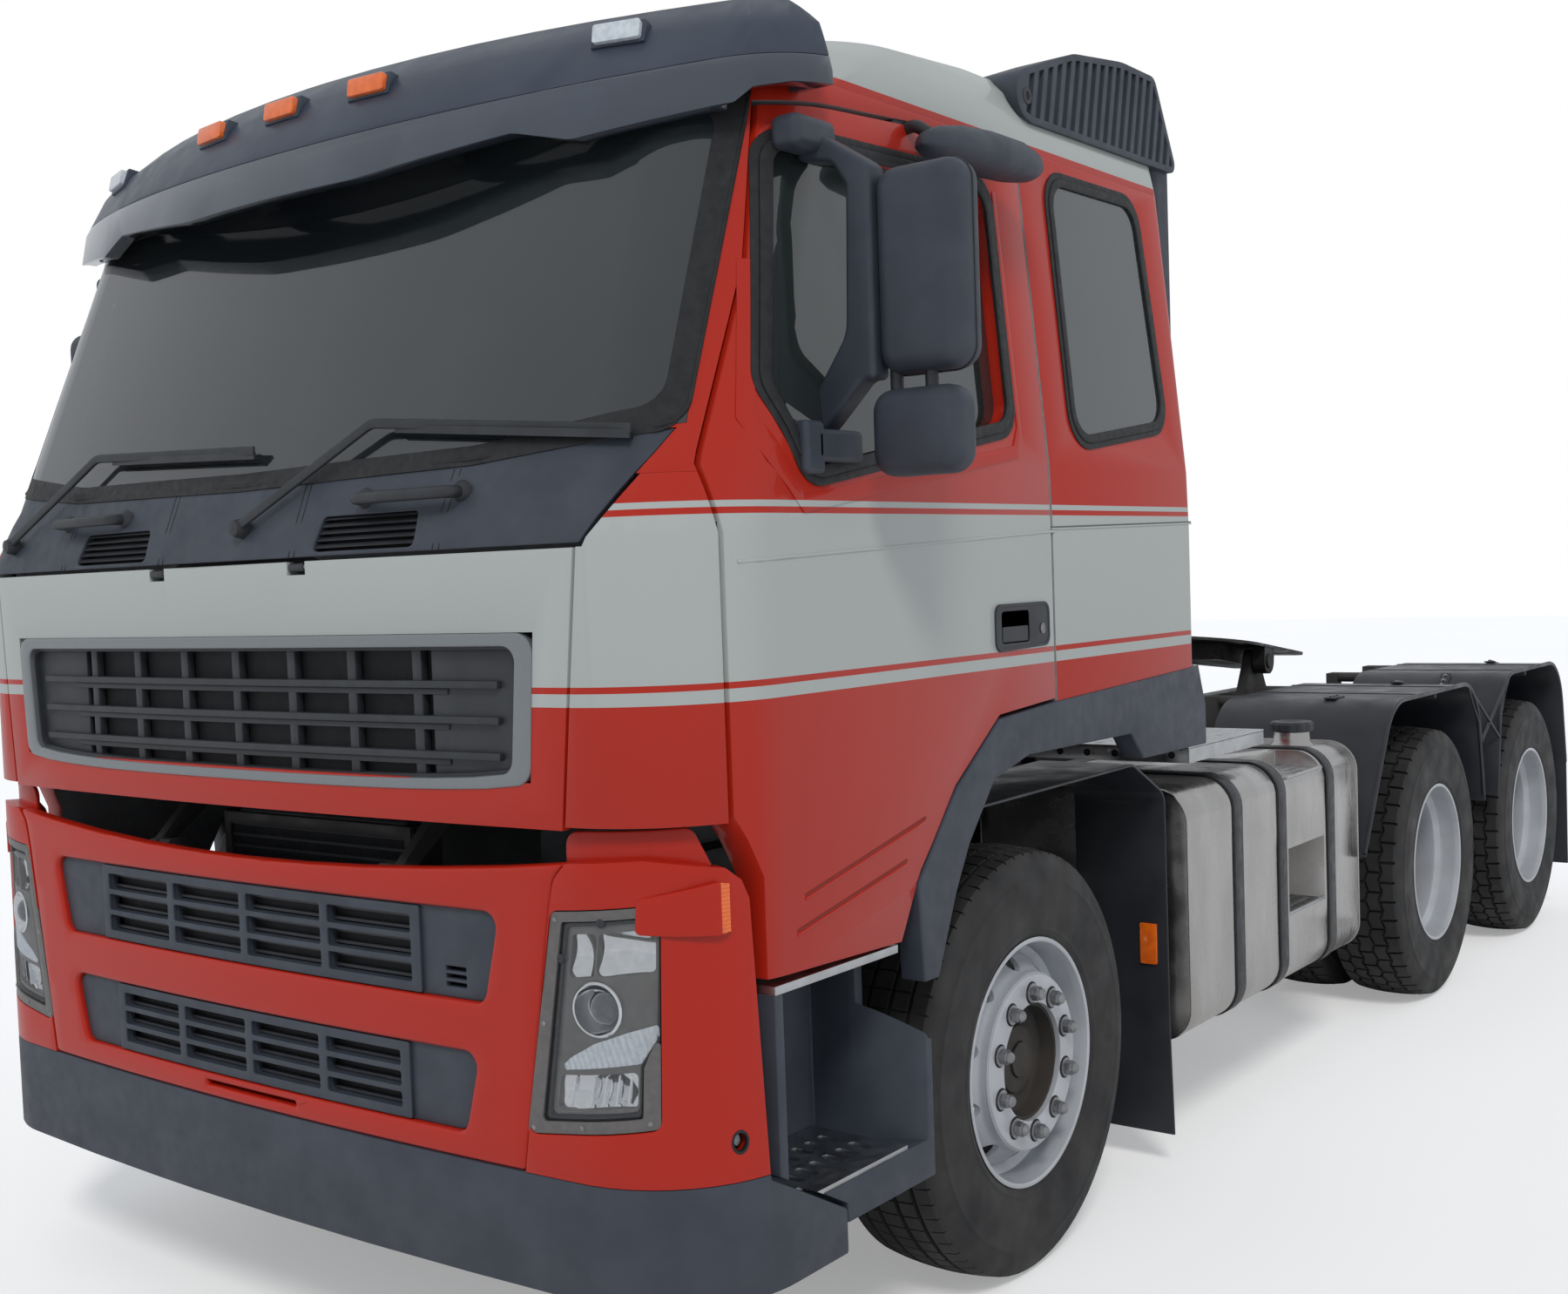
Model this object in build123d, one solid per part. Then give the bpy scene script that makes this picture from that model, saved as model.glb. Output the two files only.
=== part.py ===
from build123d import *
import os
from math import atan2, cos, degrees, pi, radians, sin, sqrt

# Three-axle (6x4) cab-over tractor unit with a low-roof sleeper cab. Millimetres, +Z up,
# front towards -Y, vehicle's left side towards +X. Every station along the vehicle is
# counted from the front axle; save() moves the pieces so that the origin lies on the
# ground below the middle of the overall length.

# ---- driving dimensions -------------------------------------------------------------
front_overhang = 1375.0        # bumper crown to front axle
wheelbase = 3200.0             # front axle to first drive axle
bogie_spacing = 1370.0
rear_overhang = 800.0          # second drive axle to the end of the frame
ground_clearance_skirt = 340.0  # bottom edge of the front apron

tyre_radius = 515.0
tyre_width = 286.0
tyre_bore_radius = 290.0       # bead seat of the 22.5 inch rim
tyre_shoulder = 46.0
rim_flange_radius = 300.0
wheel_track_front = 2140.0     # between the tyre middles
dual_spacing = 330.0           # middles of twin tyres
dual_track = 1850.0            # middles of the twin pairs
kingpin_offset = 960.0         # kingpin axis from the middle plane
kingpin_radius = 24.0
hub_radius = 140.5
hand_hole_count = 10
hand_hole_radius = 27.0
hand_hole_circle = 446.0

rail_half_spacing = 425.0      # middle plane to the rail's outer face
rail_top = 1010.0
rail_height = 266.0
rail_flange = 80.0
rail_thickness = 9.0
rail_front = -1060.0
spring_inner = 345.0
axle_beam_top = 440.0
axle_tube_radius = 60.0

cab_half_width = 1246.0
cab_rear = 925.0
cab_side_wall = 66.0           # depth of a door and of the quarter panel
cab_frame_wall = 50.0          # frame behind the doors and panels
cab_rear_wall = 60.0
cab_floor_bottom = 1300.0
cab_floor_thickness = 50.0
cab_wall_top = 2706.0
belt_height = 1790.0
panel_depth = 45.0             # front hatch, corner panels, bumper skin
panel_space = 10.0             # from those to the frame behind them
roof_crest = 2935.0
roof_skin = 40.0
tunnel_half_width = 430.0
tunnel_top = 1560.0

door_gap = 10.0
door_seal = 8.0                # air between a closed door and the frame behind it
panel_gap = 7.0
trim_gap = 6.0
seat_gap = 0.3                 # clearance of a piece fixed in its seat
glass_thickness = 6.0
glass_flange = 42.0            # width of the frame behind the windscreen's edge

tilt_axis_y = -1290.0
tilt_axis_z = 1110.0
tilt_pin_radius = 16.0
running_clearance = 0.05       # pins that turn in bores
door_hinge_x = 1205.0
door_hinge_y = -1135.0
door_hinge_heights = (1420.0, 1780.0)
door_pin_radius = 6.5
hatch_axis_y = -1366.0
hatch_axis_z = 1760.0
hatch_hinge_x = 250.0
hatch_pin_radius = 5.0

rear_end = wheelbase + bogie_spacing + rear_overhang
overall_length = front_overhang + rear_end
origin_station = overall_length / 2 - front_overhang
axle_stations = (wheelbase, wheelbase + bogie_spacing)
rail_bottom = rail_top - rail_height
rail_web_inner = rail_half_spacing - rail_thickness

# Plan sections of the cab's outer form, bottom to top:
# height, half width, front, crown radius, corner radius, rear, rear corner radius
cab_sections = (
    (330.0, cab_half_width, -1375.0, 12400.0, 300.0, cab_rear, 50.0),
    (belt_height, cab_half_width, -1375.0, 12400.0, 300.0, cab_rear, 50.0),
    (1945.0, 1242.0, -1314.0, 7200.0, 300.0, cab_rear, 50.0),
    (cab_wall_top, 1174.0, -1020.0, 6750.0, 290.0, cab_rear, 60.0),
)
roof_sections = (
    (cab_wall_top, 1174.0, -1020.0, 6750.0, 290.0, cab_rear, 60.0),
    (2790.0, 1157.0, -850.0, 6750.0, 290.0, 924.0, 60.0),
    (2850.0, 1130.0, -690.0, 6750.0, 290.0, 917.0, 60.0),
    (2892.0, 1088.0, -330.0, 6750.0, 300.0, 902.0, 60.0),
    (2918.0, 1030.0, 60.0, 6750.0, 300.0, 876.0, 60.0),
    (roof_crest, 940.0, 400.0, 6750.0, 280.0, 820.0, 60.0),
)


# ---- shared helpers -----------------------------------------------------------------
def block(x, y, z):
    """Box between two values on each axis."""
    size = (x[1] - x[0], y[1] - y[0], z[1] - z[0])
    return Pos((x[0] + x[1]) / 2, (y[0] + y[1]) / 2, (z[0] + z[1]) / 2) * Box(*size)


def outline_face(points, radius):
    """Closed outline; a corner given as (a, b, r) has its own radius."""
    radii = [point[2] if len(point) > 2 else radius for point in points]
    flat = [point[:2] for point in points]
    if max(radii) > 0:
        return make_face(FilletPolyline(*flat, radius=radii, close=True))
    return make_face(Polyline(*flat, close=True))


def side_prism(points, x, radius=0.0):
    """Side view outline (y, z), carried across the vehicle."""
    face = Plane.YZ.offset(x[0]) * outline_face(points, radius)
    return extrude(face, x[1] - x[0])


def front_plane(y):
    return Plane(origin=(0, y, 0), x_dir=(1, 0, 0), z_dir=(0, -1, 0))


def front_prism(points, y, radius=0.0):
    """Front view outline (x, z), carried along the vehicle."""
    face = front_plane(y[1]) * outline_face(points, radius)
    return extrude(face, y[1] - y[0])


def plan_prism(points, z, radius=0.0):
    """Plan view outline (x, y), carried upwards."""
    face = Pos(0, 0, z[0]) * outline_face(points, radius)
    return extrude(face, z[1] - z[0])


def swept_sheet(points, radius, thickness, x):
    """Bent sheet: side view centre line (y, z) with round bends, across the vehicle."""
    line = FilletPolyline(*points, radius=radius)
    face = Plane.YZ.offset(x[0]) * trace(line, thickness)
    return extrude(face, x[1] - x[0])


def cross_cylinder(radius, x, y, z):
    """Cylinder along X between two x values."""
    middle = (x[0] + x[1]) / 2
    return Pos(middle, y, z) * Rot(0, 90, 0) * Cylinder(radius, x[1] - x[0])


def other_side(shape):
    return mirror(shape, about=Plane.YZ)


def both_sides(shape):
    return [shape, other_side(shape)]


def solids_of(shapes):
    found = []
    for shape in shapes if isinstance(shapes, (list, tuple)) else [shapes]:
        found += list(shape.solids())
    return found


def save(node, shapes):
    pieces = [Pos(0, -origin_station, 0) * solid for solid in solids_of(shapes)]
    whole = pieces[0] if len(pieces) == 1 else Compound(children=pieces)
    export_step(whole, f"parts/{node}.step")


# ---- cab forms ----------------------------------------------------------------------
def plan_section(height, half_width, front, crown, corner, rear, rear_corner):
    edge = front + half_width ** 2 / (2 * crown)
    nose = ThreePointArc((-half_width, edge), (0, front), (half_width, edge))
    sides = Polyline((half_width, edge), (half_width, rear), (-half_width, rear),
                     (-half_width, edge))
    face = make_face([nose, sides])
    face = fillet(face.vertices().sort_by(Axis.Y)[0:2], corner)
    face = fillet(face.vertices().sort_by(Axis.Y)[-2:], rear_corner)
    return Pos(0, 0, height) * face


def cab_form(sections, side=0.0, front=0.0, rear=0.0):
    """Cab-shaped solid, drawn in from the outer form; front may differ per section."""
    fronts = front if isinstance(front, tuple) else (front,) * len(sections)
    faces = []
    for section, inset in zip(sections, fronts):
        height, half_width, nose, crown, corner, back, back_corner = section
        corner_left = max(corner - max(side, inset), 40.0)
        back_left = max(back_corner - rear, 8.0) if rear > 0 else back_corner
        faces.append(plan_section(height, half_width - side, nose + inset, crown,
                                  corner_left, back - rear, back_left))
    return loft(faces, ruled=True)


frame_inset = panel_depth + panel_space
hatch_skin = 20.0
door_edge_depth = 24.0         # the door's leading strip beside the windscreen is this thick
hatch_back_inset = 8.0         # the hatch is this much narrower behind its skin
outer_form = cab_form(cab_sections)
panel_back_form = cab_form(cab_sections, panel_depth, panel_depth, panel_depth)
frame_form = cab_form(cab_sections, frame_inset, frame_inset, 0.0)
hatch_skin_form = cab_form(cab_sections, hatch_skin, hatch_skin, hatch_skin)
glass_back_form = cab_form(cab_sections, glass_thickness, glass_thickness, glass_thickness)
glass_seat_form = cab_form(cab_sections, glass_thickness + seat_gap, glass_thickness + seat_gap,
                           glass_thickness + seat_gap)
door_edge_form = cab_form(cab_sections, door_edge_depth, door_edge_depth, door_edge_depth)
door_back_form = cab_form(cab_sections, cab_side_wall, cab_side_wall, cab_side_wall)
door_seal_form = cab_form(cab_sections, cab_side_wall + door_seal, cab_side_wall + door_seal,
                          cab_side_wall + door_seal)
frame_depths = (frame_inset + cab_frame_wall, frame_inset + cab_frame_wall, 60.0, 60.0)
inner_form = cab_form(cab_sections, cab_side_wall + cab_frame_wall, frame_depths, cab_rear_wall)

# Side view outline of the door (y, z), clockwise from its lower front corner.
door_front = -1155.0
door_rear = 80.0
door_bottom = 944.0
door_outline = (
    (-1093.0, door_bottom), (-1093.0, 1140.0), (-1128.0, 1215.0), (door_front, 1262.0),
    (door_front, 1917.0), (-975.0, 2306.0), (-868.0, 2640.0), (-400.0, 2672.0),
    (door_rear, 2688.0), (door_rear, 1387.0), (-190.0, 1370.0), (-380.0, 1239.0),
    (-550.0, 1067.0), (-632.0, 930.0),
)
door_aperture = (
    (-1075.0, 1372.0), (-1075.0, 1890.0), (-925.0, 2280.0), (-815.0, 2580.0),
    (-400.0, 2612.0), (20.0, 2628.0), (20.0, 1440.0), (-200.0, 1420.0), (-260.0, 1372.0),
)
door_window = (
    (-900.0, 1907.0), (-995.0, 2075.0), (-870.0, 2561.0), (-90.0, 2585.0), (-90.0, 2039.0),
)
# strip behind the leading edge, where the door is thin so that it swings clear of the pillar
door_edge_relief = (
    (-1250.0, 1815.0), (-1250.0, 2720.0), (-790.0, 2720.0), (-800.0, 2640.0), (-900.0, 2330.0),
    (-1078.0, 1940.0), (-1078.0, 1815.0),
)
quarter_window = ((240.0, 2010.0), (240.0, 2649.0), (718.0, 2653.0), (764.0, 2077.0))
windscreen_outline = (
    (-1140.0, 1998.0), (-1108.0, 2690.0), (1108.0, 2690.0), (1140.0, 1998.0),
    (700.0, 1956.0), (0.0, 1944.0), (-700.0, 1956.0),
)
trim_outline = (
    (-548.0, 826.0), (-562.0, 1040.0), (-391.0, 1228.0), (-195.0, 1360.0), (80.0, 1379.0),
    (cab_rear, 1412.0), (968.0, 1300.0), (968.0, 1190.0), (560.0, 1190.0), (490.0, 1262.0),
    (-60.0, 1264.0), (-225.0, 1225.0), (-345.0, 1095.0), (-405.0, 1000.0), (-490.0, 826.0),
)
hatch_outline = ((-956.0, 1243.0), (-1005.0, 1772.0), (1005.0, 1772.0), (956.0, 1243.0))
cowl_outline = (
    (-930.0, 1780.0), (-1020.0, 1780.0), (-1128.0, 1990.0), (-700.0, 1948.0), (0.0, 1936.0),
    (700.0, 1948.0), (1128.0, 1990.0), (1020.0, 1780.0), (930.0, 1780.0),
)
grille_outline = ((-884.0, 1330.0), (-904.0, 1617.0), (904.0, 1617.0), (884.0, 1330.0))


def grown(points, amount):
    """Outline moved outwards (inwards if negative) by an even amount."""
    face = offset(make_face(Polyline(*points, close=True)), amount, kind=Kind.INTERSECTION)
    return face


def side_solid(face, x):
    return extrude(Plane.YZ.offset(x[0]) * face, x[1] - x[0])


def front_solid(face, y):
    return extrude(front_plane(y[1]) * face, y[1] - y[0])


corner_panel_top = 1905.0
hinge_relief_radius = 75.0
hinge_relief_bottom, hinge_relief_top = 1250.0, 2060.0
outside = cab_half_width + 60.0


def make_roof():
    """Roof pressing: sections that close in towards the crest, hollow below."""
    low = [(height - roof_skin if height > cab_wall_top else height - 1.0, half - roof_skin,
            nose + roof_skin, crown, corner - roof_skin, back - roof_skin, back_corner)
           for height, half, nose, crown, corner, back, back_corner in roof_sections]
    return cab_form(roof_sections) - cab_form(low)


def make_cab_shell():
    shell = outer_form - inner_form
    shell &= block((-outside, outside), (-1500, cab_rear + 20), (cab_floor_bottom, cab_wall_top))
    # pockets for the front panels, the doors and the wheel-arch trim
    front_pocket = outer_form - frame_form
    front_pocket &= block((-outside, outside), (-1500, door_front + 40),
                          (cab_floor_bottom - 1, corner_panel_top + seat_gap))
    shell -= front_pocket
    cowl_pocket = (outer_form - frame_form) & front_solid(grown(cowl_outline, seat_gap),
                                                          (-1500, -900))
    shell -= cowl_pocket
    door_pocket = side_solid(grown(door_outline, door_gap), (400.0, outside))
    door_pocket &= outer_form - door_seal_form
    trim_pocket = side_prism(trim_outline, (cab_half_width - 60.0, outside))
    under_trim = side_prism(((60.0, 1200.0), (60.0, 1378.0), (cab_rear + 30, 1412.0),
                             (cab_rear + 30, 1200.0)), (cab_half_width - 60.0, outside))
    aperture = side_prism(door_aperture, (600.0, outside), 60.0)
    quarter = side_prism(quarter_window, (600.0, outside), 70.0)
    relief_middle = (hinge_relief_bottom + hinge_relief_top) / 2
    hinge_relief = Pos(door_hinge_x, door_hinge_y, relief_middle) * Cylinder(
        hinge_relief_radius, hinge_relief_top - hinge_relief_bottom)
    hinge_relief &= door_back_form
    for cut in (door_pocket, trim_pocket, under_trim, aperture, quarter, hinge_relief):
        shell -= cut
        shell -= other_side(cut)
    rebate = (outer_form - glass_seat_form) & front_solid(grown(windscreen_outline, seat_gap),
                                                           (-1500.0, -700.0))
    shell -= rebate
    shell -= front_solid(grown(windscreen_outline, -glass_flange), (-1500.0, -700.0))
    inner_half = cab_half_width - cab_side_wall - 1.0
    floor = block((-inner_half, inner_half), (-1240.0, cab_rear - 20.0),
                  (cab_floor_bottom, cab_floor_bottom + cab_floor_thickness))
    floor -= block((-tunnel_half_width, tunnel_half_width), (-1400, cab_rear + 10),
                   (cab_floor_bottom - 1, tunnel_top))
    hump = block((-tunnel_half_width - 40, tunnel_half_width + 40), (-1260.0, cab_rear - 20.0),
                 (cab_floor_bottom, tunnel_top + 40))
    hump -= block((-tunnel_half_width, tunnel_half_width), (-1400, cab_rear + 10),
                  (cab_floor_bottom - 1, tunnel_top))
    floor &= door_seal_form
    floor -= hinge_relief + other_side(hinge_relief)
    hump &= frame_form
    shell = shell + floor + hump
    for arm in make_cab_arms():
        shell += arm
    shell -= block((-tunnel_half_width, tunnel_half_width), (-1400, cab_rear + 30),
                   (cab_floor_bottom - 1, tunnel_top))
    return shell


tilt_leg_front, tilt_leg_rear = -1100.0, -1000.0      # where the tilt arms meet the floor


def make_cab_arms():
    """Hinge arms of the doors and of the hatch, and the arms that reach the tilt pins."""
    arms = []
    for height in door_hinge_heights:
        arm = block((1110.0, door_hinge_x), (door_hinge_y - 6, door_hinge_y + 6),
                    (height - 25, height + 25))
        ring = Pos(door_hinge_x, door_hinge_y, height) * Cylinder(11.0, 50.0)
        pin_bore = Pos(door_hinge_x, door_hinge_y, height) * Cylinder(
            door_pin_radius + running_clearance, 60.0)
        arms += both_sides(arm + ring - pin_bore)
    across = (hatch_hinge_x - 24, hatch_hinge_x + 24)
    finger = block(across, (hatch_axis_y, -1310.0), (hatch_axis_z - 4, hatch_axis_z + 8))
    finger += cross_cylinder(8.5, across, hatch_axis_y, hatch_axis_z)
    finger -= cross_cylinder(hatch_pin_radius + running_clearance,
                             (across[0] - 5, across[1] + 5), hatch_axis_y, hatch_axis_z)
    arms += both_sides(finger)
    across = (tilt_pin_end - 28, tilt_pin_end - 2)
    leg = side_prism(((tilt_axis_y - 8, tilt_axis_z + 10), (tilt_leg_front, cab_floor_bottom + 10),
                      (tilt_leg_rear, cab_floor_bottom + 10), (tilt_axis_y + 14, tilt_axis_z - 8)),
                     across)
    leg += cross_cylinder(22.0, across, tilt_axis_y, tilt_axis_z)
    leg -= cross_cylinder(tilt_pin_radius + running_clearance, (across[0] - 5, across[1] + 5),
                          tilt_axis_y, tilt_axis_z)
    arms += both_sides(leg)
    return arms


def panel(face, depth_form, y=(-1500.0, -900.0)):
    return (outer_form - depth_form) & front_solid(face, y)


def make_front_panel():
    body = panel(grown(hatch_outline, 0.0), hatch_skin_form)
    body += panel(grown(hatch_outline, -hatch_back_inset), panel_back_form)
    body -= front_prism(grille_outline, (-1500.0, -1000.0))
    notch = block((hatch_hinge_x - 29, hatch_hinge_x + 29), (-1500.0, -1250.0),
                  (hatch_axis_z - 16, 1800.0))
    pin = cross_cylinder(hatch_pin_radius, (hatch_hinge_x - 40, hatch_hinge_x + 40),
                         hatch_axis_y, hatch_axis_z)
    body -= notch
    body -= other_side(notch)
    body += pin
    body += other_side(pin)
    return body


def make_grille():
    body = panel(grown(grille_outline, -seat_gap), panel_back_form)
    bars = 5
    height = (1617.0 - 1330.0 - 60.0) / bars
    for index in range(bars):
        low = 1330.0 + 30.0 + index * height + 9.0
        slot = ((-850.0, low), (-855.0, low + height - 18.0), (855.0, low + height - 18.0),
                (850.0, low))
        body -= front_prism(slot, (-1500.0, -1000.0))
    return body


def make_corner_panels():
    edge = grown(((956.0, 1250.0), (1005.0, 1772.0), (1030.0, corner_panel_top),
                  (1300.0, corner_panel_top), (1300.0, 1250.0)), 0.0)
    body = panel(edge, panel_back_form, (-1500.0, door_front - door_gap))
    body -= front_solid(grown(hatch_outline, panel_gap), (-1500.0, -1000.0))
    body -= front_solid(grown(cowl_outline, panel_gap), (-1500.0, -1000.0))
    return both_sides(body)


def make_cowl():
    body = panel(grown(cowl_outline, 0.0), panel_back_form)
    door_room = side_solid(grown(door_outline, door_gap), (400.0, outside))
    return body - door_room - other_side(door_room)


# Plan sections of the sun visor, bottom to top: height, half width, nose, crown radius, corner
visor_sections = (
    (2500.0, 1250.0, -1240.0, 2600.0, 260.0),
    (2700.0, 1250.0, -1196.0, 2600.0, 260.0),
    (2800.0, 1240.0, -1136.0, 2600.0, 260.0),
    (2868.0, 1205.0, -1050.0, 2600.0, 260.0),
    (2905.0, 1150.0, -935.0, 2600.0, 260.0),
)
visor_wall = 42.0
visor_rear = -780.0            # the visor's ends stop here
visor_joint_middle, visor_joint_end = 2683.0, 2735.0
visor_joint_gap = 0.3
visor_bracket_places = (340.0, 800.0)
visor_bracket_heights = (2726.0, 2790.0)
visor_end_web = 20.0
# the visor's ends rise clear of the opening doors
visor_door_room = ((-990.0, 2400.0), (-990.0, 2595.0), (-935.0, 2655.0), (-870.0, 2668.0),
                   (-700.0, 2674.0), (-700.0, 2400.0))
# lower edge of the clear lip from the middle outwards: x, z, radius
lip_edge = ((0.0, 2579.0, 0.0), (300.0, 2582.0, 900.0), (690.0, 2620.0, 60.0),
            (821.0, 2588.0, 60.0), (1300.0, 2645.0, 0.0))


def visor_form(wall):
    faces = [plan_section(height, half - wall, nose + wall, crown, corner - wall, -300.0, 20.0)
             for height, half, nose, crown, corner in visor_sections]
    return loft(faces, ruled=True)


def make_visor():
    """Sun visor round the windscreen's head, bowed in plan and raked back."""
    hood = visor_form(0.0) - visor_form(visor_wall)
    hood &= block((-1300.0, 1300.0), (-1500.0, visor_rear), (2400.0, 3000.0))
    webs = []
    for middle in visor_bracket_places:
        webs += both_sides(block((middle - 20, middle + 20), (-1500.0, -830.0), visor_bracket_heights))
    webs += both_sides(block((1100.0, 1300.0), (visor_rear - visor_end_web, visor_rear),
                             (2400.0, 3000.0)))
    within = visor_form(visor_wall / 2)
    for web in webs:
        hood += web & within
    door_room = side_prism(visor_door_room, (1100.0, 1300.0))
    hood -= door_room + other_side(door_room)
    hood -= cab_form(cab_sections, -seat_gap, -seat_gap, -seat_gap)
    return hood - cab_form(roof_sections, -seat_gap, -seat_gap, -seat_gap)


def largest(shape):
    return shape.solids().sort_by(SortBy.VOLUME)[-1]


def above_joint(lift):
    """Front view region above the line where the hood meets the lip."""
    arc = ThreePointArc((-1300.0, visor_joint_end + lift), (0.0, visor_joint_middle + lift),
                        (1300.0, visor_joint_end + lift))
    top = Polyline((1300.0, visor_joint_end + lift), (1300.0, 3000.0), (-1300.0, 3000.0),
                   (-1300.0, visor_joint_end + lift))
    return front_solid(make_face([arc, top]), (-1500.0, -500.0))


def make_visor_upper(hood):
    return largest(hood & above_joint(0.0))


def make_visor_lip(hood):
    half = [(x, z, r) for x, z, r in lip_edge]
    edge = [(-x, z, r) for x, z, r in reversed(half[1:])] + half[1:]
    region = outline_face(edge + [(1300.0, 3000.0, 0.0), (-1300.0, 3000.0, 0.0)], 0.0)
    return largest((hood & front_solid(region, (-1500.0, -500.0))) - above_joint(-visor_joint_gap))


def make_trims():
    body = side_prism(trim_outline, (cab_half_width - 60.0, cab_half_width + 3.0))
    body &= block((0, outside), (-600, 1000), (700, 1500))
    return both_sides(body)


def make_door():
    slab = side_prism(door_outline, (400.0, outside)) & (outer_form - door_back_form)
    slab -= side_prism(door_window, (400.0, outside), 60.0)
    slab -= side_solid(grown(trim_outline, trim_gap), (400.0, outside))
    slab -= side_prism(door_edge_relief, (400.0, outside)) & door_edge_form
    for height in door_hinge_heights:
        slab -= Pos(door_hinge_x, door_hinge_y, height) * Cylinder(15.0, 60.0)
        slab -= block((1050.0, door_hinge_x + 2), (door_front - 10, door_hinge_y + 20),
                      (height - 30, height + 30))
        slab += Pos(door_hinge_x, door_hinge_y, height) * Cylinder(door_pin_radius, 66.0)
    return slab


def make_door_glass():
    pane = side_solid(grown_rounded(door_window, 60.0, -seat_gap), (800.0, outside))
    middle = cab_side_wall / 2
    layer = cab_form(cab_sections, middle, middle, middle)
    layer -= cab_form(cab_sections, middle + glass_thickness, middle + glass_thickness,
                      middle + glass_thickness)
    return pane & layer


def grown_rounded(points, radius, amount):
    return offset(outline_face(points, radius), amount)


def make_quarter_glass():
    pane = side_solid(grown_rounded(quarter_window, 70.0, -seat_gap), (800.0, outside))
    glass = pane & (outer_form - glass_back_form)
    return both_sides(glass)


def make_windscreen():
    pane = front_solid(grown(windscreen_outline, -seat_gap), (-1500.0, -700.0))
    return pane & (outer_form - glass_back_form)


def make_mirrors():
    """Main and wide-angle mirror heads on two arms from the door."""
    main_head = front_prism(((1310.0, 2105.0), (1322.0, 2478.0), (1525.0, 2460.0),
                             (1525.0, 2120.0)), (-800.0, -690.0), 40.0)
    wide_head = front_prism(((1300.0, 1900.0), (1310.0, 2078.0), (1511.0, 2078.0),
                             (1511.0, 1905.0)), (-800.0, -700.0), 40.0)
    post = Pos(1292.0, -775.0, 2205.0) * Cylinder(20.0, 680.0)
    upper_arm = front_prism(((1190.0, 2520.0), (1190.0, 2580.0), (1312.0, 2560.0),
                             (1312.0, 2500.0)), (-800.0, -750.0))
    lower_arm = front_prism(((1215.0, 1850.0), (1215.0, 1925.0), (1312.0, 1925.0),
                             (1312.0, 1865.0)), (-800.0, -750.0))
    body = main_head + wide_head + post + upper_arm + lower_arm
    bridge = block((1280.0, 1330.0), (-790.0, -760.0), (1960.0, 2020.0))
    bridge += block((1280.0, 1340.0), (-790.0, -760.0), (2250.0, 2330.0))
    body = body + bridge
    return body - outer_form


def make_cabin_room():
    """Space inside the cab, clear of the floor and the engine tunnel."""
    room = cab_form(cab_sections, cab_side_wall + cab_frame_wall + seat_gap,
                    tuple(depth + seat_gap for depth in frame_depths), cab_rear_wall + seat_gap)
    room -= block((-outside, outside), (-1500, 1500),
                  (0.0, cab_floor_bottom + cab_floor_thickness + seat_gap))
    return room - block((-tunnel_half_width - 40 - seat_gap, tunnel_half_width + 40 + seat_gap),
                        (-1500, 1500), (0.0, tunnel_top + 40 + seat_gap))


def make_seats(room):
    seats = []
    for middle in (-690.0, 690.0):
        base = block((middle - 190, middle + 190), (-330.0, 40.0), (cab_floor_bottom, 1650.0))
        cushion = block((middle - 240, middle + 240), (-430.0, 90.0), (1650.0, 1790.0))
        back = side_prism(((40.0, 1790.0), (150.0, 2440.0), (230.0, 2440.0), (170.0, 1720.0),
                           (90.0, 1720.0)), (middle - 235, middle + 235))
        seats.append((base + cushion + back) & room)
    bunk = block((-1090.0, 1090.0), (300.0, 850.0), (1780.0, 1900.0))
    bunk += block((-1090.0, 1090.0), (330.0, 850.0), (1200.0, 1780.0))
    seats.append(bunk & room)
    return seats


dashboard_half = 1100.0


def make_dashboard(room):
    profile = ((-1200.0, 1400.0), (-1200.0, 1880.0), (-1040.0, 1925.0), (-820.0, 1880.0),
               (-850.0, 1640.0), (-1000.0, 1400.0))
    body = side_prism(profile, (-dashboard_half, dashboard_half)) & room
    wheel = Torus(215.0, 16.0) + Box(420.0, 40.0, 14.0) + Cylinder(55.0, 40.0)
    column = Pos(0, 0, -170.0) * Cylinder(30.0, 340.0)
    steering = Pos(-690.0, -640.0, 2010.0) * Rot(-48, 0, 0) * (wheel + column)
    return body + steering


intake_face = 1168.0           # outer face of the intake's head
intake_depth = 150.0
intake_rib_pitch = 46.0
intake_rib_depth = 9.0
# side view of the head: y, z, corner radius
intake_outline = (
    (118.0, 2800.0, 55.0), (118.0, 2895.0, 60.0), (420.0, 2998.0, 220.0), (700.0, 3034.0, 400.0),
    (905.0, 3034.0, 40.0), (1044.0, 2790.0, 25.0), (190.0, 2784.0, 40.0),
)


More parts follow.
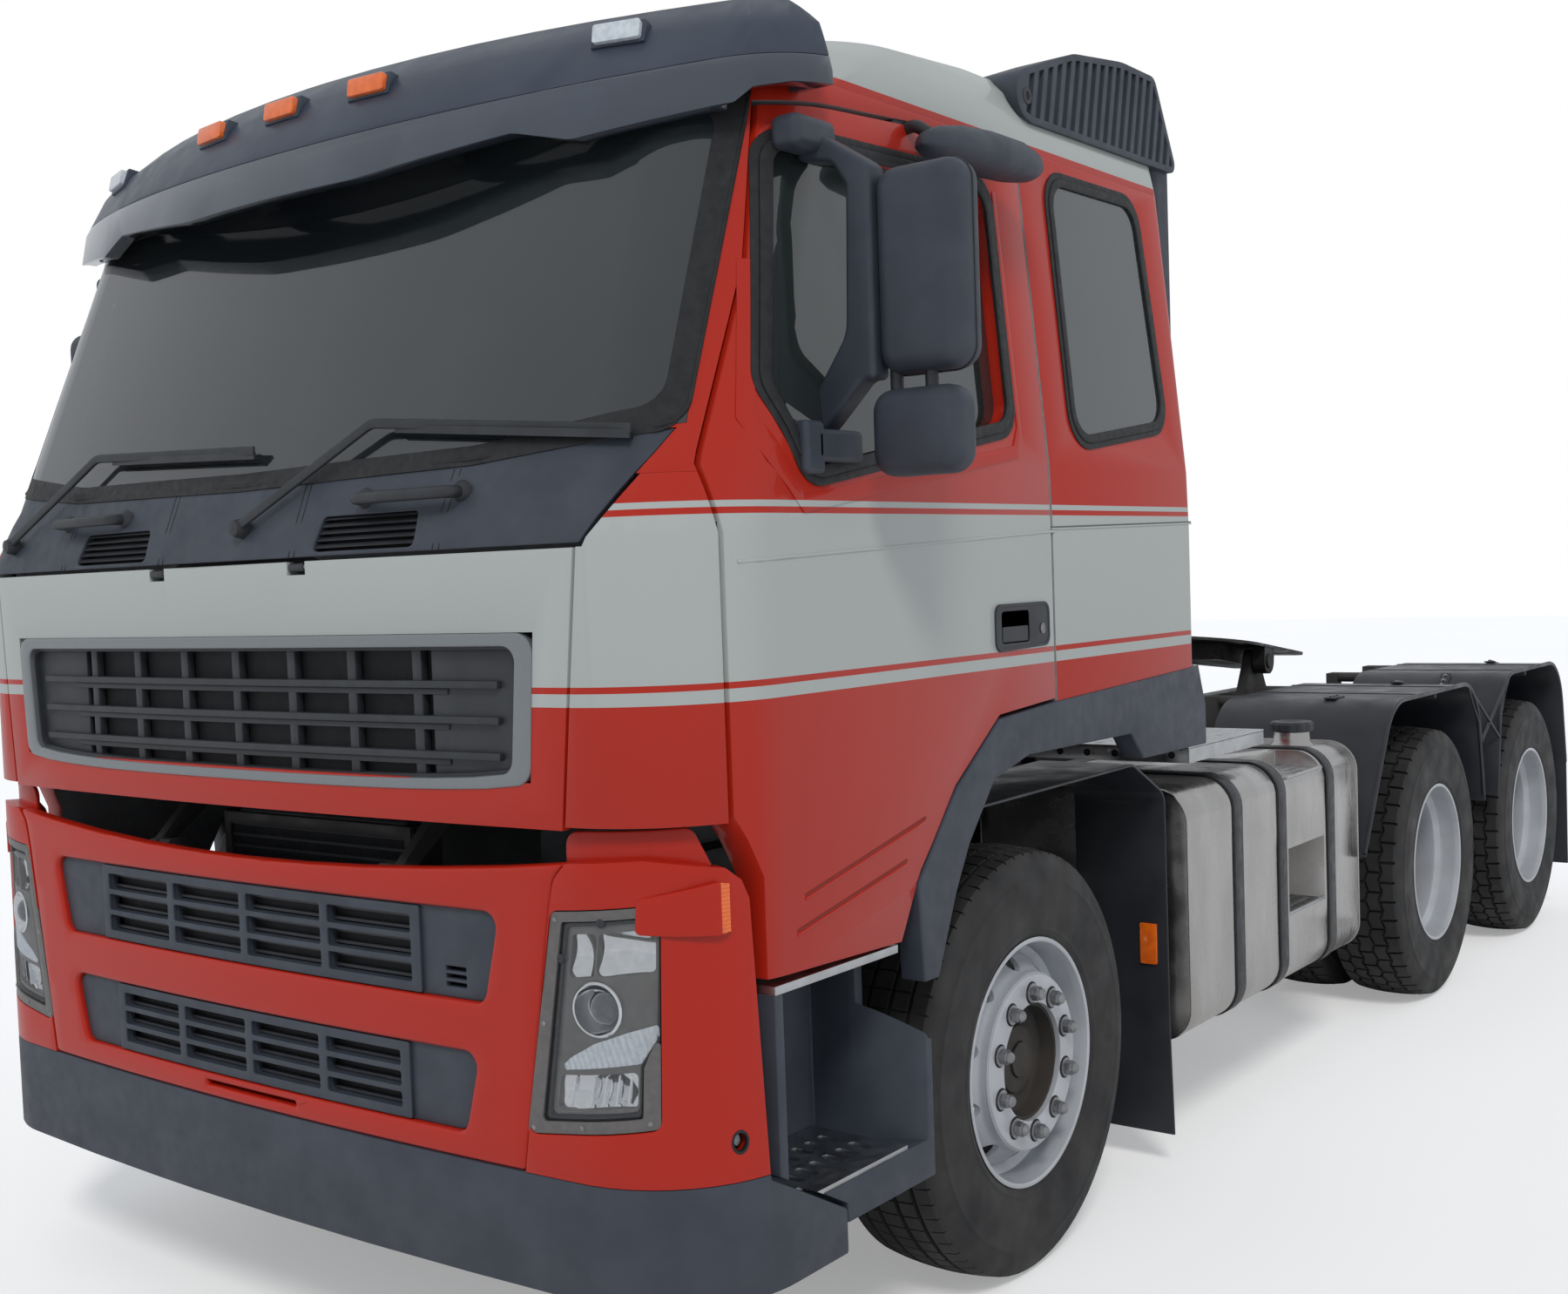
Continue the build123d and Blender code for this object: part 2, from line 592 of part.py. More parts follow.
def make_air_intake():
    """Intake head with slanted ribs on the roof's left rear edge, and its duct behind the cab."""
    head = extrude(Plane.YZ.offset(intake_face - intake_depth) * outline_face(intake_outline, 0.0),
                   intake_depth)
    window = offset(outline_face(intake_outline, 0.0), -16.0)
    field = extrude(Plane.YZ.offset(intake_face - intake_rib_depth) * window, intake_rib_depth + 5.0)
    grooves = None
    for index in range(19):
        foot = 150.0 + index * intake_rib_pitch
        groove = side_prism(((foot, 2760.0), (foot + 70.0, 3060.0), (foot + 96.0, 3060.0),
                             (foot + 26.0, 2760.0)), (intake_face - intake_rib_depth, intake_face + 5.0))
        grooves = groove if grooves is None else grooves + groove
    head -= grooves & field
    duct = block((intake_face - intake_depth, intake_face - 20.0), (cab_rear + seat_gap, cab_rear + 118.0),
                 (1900.0, 2830.0))
    duct = fillet(duct.edges().filter_by(Axis.Z), 30.0)
    body = head + duct
    body -= cab_form(cab_sections, -seat_gap, -seat_gap, -seat_gap)
    body -= cab_form(roof_sections, -seat_gap, -seat_gap, -seat_gap)
    return largest(body)


# ---- front end ----------------------------------------------------------------------
bumper_top = 1172.0
bumper_bottom = 572.0
bumper_back_edge = ((-1500.0, 300.0), (-1500.0, 1300.0), (-1172.0, 1300.0), (-1172.0, 1180.0),
                    (-1130.0, 1120.0), (-1104.0, 590.0), (-1104.0, 300.0))
headlamp_outline = ((836.0, 649.0), (922.0, 1089.0), (1128.0, 1106.0), (1118.0, 684.0))
upper_grille = ((-737.0, 890.0), (-782.0, 1073.0), (782.0, 1073.0), (737.0, 890.0))
lower_grille = ((-673.0, 625.0), (-717.0, 789.0), (717.0, 789.0), (673.0, 625.0))


def make_bumper():
    outline = ((-1300.0, bumper_bottom), (-1300.0, 1166.0), (-1180.0, 1180.0),
               (-905.0, bumper_top), (0.0, 1130.0), (905.0, bumper_top), (1180.0, 1180.0),
               (1300.0, 1166.0), (1300.0, bumper_bottom))
    body = panel(grown(outline, 0.0), panel_back_form)
    body &= side_prism(bumper_back_edge, (-1300.0, 1300.0))
    for opening in (upper_grille, lower_grille):
        body -= front_prism(opening, (-1500.0, -1000.0), 25.0)
    lamp = front_prism(headlamp_outline, (-1500.0, -1100.0), 20.0)
    return body - lamp - other_side(lamp)


def make_bumper_lower():
    ring = outer_form - panel_back_form
    ring &= block((-1300, 1300), (-1500, -860.0), (ground_clearance_skirt, bumper_bottom))
    slope = side_prism(((-1098.0, 560.0), (-800.0, 400.0), (-800.0, 700.0), (-1098.0, 700.0)),
                       (-1300.0, 1300.0))
    return ring - slope


def make_bumper_grilles():
    pieces = []
    for outline, rows in ((upper_grille, 3), (lower_grille, 3)):
        face = offset(outline_face(outline, 25.0), -seat_gap)
        body = panel(face, panel_back_form)
        low = outline[0][1]
        high = outline[1][1]
        height = (high - low - 30.0) / rows
        width = (outline[3][0] * 2 - 60.0) / 4
        for row in range(rows):
            for column in range(4):
                left = -outline[3][0] + 30.0 + column * width + 8.0
                base = low + 15.0 + row * height + 6.0
                body -= block((left, left + width - 16.0), (-1500.0, -1000.0),
                              (base, base + height - 12.0))
        pieces.append(body)
    return pieces


def make_headlamps():
    face = offset(outline_face(headlamp_outline, 20.0), -seat_gap)
    deep_form = cab_form(cab_sections, 110.0, 110.0, 110.0)
    return both_sides(panel(face, deep_form, (-1500.0, -1000.0)))


beam_bottom = 796.0
beam_top = 884.0


def make_crash_beam():
    deep_form = cab_form(cab_sections, panel_depth + 50.0, panel_depth + 50.0, panel_depth + 50.0)
    beam = (panel_back_form - deep_form) & block((-800, 800), (-1500, -1000), (beam_bottom, beam_top))
    horn = block((rail_half_spacing - 90, rail_half_spacing), (-1300.0, rail_front),
                 (beam_bottom, beam_top))
    return beam + (horn & panel_back_form) + other_side(horn & panel_back_form)


# ---- steps and front mudguards --------------------------------------------------------
step_outer = cab_half_width - 3.0
step_inner = 930.0
step_front = -1075.0
step_bottom = 400.0
step_top = 908.0
tread_thickness = 17.0
tread_slot_length = 56.0
tread_slot_width = 22.0
tread_slot_pitch = 48.0
tread_slot_count = 8
tread_slot_first = -1015.0
tread_slot_rows = (1075.0, 1155.0)
sweep_radius = 585.0           # clears the steered front tyre about its kingpin


def make_step_boxes():
    plan = plan_prism(((step_inner, step_front), (step_outer, step_front), (step_outer, -520.0),
                       (step_inner, -520.0)), (step_bottom, step_top))
    swept = Pos(kingpin_offset, 0, 650.0) * Cylinder(sweep_radius, 900.0)
    swept_inner = Pos(kingpin_offset, 0, 650.0) * Cylinder(sweep_radius + 28.0, 900.0)
    body = plan - swept
    well = block((step_inner + 60.0, step_outer + 50.0), (step_front + 26.0, -500.0),
                 (step_bottom + 84.0, step_top + 10.0))
    well -= swept_inner
    body -= well
    body -= side_prism(((-600.0, 780.0), (-600.0, 1000.0), (-400.0, 1000.0), (-400.0, 700.0),
                        (-530.0, 700.0)), (1100.0, outside))
    return both_sides(body - apron_room())


def apron_room():
    """Space of the front apron's side, which the steps stand clear of."""
    return side_prism(((-1500.0, 200.0), (-1500.0, 600.0), (-1088.0, 600.0), (-1088.0, 565.0),
                       (-855.0, 440.0), (-855.0, 200.0)),
                      (cab_half_width - panel_depth - 8.0, outside))


def make_step_treads():
    upper = block((step_inner + 75.0, step_outer - 2.0), (-1072.0, -640.0),
                  (step_top, step_top + tread_thickness))
    lower = block((step_inner + 65.0, step_outer - 3.0), (-1045.0, -625.0),
                  (step_bottom + 84.0, step_bottom + 94.0))
    for x in tread_slot_rows:
        for index in range(tread_slot_count):
            y = tread_slot_first + index * tread_slot_pitch
            slot = extrude(SlotOverall(tread_slot_length, tread_slot_width), 20.0, both=True)
            lower -= Pos(x, y, step_bottom + 89.0) * slot
            upper -= Pos(x, y, step_top + 8.0) * slot
    lower -= apron_room()
    return both_sides(upper) + both_sides(lower)


def make_front_mudguards():
    inner = (905.0, cab_half_width - 66.0)
    sheet = swept_sheet(((-603.0, step_top + 2.0), (-555.0, 1010.0), (-330.0, 1150.0), (640.0, 1162.0),
                         (835.0, 1060.0), (835.0, 400.0), (850.0, 95.0)), 60.0, 8.0, inner)
    return both_sides(sheet)


# ---- frame, axles, driveline ----------------------------------------------------------
def make_rails():
    section = ((0, 0), (rail_flange, 0), (rail_flange, rail_thickness),
               (rail_thickness, rail_thickness), (rail_thickness, rail_height - rail_thickness),
               (rail_flange, rail_height - rail_thickness), (rail_flange, rail_height),
               (0, rail_height))
    points = [(rail_half_spacing - x, rail_bottom + z) for x, z in section]
    rail = front_prism(points, (rail_front, rear_end))
    return both_sides(rail)


# station, bottom edge above the rail's bottom
cross_member_places = (
    (-1010.0, 40.0), (1740.0, 140.0), (2400.0, 40.0), (3885.0, 40.0), (5300.0, 40.0),
)
step_bracket_station = -880.0


def make_cross_members():
    pieces = []
    for station, bottom in cross_member_places:
        member = block((-rail_web_inner, rail_web_inner), (station - 45, station + 45),
                       (rail_bottom + bottom, rail_top - 40))
        member -= block((-rail_web_inner - 1, rail_web_inner + 1), (station - 37, station + 46),
                        (rail_bottom + bottom + 8, rail_top - 48))
        pieces.append(member)
    outrigger = block((rail_half_spacing, step_inner), (step_bracket_station - 40,
                      step_bracket_station + 40), (780.0, 860.0))
    pieces += both_sides(outrigger)
    pieces.append(make_crash_beam())
    return pieces


tilt_pin_end = 446.0


def make_tilt_bearings():
    """Posts at the rails' front with the tilt pins, and the cab's rear rests."""
    profile = ((rail_front, beam_top + seat_gap), (rail_front, rail_top - 30), (-1235.0, 1130.0),
               (-1290.0, 1132.0), (-1312.0, 1110.0), (-1290.0, 1085.0), (-1200.0, 980.0),
               (-1170.0, beam_top + seat_gap))
    post = side_prism(profile, (375.0, 415.0))
    post += cross_cylinder(tilt_pin_radius, (400.0, tilt_pin_end), tilt_axis_y, tilt_axis_z)
    rest = front_prism(((rail_half_spacing, 900.0), (rail_half_spacing, rail_top + 60),
                        (tunnel_half_width + 3, cab_floor_bottom - seat_gap),
                        (tunnel_half_width + 38, cab_floor_bottom - seat_gap),
                        (rail_half_spacing + 50, 900.0)), (700.0, 780.0))
    return both_sides(post) + both_sides(rest)


def make_front_axle():
    half = kingpin_offset
    beam = front_prism(((-half + 60, 560.0), (-half + 170, 560.0), (-650.0, 440.0),
                        (650.0, 440.0), (half - 170, 560.0), (half - 60, 560.0),
                        (half - 60, 480.0), (half - 170, 480.0), (650.0, 350.0),
                        (-650.0, 350.0), (-half + 170, 480.0), (-half + 60, 480.0)),
                       (-45.0, 45.0))
    fists = []
    for sign in (-1, 1):
        fists.append(Pos(sign * half, 0, 520.0) * Cylinder(62.0, 80.0))
    pin = Pos(half, 0, 520.0) * Cylinder(kingpin_radius, 240.0)
    return beam + fists[0] + fists[1] + pin + other_side(pin)


def make_knuckle():
    """Steering knuckle: a yoke over the axle's fist and the wheel spindle."""
    half = kingpin_offset
    yoke = block((half - 60, half + 130), (-65.0, 65.0), (400.0, 640.0))
    yoke -= block((half - 90, half + 75), (-70.0, 70.0), (476.0, 564.0))
    yoke = yoke.solids()[0]
    yoke -= Pos(half, 0, 520.0) * Cylinder(kingpin_radius + running_clearance, 300.0)
    spindle = cross_cylinder(spindle_radius, (half + 120, spindle_end), 0, tyre_radius)
    arm = block((half - 45, half - 15), (60.0, 260.0), (405.0, 440.0))
    return yoke + spindle + arm


def leaf_pack(ends, middle, thickness):
    """Curved pack of leaves in side view, from one end over the middle to the other."""
    arc = ThreePointArc(ends[0], middle, ends[1])
    face = Plane.YZ.offset(spring_inner) * trace(arc, thickness)
    return extrude(face, rail_half_spacing - spring_inner)


def make_springs():
    """Leaf packs with their hangers: front pair, and the inverted pair of the bogie."""
    across = (spring_inner, rail_half_spacing)
    eye = 760.0
    front = leaf_pack(((-eye, 690.0), (eye, 690.0)), (0.0, axle_beam_top + 32.0), 56.0)
    front += block(across, (-90.0, 90.0), (axle_beam_top, axle_beam_top + 80.0))
    for station in (-eye, eye):
        front += block(across, (station - 40, station + 40), (655.0, rail_bottom))
    first, second = axle_stations
    trunnion = (first + second) / 2
    rear = leaf_pack(((first, 622.0), (second, 622.0)), (trunnion, 690.0), 70.0)
    rear += block(across, (trunnion - 110, trunnion + 110), (600.0, rail_bottom))
    for station in axle_stations:
        rear += block(across, (station - 55, station + 55), (tyre_radius + 20, 600.0))
        rear -= cross_cylinder(axle_tube_radius, (0, 500), station, tyre_radius)
    return both_sides(front) + both_sides(rear)


def revolve_wheel(points, middle):
    """Wheel piece: half profile (offset along X, radius) turned about the wheel's axis."""
    face = make_face(Polyline(*points, close=True))
    turned = revolve(Plane.XY * face, Axis.X)
    return Pos(middle, 0, tyre_radius) * turned


def make_tyre(middle, station):
    half = tyre_width / 2
    profile = ((-half + 22, tyre_bore_radius), (-half + 6, rim_flange_radius + 8),
               (-half, 400.0), (-half + 8, tyre_radius - tyre_shoulder),
               (-half + 30, tyre_radius - 12), (-half + 60, tyre_radius),
               (half - 60, tyre_radius), (half - 30, tyre_radius - 12),
               (half - 8, tyre_radius - tyre_shoulder), (half, 400.0),
               (half - 6, rim_flange_radius + 8), (half - 22, tyre_bore_radius))
    return Pos(0, station, 0) * revolve_wheel(profile, middle)


# Half section of the rim: offset from the wheel's middle, radius (tyre side, then inside)
rim_section = (
    (-131.0, 298.0), (-121.5, 289.7), (-60.0, 288.0), (-38.0, 262.0), (38.0, 262.0),
    (60.0, 288.0), (121.5, 289.7), (131.0, 298.0), (131.0, 286.0), (112.0, 276.0),
    (66.0, 274.0), (44.0, 248.0), (-44.0, 248.0), (-66.0, 274.0), (-112.0, 276.0),
    (-131.0, 286.0),
)
disc_thickness = 14.0
disc_bore = 60.0


def make_rim(middle, station, reach):
    """Drop-centre rim with a coned disc whose bolting face lies at reach from its middle."""
    way = 1 if reach > 0 else -1
    depth = abs(reach)
    disc_section = ((36.0, 261.0), (depth - 24.0, 224.0), (depth, 204.0), (depth, disc_bore),
                    (depth - disc_thickness, disc_bore), (depth - disc_thickness, 196.0),
                    (depth - 34.0, 211.0), (20.0, 251.0))
    rim = revolve_wheel(rim_section, middle)
    rim += revolve_wheel([(way * x, radius) for x, radius in disc_section], middle)
    for index in range(hand_hole_count):
        angle = radians((index + 0.5) * 360 / hand_hole_count)
        y = hand_hole_circle / 2 * cos(angle)
        z = tyre_radius + hand_hole_circle / 2 * sin(angle)
        ends = sorted((middle + way * 30.0, middle + way * (depth + 10.0)))
        rim -= cross_cylinder(hand_hole_radius, ends, y, z)
    return Pos(0, station, 0) * rim


front_middle = wheel_track_front / 2
front_disc_reach = 132.0
spindle_radius = 42.0
spindle_end = front_middle + 100.0
hub_cap_radius = 98.0
drive_tube_end = dual_track / 2 + 40.0


def make_front_rim():
    rim = make_rim(front_middle, 0.0, front_disc_reach)
    face = front_middle + front_disc_reach
    rim += cross_cylinder(hub_radius, (front_middle + 26, face + 6), 0, tyre_radius)
    rim += cross_cylinder(hub_cap_radius, (face, face + 40), 0, tyre_radius)
    bore = (front_middle, spindle_end + 0.5)
    return rim - cross_cylinder(spindle_radius + running_clearance, bore, 0, tyre_radius)


def make_drive_rims(station):
    face = dual_track / 2
    outer_middle = face + dual_spacing / 2
    inner_middle = face - dual_spacing / 2
    rims = make_rim(outer_middle, 0.0, -dual_spacing / 2 - 1.0)
    rims += make_rim(inner_middle, 0.0, dual_spacing / 2 + 1.0)
    rims += cross_cylinder(hub_radius, (inner_middle + 40, face + 34), 0, tyre_radius)
    rims += cross_cylinder(hub_cap_radius, (face, face + 78), 0, tyre_radius)
    rims -= cross_cylinder(axle_tube_radius + running_clearance,
                           (inner_middle, drive_tube_end + 0.5), 0, tyre_radius)
    return Pos(0, station, 0) * rims


def make_drive_axles():
    pieces = []
    for station in axle_stations:
        tube = cross_cylinder(axle_tube_radius, (-drive_tube_end, drive_tube_end), 0, tyre_radius)
        bowl = Pos(0, 0, tyre_radius) * Sphere(210.0)
        bowl &= block((-150, 150), (-230, 230), (200, 800))
        pieces.append(Pos(0, station, 0) * (tube + bowl))
    return pieces


def make_engine():
    block_form = side_prism(((-760.0, 620.0), (-760.0, 1330.0), (-640.0, 1440.0), (420.0, 1440.0),
                             (560.0, 1300.0), (560.0, 640.0)), (-330.0, 330.0))
    foot = block((300.0, rail_web_inner), (-260.0, -160.0), (rail_bottom + 60, rail_bottom + 150))
    return block_form + foot + other_side(foot)


def make_radiator():
    return block((-335.0, 335.0), (-1150.0, -1070.0), (560.0, 1190.0))


def make_driveline():
    gearbox = side_prism(((560.0, 660.0), (560.0, 1120.0), (800.0, 1060.0), (1500.0, 980.0),
                          (1500.0, 700.0)), (-240.0, 240.0))
    shaft_start = Vector(0, 1500.0, 850.0)
    shaft_end = Vector(0, wheelbase - 226.0, tyre_radius + 30)
    length = (shaft_end - shaft_start).length
    angle = degrees(atan2(shaft_end.Z - shaft_start.Z, shaft_end.Y - shaft_start.Y))
    middle = (shaft_start + shaft_end) * 0.5
    shaft = Pos(middle.X, middle.Y, middle.Z) * Rot(-90 + angle, 0, 0) * Cylinder(55.0, length)
    return gearbox + shaft


# ---- tank, boxes, mudguards -------------------------------------------------------------
tank_front = 890.0
tank_rear = 2300.0
tank_bottom = 350.0
tank_top = 1065.0
tank_outer = 1220.0
tank_inner = 560.0
tank_corner = 95.0
strap_stations = (1242.0, 1593.0, 2026.0)
strap_width = 60.0
strap_thickness = 5.0


def tank_face(grow):
    face = Rectangle(tank_outer - tank_inner + 2 * grow, tank_top - tank_bottom + 2 * grow)
    face = fillet(face.vertices(), tank_corner + grow)
    return Pos((tank_outer + tank_inner) / 2, (tank_top + tank_bottom) / 2) * face


def make_tank():
    body = extrude(front_plane(tank_rear) * tank_face(0.0), tank_rear - tank_front)
    notch = block((tank_outer - 160, tank_outer + 10), (1650.0, 1970.0), (1010.0, tank_top + 10))
    step = block((tank_outer - 160, tank_outer + 10), (1650.0, 1970.0), (580.0, 790.0))
    return body - notch - step


def make_straps():
    pieces = []
    for station in strap_stations:
        ring = tank_face(strap_thickness) - tank_face(0.0)
        band = extrude(front_plane(station + strap_width / 2) * ring, strap_width)
        bracket = block((rail_half_spacing, tank_inner - strap_thickness),
                        (station - strap_width / 2, station + strap_width / 2),
                        (560.0, rail_top - 30))
        pieces.append(band + bracket)
    return pieces


def make_battery_box():
    body = block((-1220.0, -rail_half_spacing - 60), (900.0, 1560.0), (420.0, 1020.0))
    body = fillet(body.edges().filter_by(Axis.Y), 40.0)
    arm = block((-rail_half_spacing - 60, -rail_half_spacing), (960.0, 1040.0), (780.0, 960.0))
    arm += block((-rail_half_spacing - 60, -rail_half_spacing), (1420.0, 1500.0), (780.0, 960.0))
    return body + arm


def make_silencer():
    body = block((-1220.0, -rail_half_spacing - 60), (1640.0, 2290.0), (400.0, 1020.0))
    body = fillet(body.edges().filter_by(Axis.Y), 90.0)
    arm = block((-rail_half_spacing - 60, -rail_half_spacing), (1900.0, 2000.0), (780.0, 960.0))
    return body + arm


def make_catwalk():
    deck = block((-rail_half_spacing, 1185.0), (990.0, 1561.0), (1150.0, 1175.0))
    legs = []
    for x in (-rail_half_spacing, rail_half_spacing - 60):
        for y in (1000.0, 1500.0):
            legs.append(block((x, x + 60), (y, y + 40), (rail_top, 1150.0)))
    for leg in legs:
        deck += leg
    return deck


guard_inner = 600.0
guard_outer = 1243.0
guard_thickness = 8.0


def make_rear_mudguards():
    first, second = axle_stations
    front_sheet = swept_sheet(((first - 890, 665.0), (first - 560, 1168.0), (first + 500, 1168.0),
                               (first + 590, 677.0)), 230.0, guard_thickness,
                              (guard_inner, guard_outer))
    rear_sheet = swept_sheet(((second - 590, 677.0), (second - 500, 1168.0),
                              (second + 490, 1168.0), (second + 585, 700.0),
                              (second + 595, 210.0)), 230.0, guard_thickness,
                             (guard_inner, guard_outer))
    return both_sides(front_sheet) + both_sides(rear_sheet)


def make_guard_brackets():
    pieces = []
    first, second = axle_stations
    for station in (first - 260.0, first + 250, second - 250, second + 250):
        tube = cross_cylinder(22.0, (440.0, 1150.0), station, 1142.0 - seat_gap)
        post = block((rail_half_spacing, 475.0), (station - 30, station + 30), (860.0, 1160.0))
        pieces += both_sides(tube + post)
    return pieces


# ---- fifth wheel ------------------------------------------------------------------------
fifth_wheel_station = 3560.0
fifth_pivot_height = 1262.0
fifth_plate_thickness = 12.0
kingpin_bore_radius = 25.6
fifth_rest_tilt = 7.7
fifth_plate_top = 68.0
fifth_pin_radius = 30.0


def make_fifth_wheel_base():
    plate = block((-rail_half_spacing, rail_half_spacing),
                  (fifth_wheel_station - 300, fifth_wheel_station + 300),
                  (rail_top, rail_top + 14))
    body = plate
    for sign in (-1, 1):
        ear = side_prism(((-190.0, 0.0), (-40.0, 250.0), (40.0, 250.0), (190.0, 0.0)),
                         (340.0, 380.0), 30.0)
        ear = Pos(0, fifth_wheel_station, rail_top + 14) * ear
        ear += cross_cylinder(48.0, (340.0, 380.0), fifth_wheel_station, fifth_pivot_height)
        ear += cross_cylinder(fifth_pin_radius, (360.0, 446.0), fifth_wheel_station,
                              fifth_pivot_height)
        body += ear if sign > 0 else other_side(ear)
    return body


def make_fifth_wheel():
    """Coupling plate drawn level about its pivot, then tipped back to its rest."""
    nose = Pos(0, -115.0) * Circle(445.0)
    tail = Pos(0, 155.0) * Rectangle(890.0, 550.0)
    plan = nose + fillet(tail.vertices(), 60.0)
    mouth = make_face(Polyline((-kingpin_bore_radius, 0.0), (-190.0, 440.0), (190.0, 440.0),
                               (kingpin_bore_radius, 0.0), close=True))
    mouth += Circle(kingpin_bore_radius)
    body = Pos(0, 0, fifth_plate_top - fifth_plate_thickness) * extrude(plan, fifth_plate_thickness)
    rib = Pos(0, 60.0, 0) * Rectangle(620.0, 560.0)
    body += Pos(0, 0, -10.0) * extrude(rib, fifth_plate_top - fifth_plate_thickness + 10.0)
    for sign in (-1, 1):
        lug = cross_cylinder(54.0, (386.0, 440.0), 0, 0) + block((386, 440), (-54, 54), (0, 60))
        lug = lug if sign > 0 else other_side(lug)
        body += lug
    body -= Pos(0, 0, -50.0) * extrude(mouth, 300.0)
    for sign in (-1, 1):
        bore = cross_cylinder(fifth_pin_radius + running_clearance, (370.0, 460.0), 0, 0)
        body -= bore if sign > 0 else other_side(bore)
    tipped = Rot(-fifth_rest_tilt, 0, 0) * body
    return Pos(0, fifth_wheel_station, fifth_pivot_height) * tipped


# ---- rear of the frame --------------------------------------------------------------------
def make_tail_lamps():
    lamp = block((560.0, 920.0), (5290.0, 5345.0), (700.0, 789.7))
    return both_sides(lamp)


def make_tail_bar():
    bar = block((rail_half_spacing, 940.0), (5285.0, 5335.0), (790.0, 850.0))
    return both_sides(bar)


hood = make_visor()
room = make_cabin_room()
door = make_door()
door_glass = make_door_glass()
mirrors = make_mirrors()
knuckle = make_knuckle()
front_tyre = make_tyre(front_middle, 0.0)
front_rim = make_front_rim()

pieces = {
    "frame_rails": make_rails(),
    "cross_members": make_cross_members() + make_tail_bar(),
    "tilt_bearings": make_tilt_bearings(),
    "front_axle": make_front_axle(),
    "leaf_springs": make_springs(),
    "drive_axles": make_drive_axles(),
    "engine": make_engine(),
    "radiator": make_radiator(),
    "driveline": make_driveline(),
    "bumper": make_bumper(),
    "bumper_apron": make_bumper_lower(),
    "bumper_grilles": make_bumper_grilles(),
    "headlamps": make_headlamps(),
    "step_boxes": make_step_boxes(),
    "step_treads": make_step_treads(),
    "front_mudguards": make_front_mudguards(),
    "fuel_tank": make_tank(),
    "tank_straps": make_straps(),
    "battery_box": make_battery_box(),
    "silencer": make_silencer(),
    "catwalk": make_catwalk(),
    "rear_mudguards": make_rear_mudguards(),
    "mudguard_brackets": make_guard_brackets(),
    "fifth_wheel_base": make_fifth_wheel_base(),
    "fifth_wheel": make_fifth_wheel(),
    "tail_lamps": make_tail_lamps(),
    "cab_shell": make_cab_shell(),
    "cab_roof": make_roof(),
    "windscreen": make_windscreen(),
    "quarter_glass": make_quarter_glass(),
    "corner_panels": make_corner_panels(),
    "cowl": make_cowl(),
    "front_panel": make_front_panel(),
    "grille": make_grille(),
    "visor_hood": make_visor_upper(hood),
    "visor_lip": make_visor_lip(hood),
    "arch_trims": make_trims(),
    "air_intake": make_air_intake(),
    "seats": make_seats(room),
    "dashboard": make_dashboard(room),
}
for side, place in (("left", lambda shape: shape), ("right", other_side)):
    pieces[f"door_{side}"] = place(door)
    pieces[f"door_glass_{side}"] = place(door_glass)
    pieces[f"mirrors_{side}"] = place(mirrors)
    pieces[f"knuckle_{side}"] = place(knuckle)
    pieces[f"tyre_front_{side}"] = place(front_tyre)
    pieces[f"rim_front_{side}"] = place(front_rim)
    for number, station in enumerate(axle_stations, start=1):
        twins = [make_tyre(dual_track / 2 + dual_spacing / 2, station),
                 make_tyre(dual_track / 2 - dual_spacing / 2, station)]
        rims = make_drive_rims(station)
        pieces[f"tyres_drive{number}_{side}"] = [place(tyre) for tyre in twins]
        pieces[f"rims_drive{number}_{side}"] = place(rims)

os.makedirs("parts", exist_ok=True)
for node, shapes in pieces.items():
    save(node, shapes)
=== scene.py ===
"""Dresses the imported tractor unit: paint, glass, rubber, bright metal and the small parts that the frame carries.

Lengths are metres. Every station (y) is counted from the front axle, z from the ground and x from the
middle plane, with the vehicle's left side at +x; place() carries each finished mesh into the frame."""
from math import acos, asin, atan2, cos, hypot, pi, radians, sin, sqrt, tan

import bmesh
import bpy
from mathutils import Matrix, Vector
from mathutils.bvhtree import BVHTree
from mathutils.geometry import delaunay_2d_cdt


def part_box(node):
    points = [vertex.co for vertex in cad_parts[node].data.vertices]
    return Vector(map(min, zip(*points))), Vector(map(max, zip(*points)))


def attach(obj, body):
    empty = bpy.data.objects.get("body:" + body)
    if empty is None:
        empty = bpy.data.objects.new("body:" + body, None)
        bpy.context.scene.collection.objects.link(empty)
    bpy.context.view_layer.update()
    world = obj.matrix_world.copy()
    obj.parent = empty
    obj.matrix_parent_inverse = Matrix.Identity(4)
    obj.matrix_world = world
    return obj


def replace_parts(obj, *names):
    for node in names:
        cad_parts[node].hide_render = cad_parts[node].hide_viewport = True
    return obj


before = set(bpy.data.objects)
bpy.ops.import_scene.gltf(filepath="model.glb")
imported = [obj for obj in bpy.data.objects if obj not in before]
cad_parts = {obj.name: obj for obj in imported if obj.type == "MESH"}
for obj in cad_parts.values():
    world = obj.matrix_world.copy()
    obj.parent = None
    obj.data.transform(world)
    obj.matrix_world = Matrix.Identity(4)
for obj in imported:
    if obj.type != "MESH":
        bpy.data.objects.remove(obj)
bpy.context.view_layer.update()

scene = bpy.context.scene


def middle_of(node):
    """Middle of a frame node's box."""
    low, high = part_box(node)
    return (low + high) / 2


# ---- sizes read from the frame ----
axle_line = middle_of("tyre_front_left").y       # frame y of the front axle
wheel_height = middle_of("tyre_front_left").z
tyre_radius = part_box("tyre_front_left")[1].z / 2
front_tyre_middle = middle_of("tyre_front_left").x
drive_stations = [middle_of(f"tyres_drive{n}_left").y - axle_line for n in (1, 2)]
to_frame = Matrix.Translation((0, axle_line, 0))
cab_rear = 0.925                                 # station of the cab's back wall

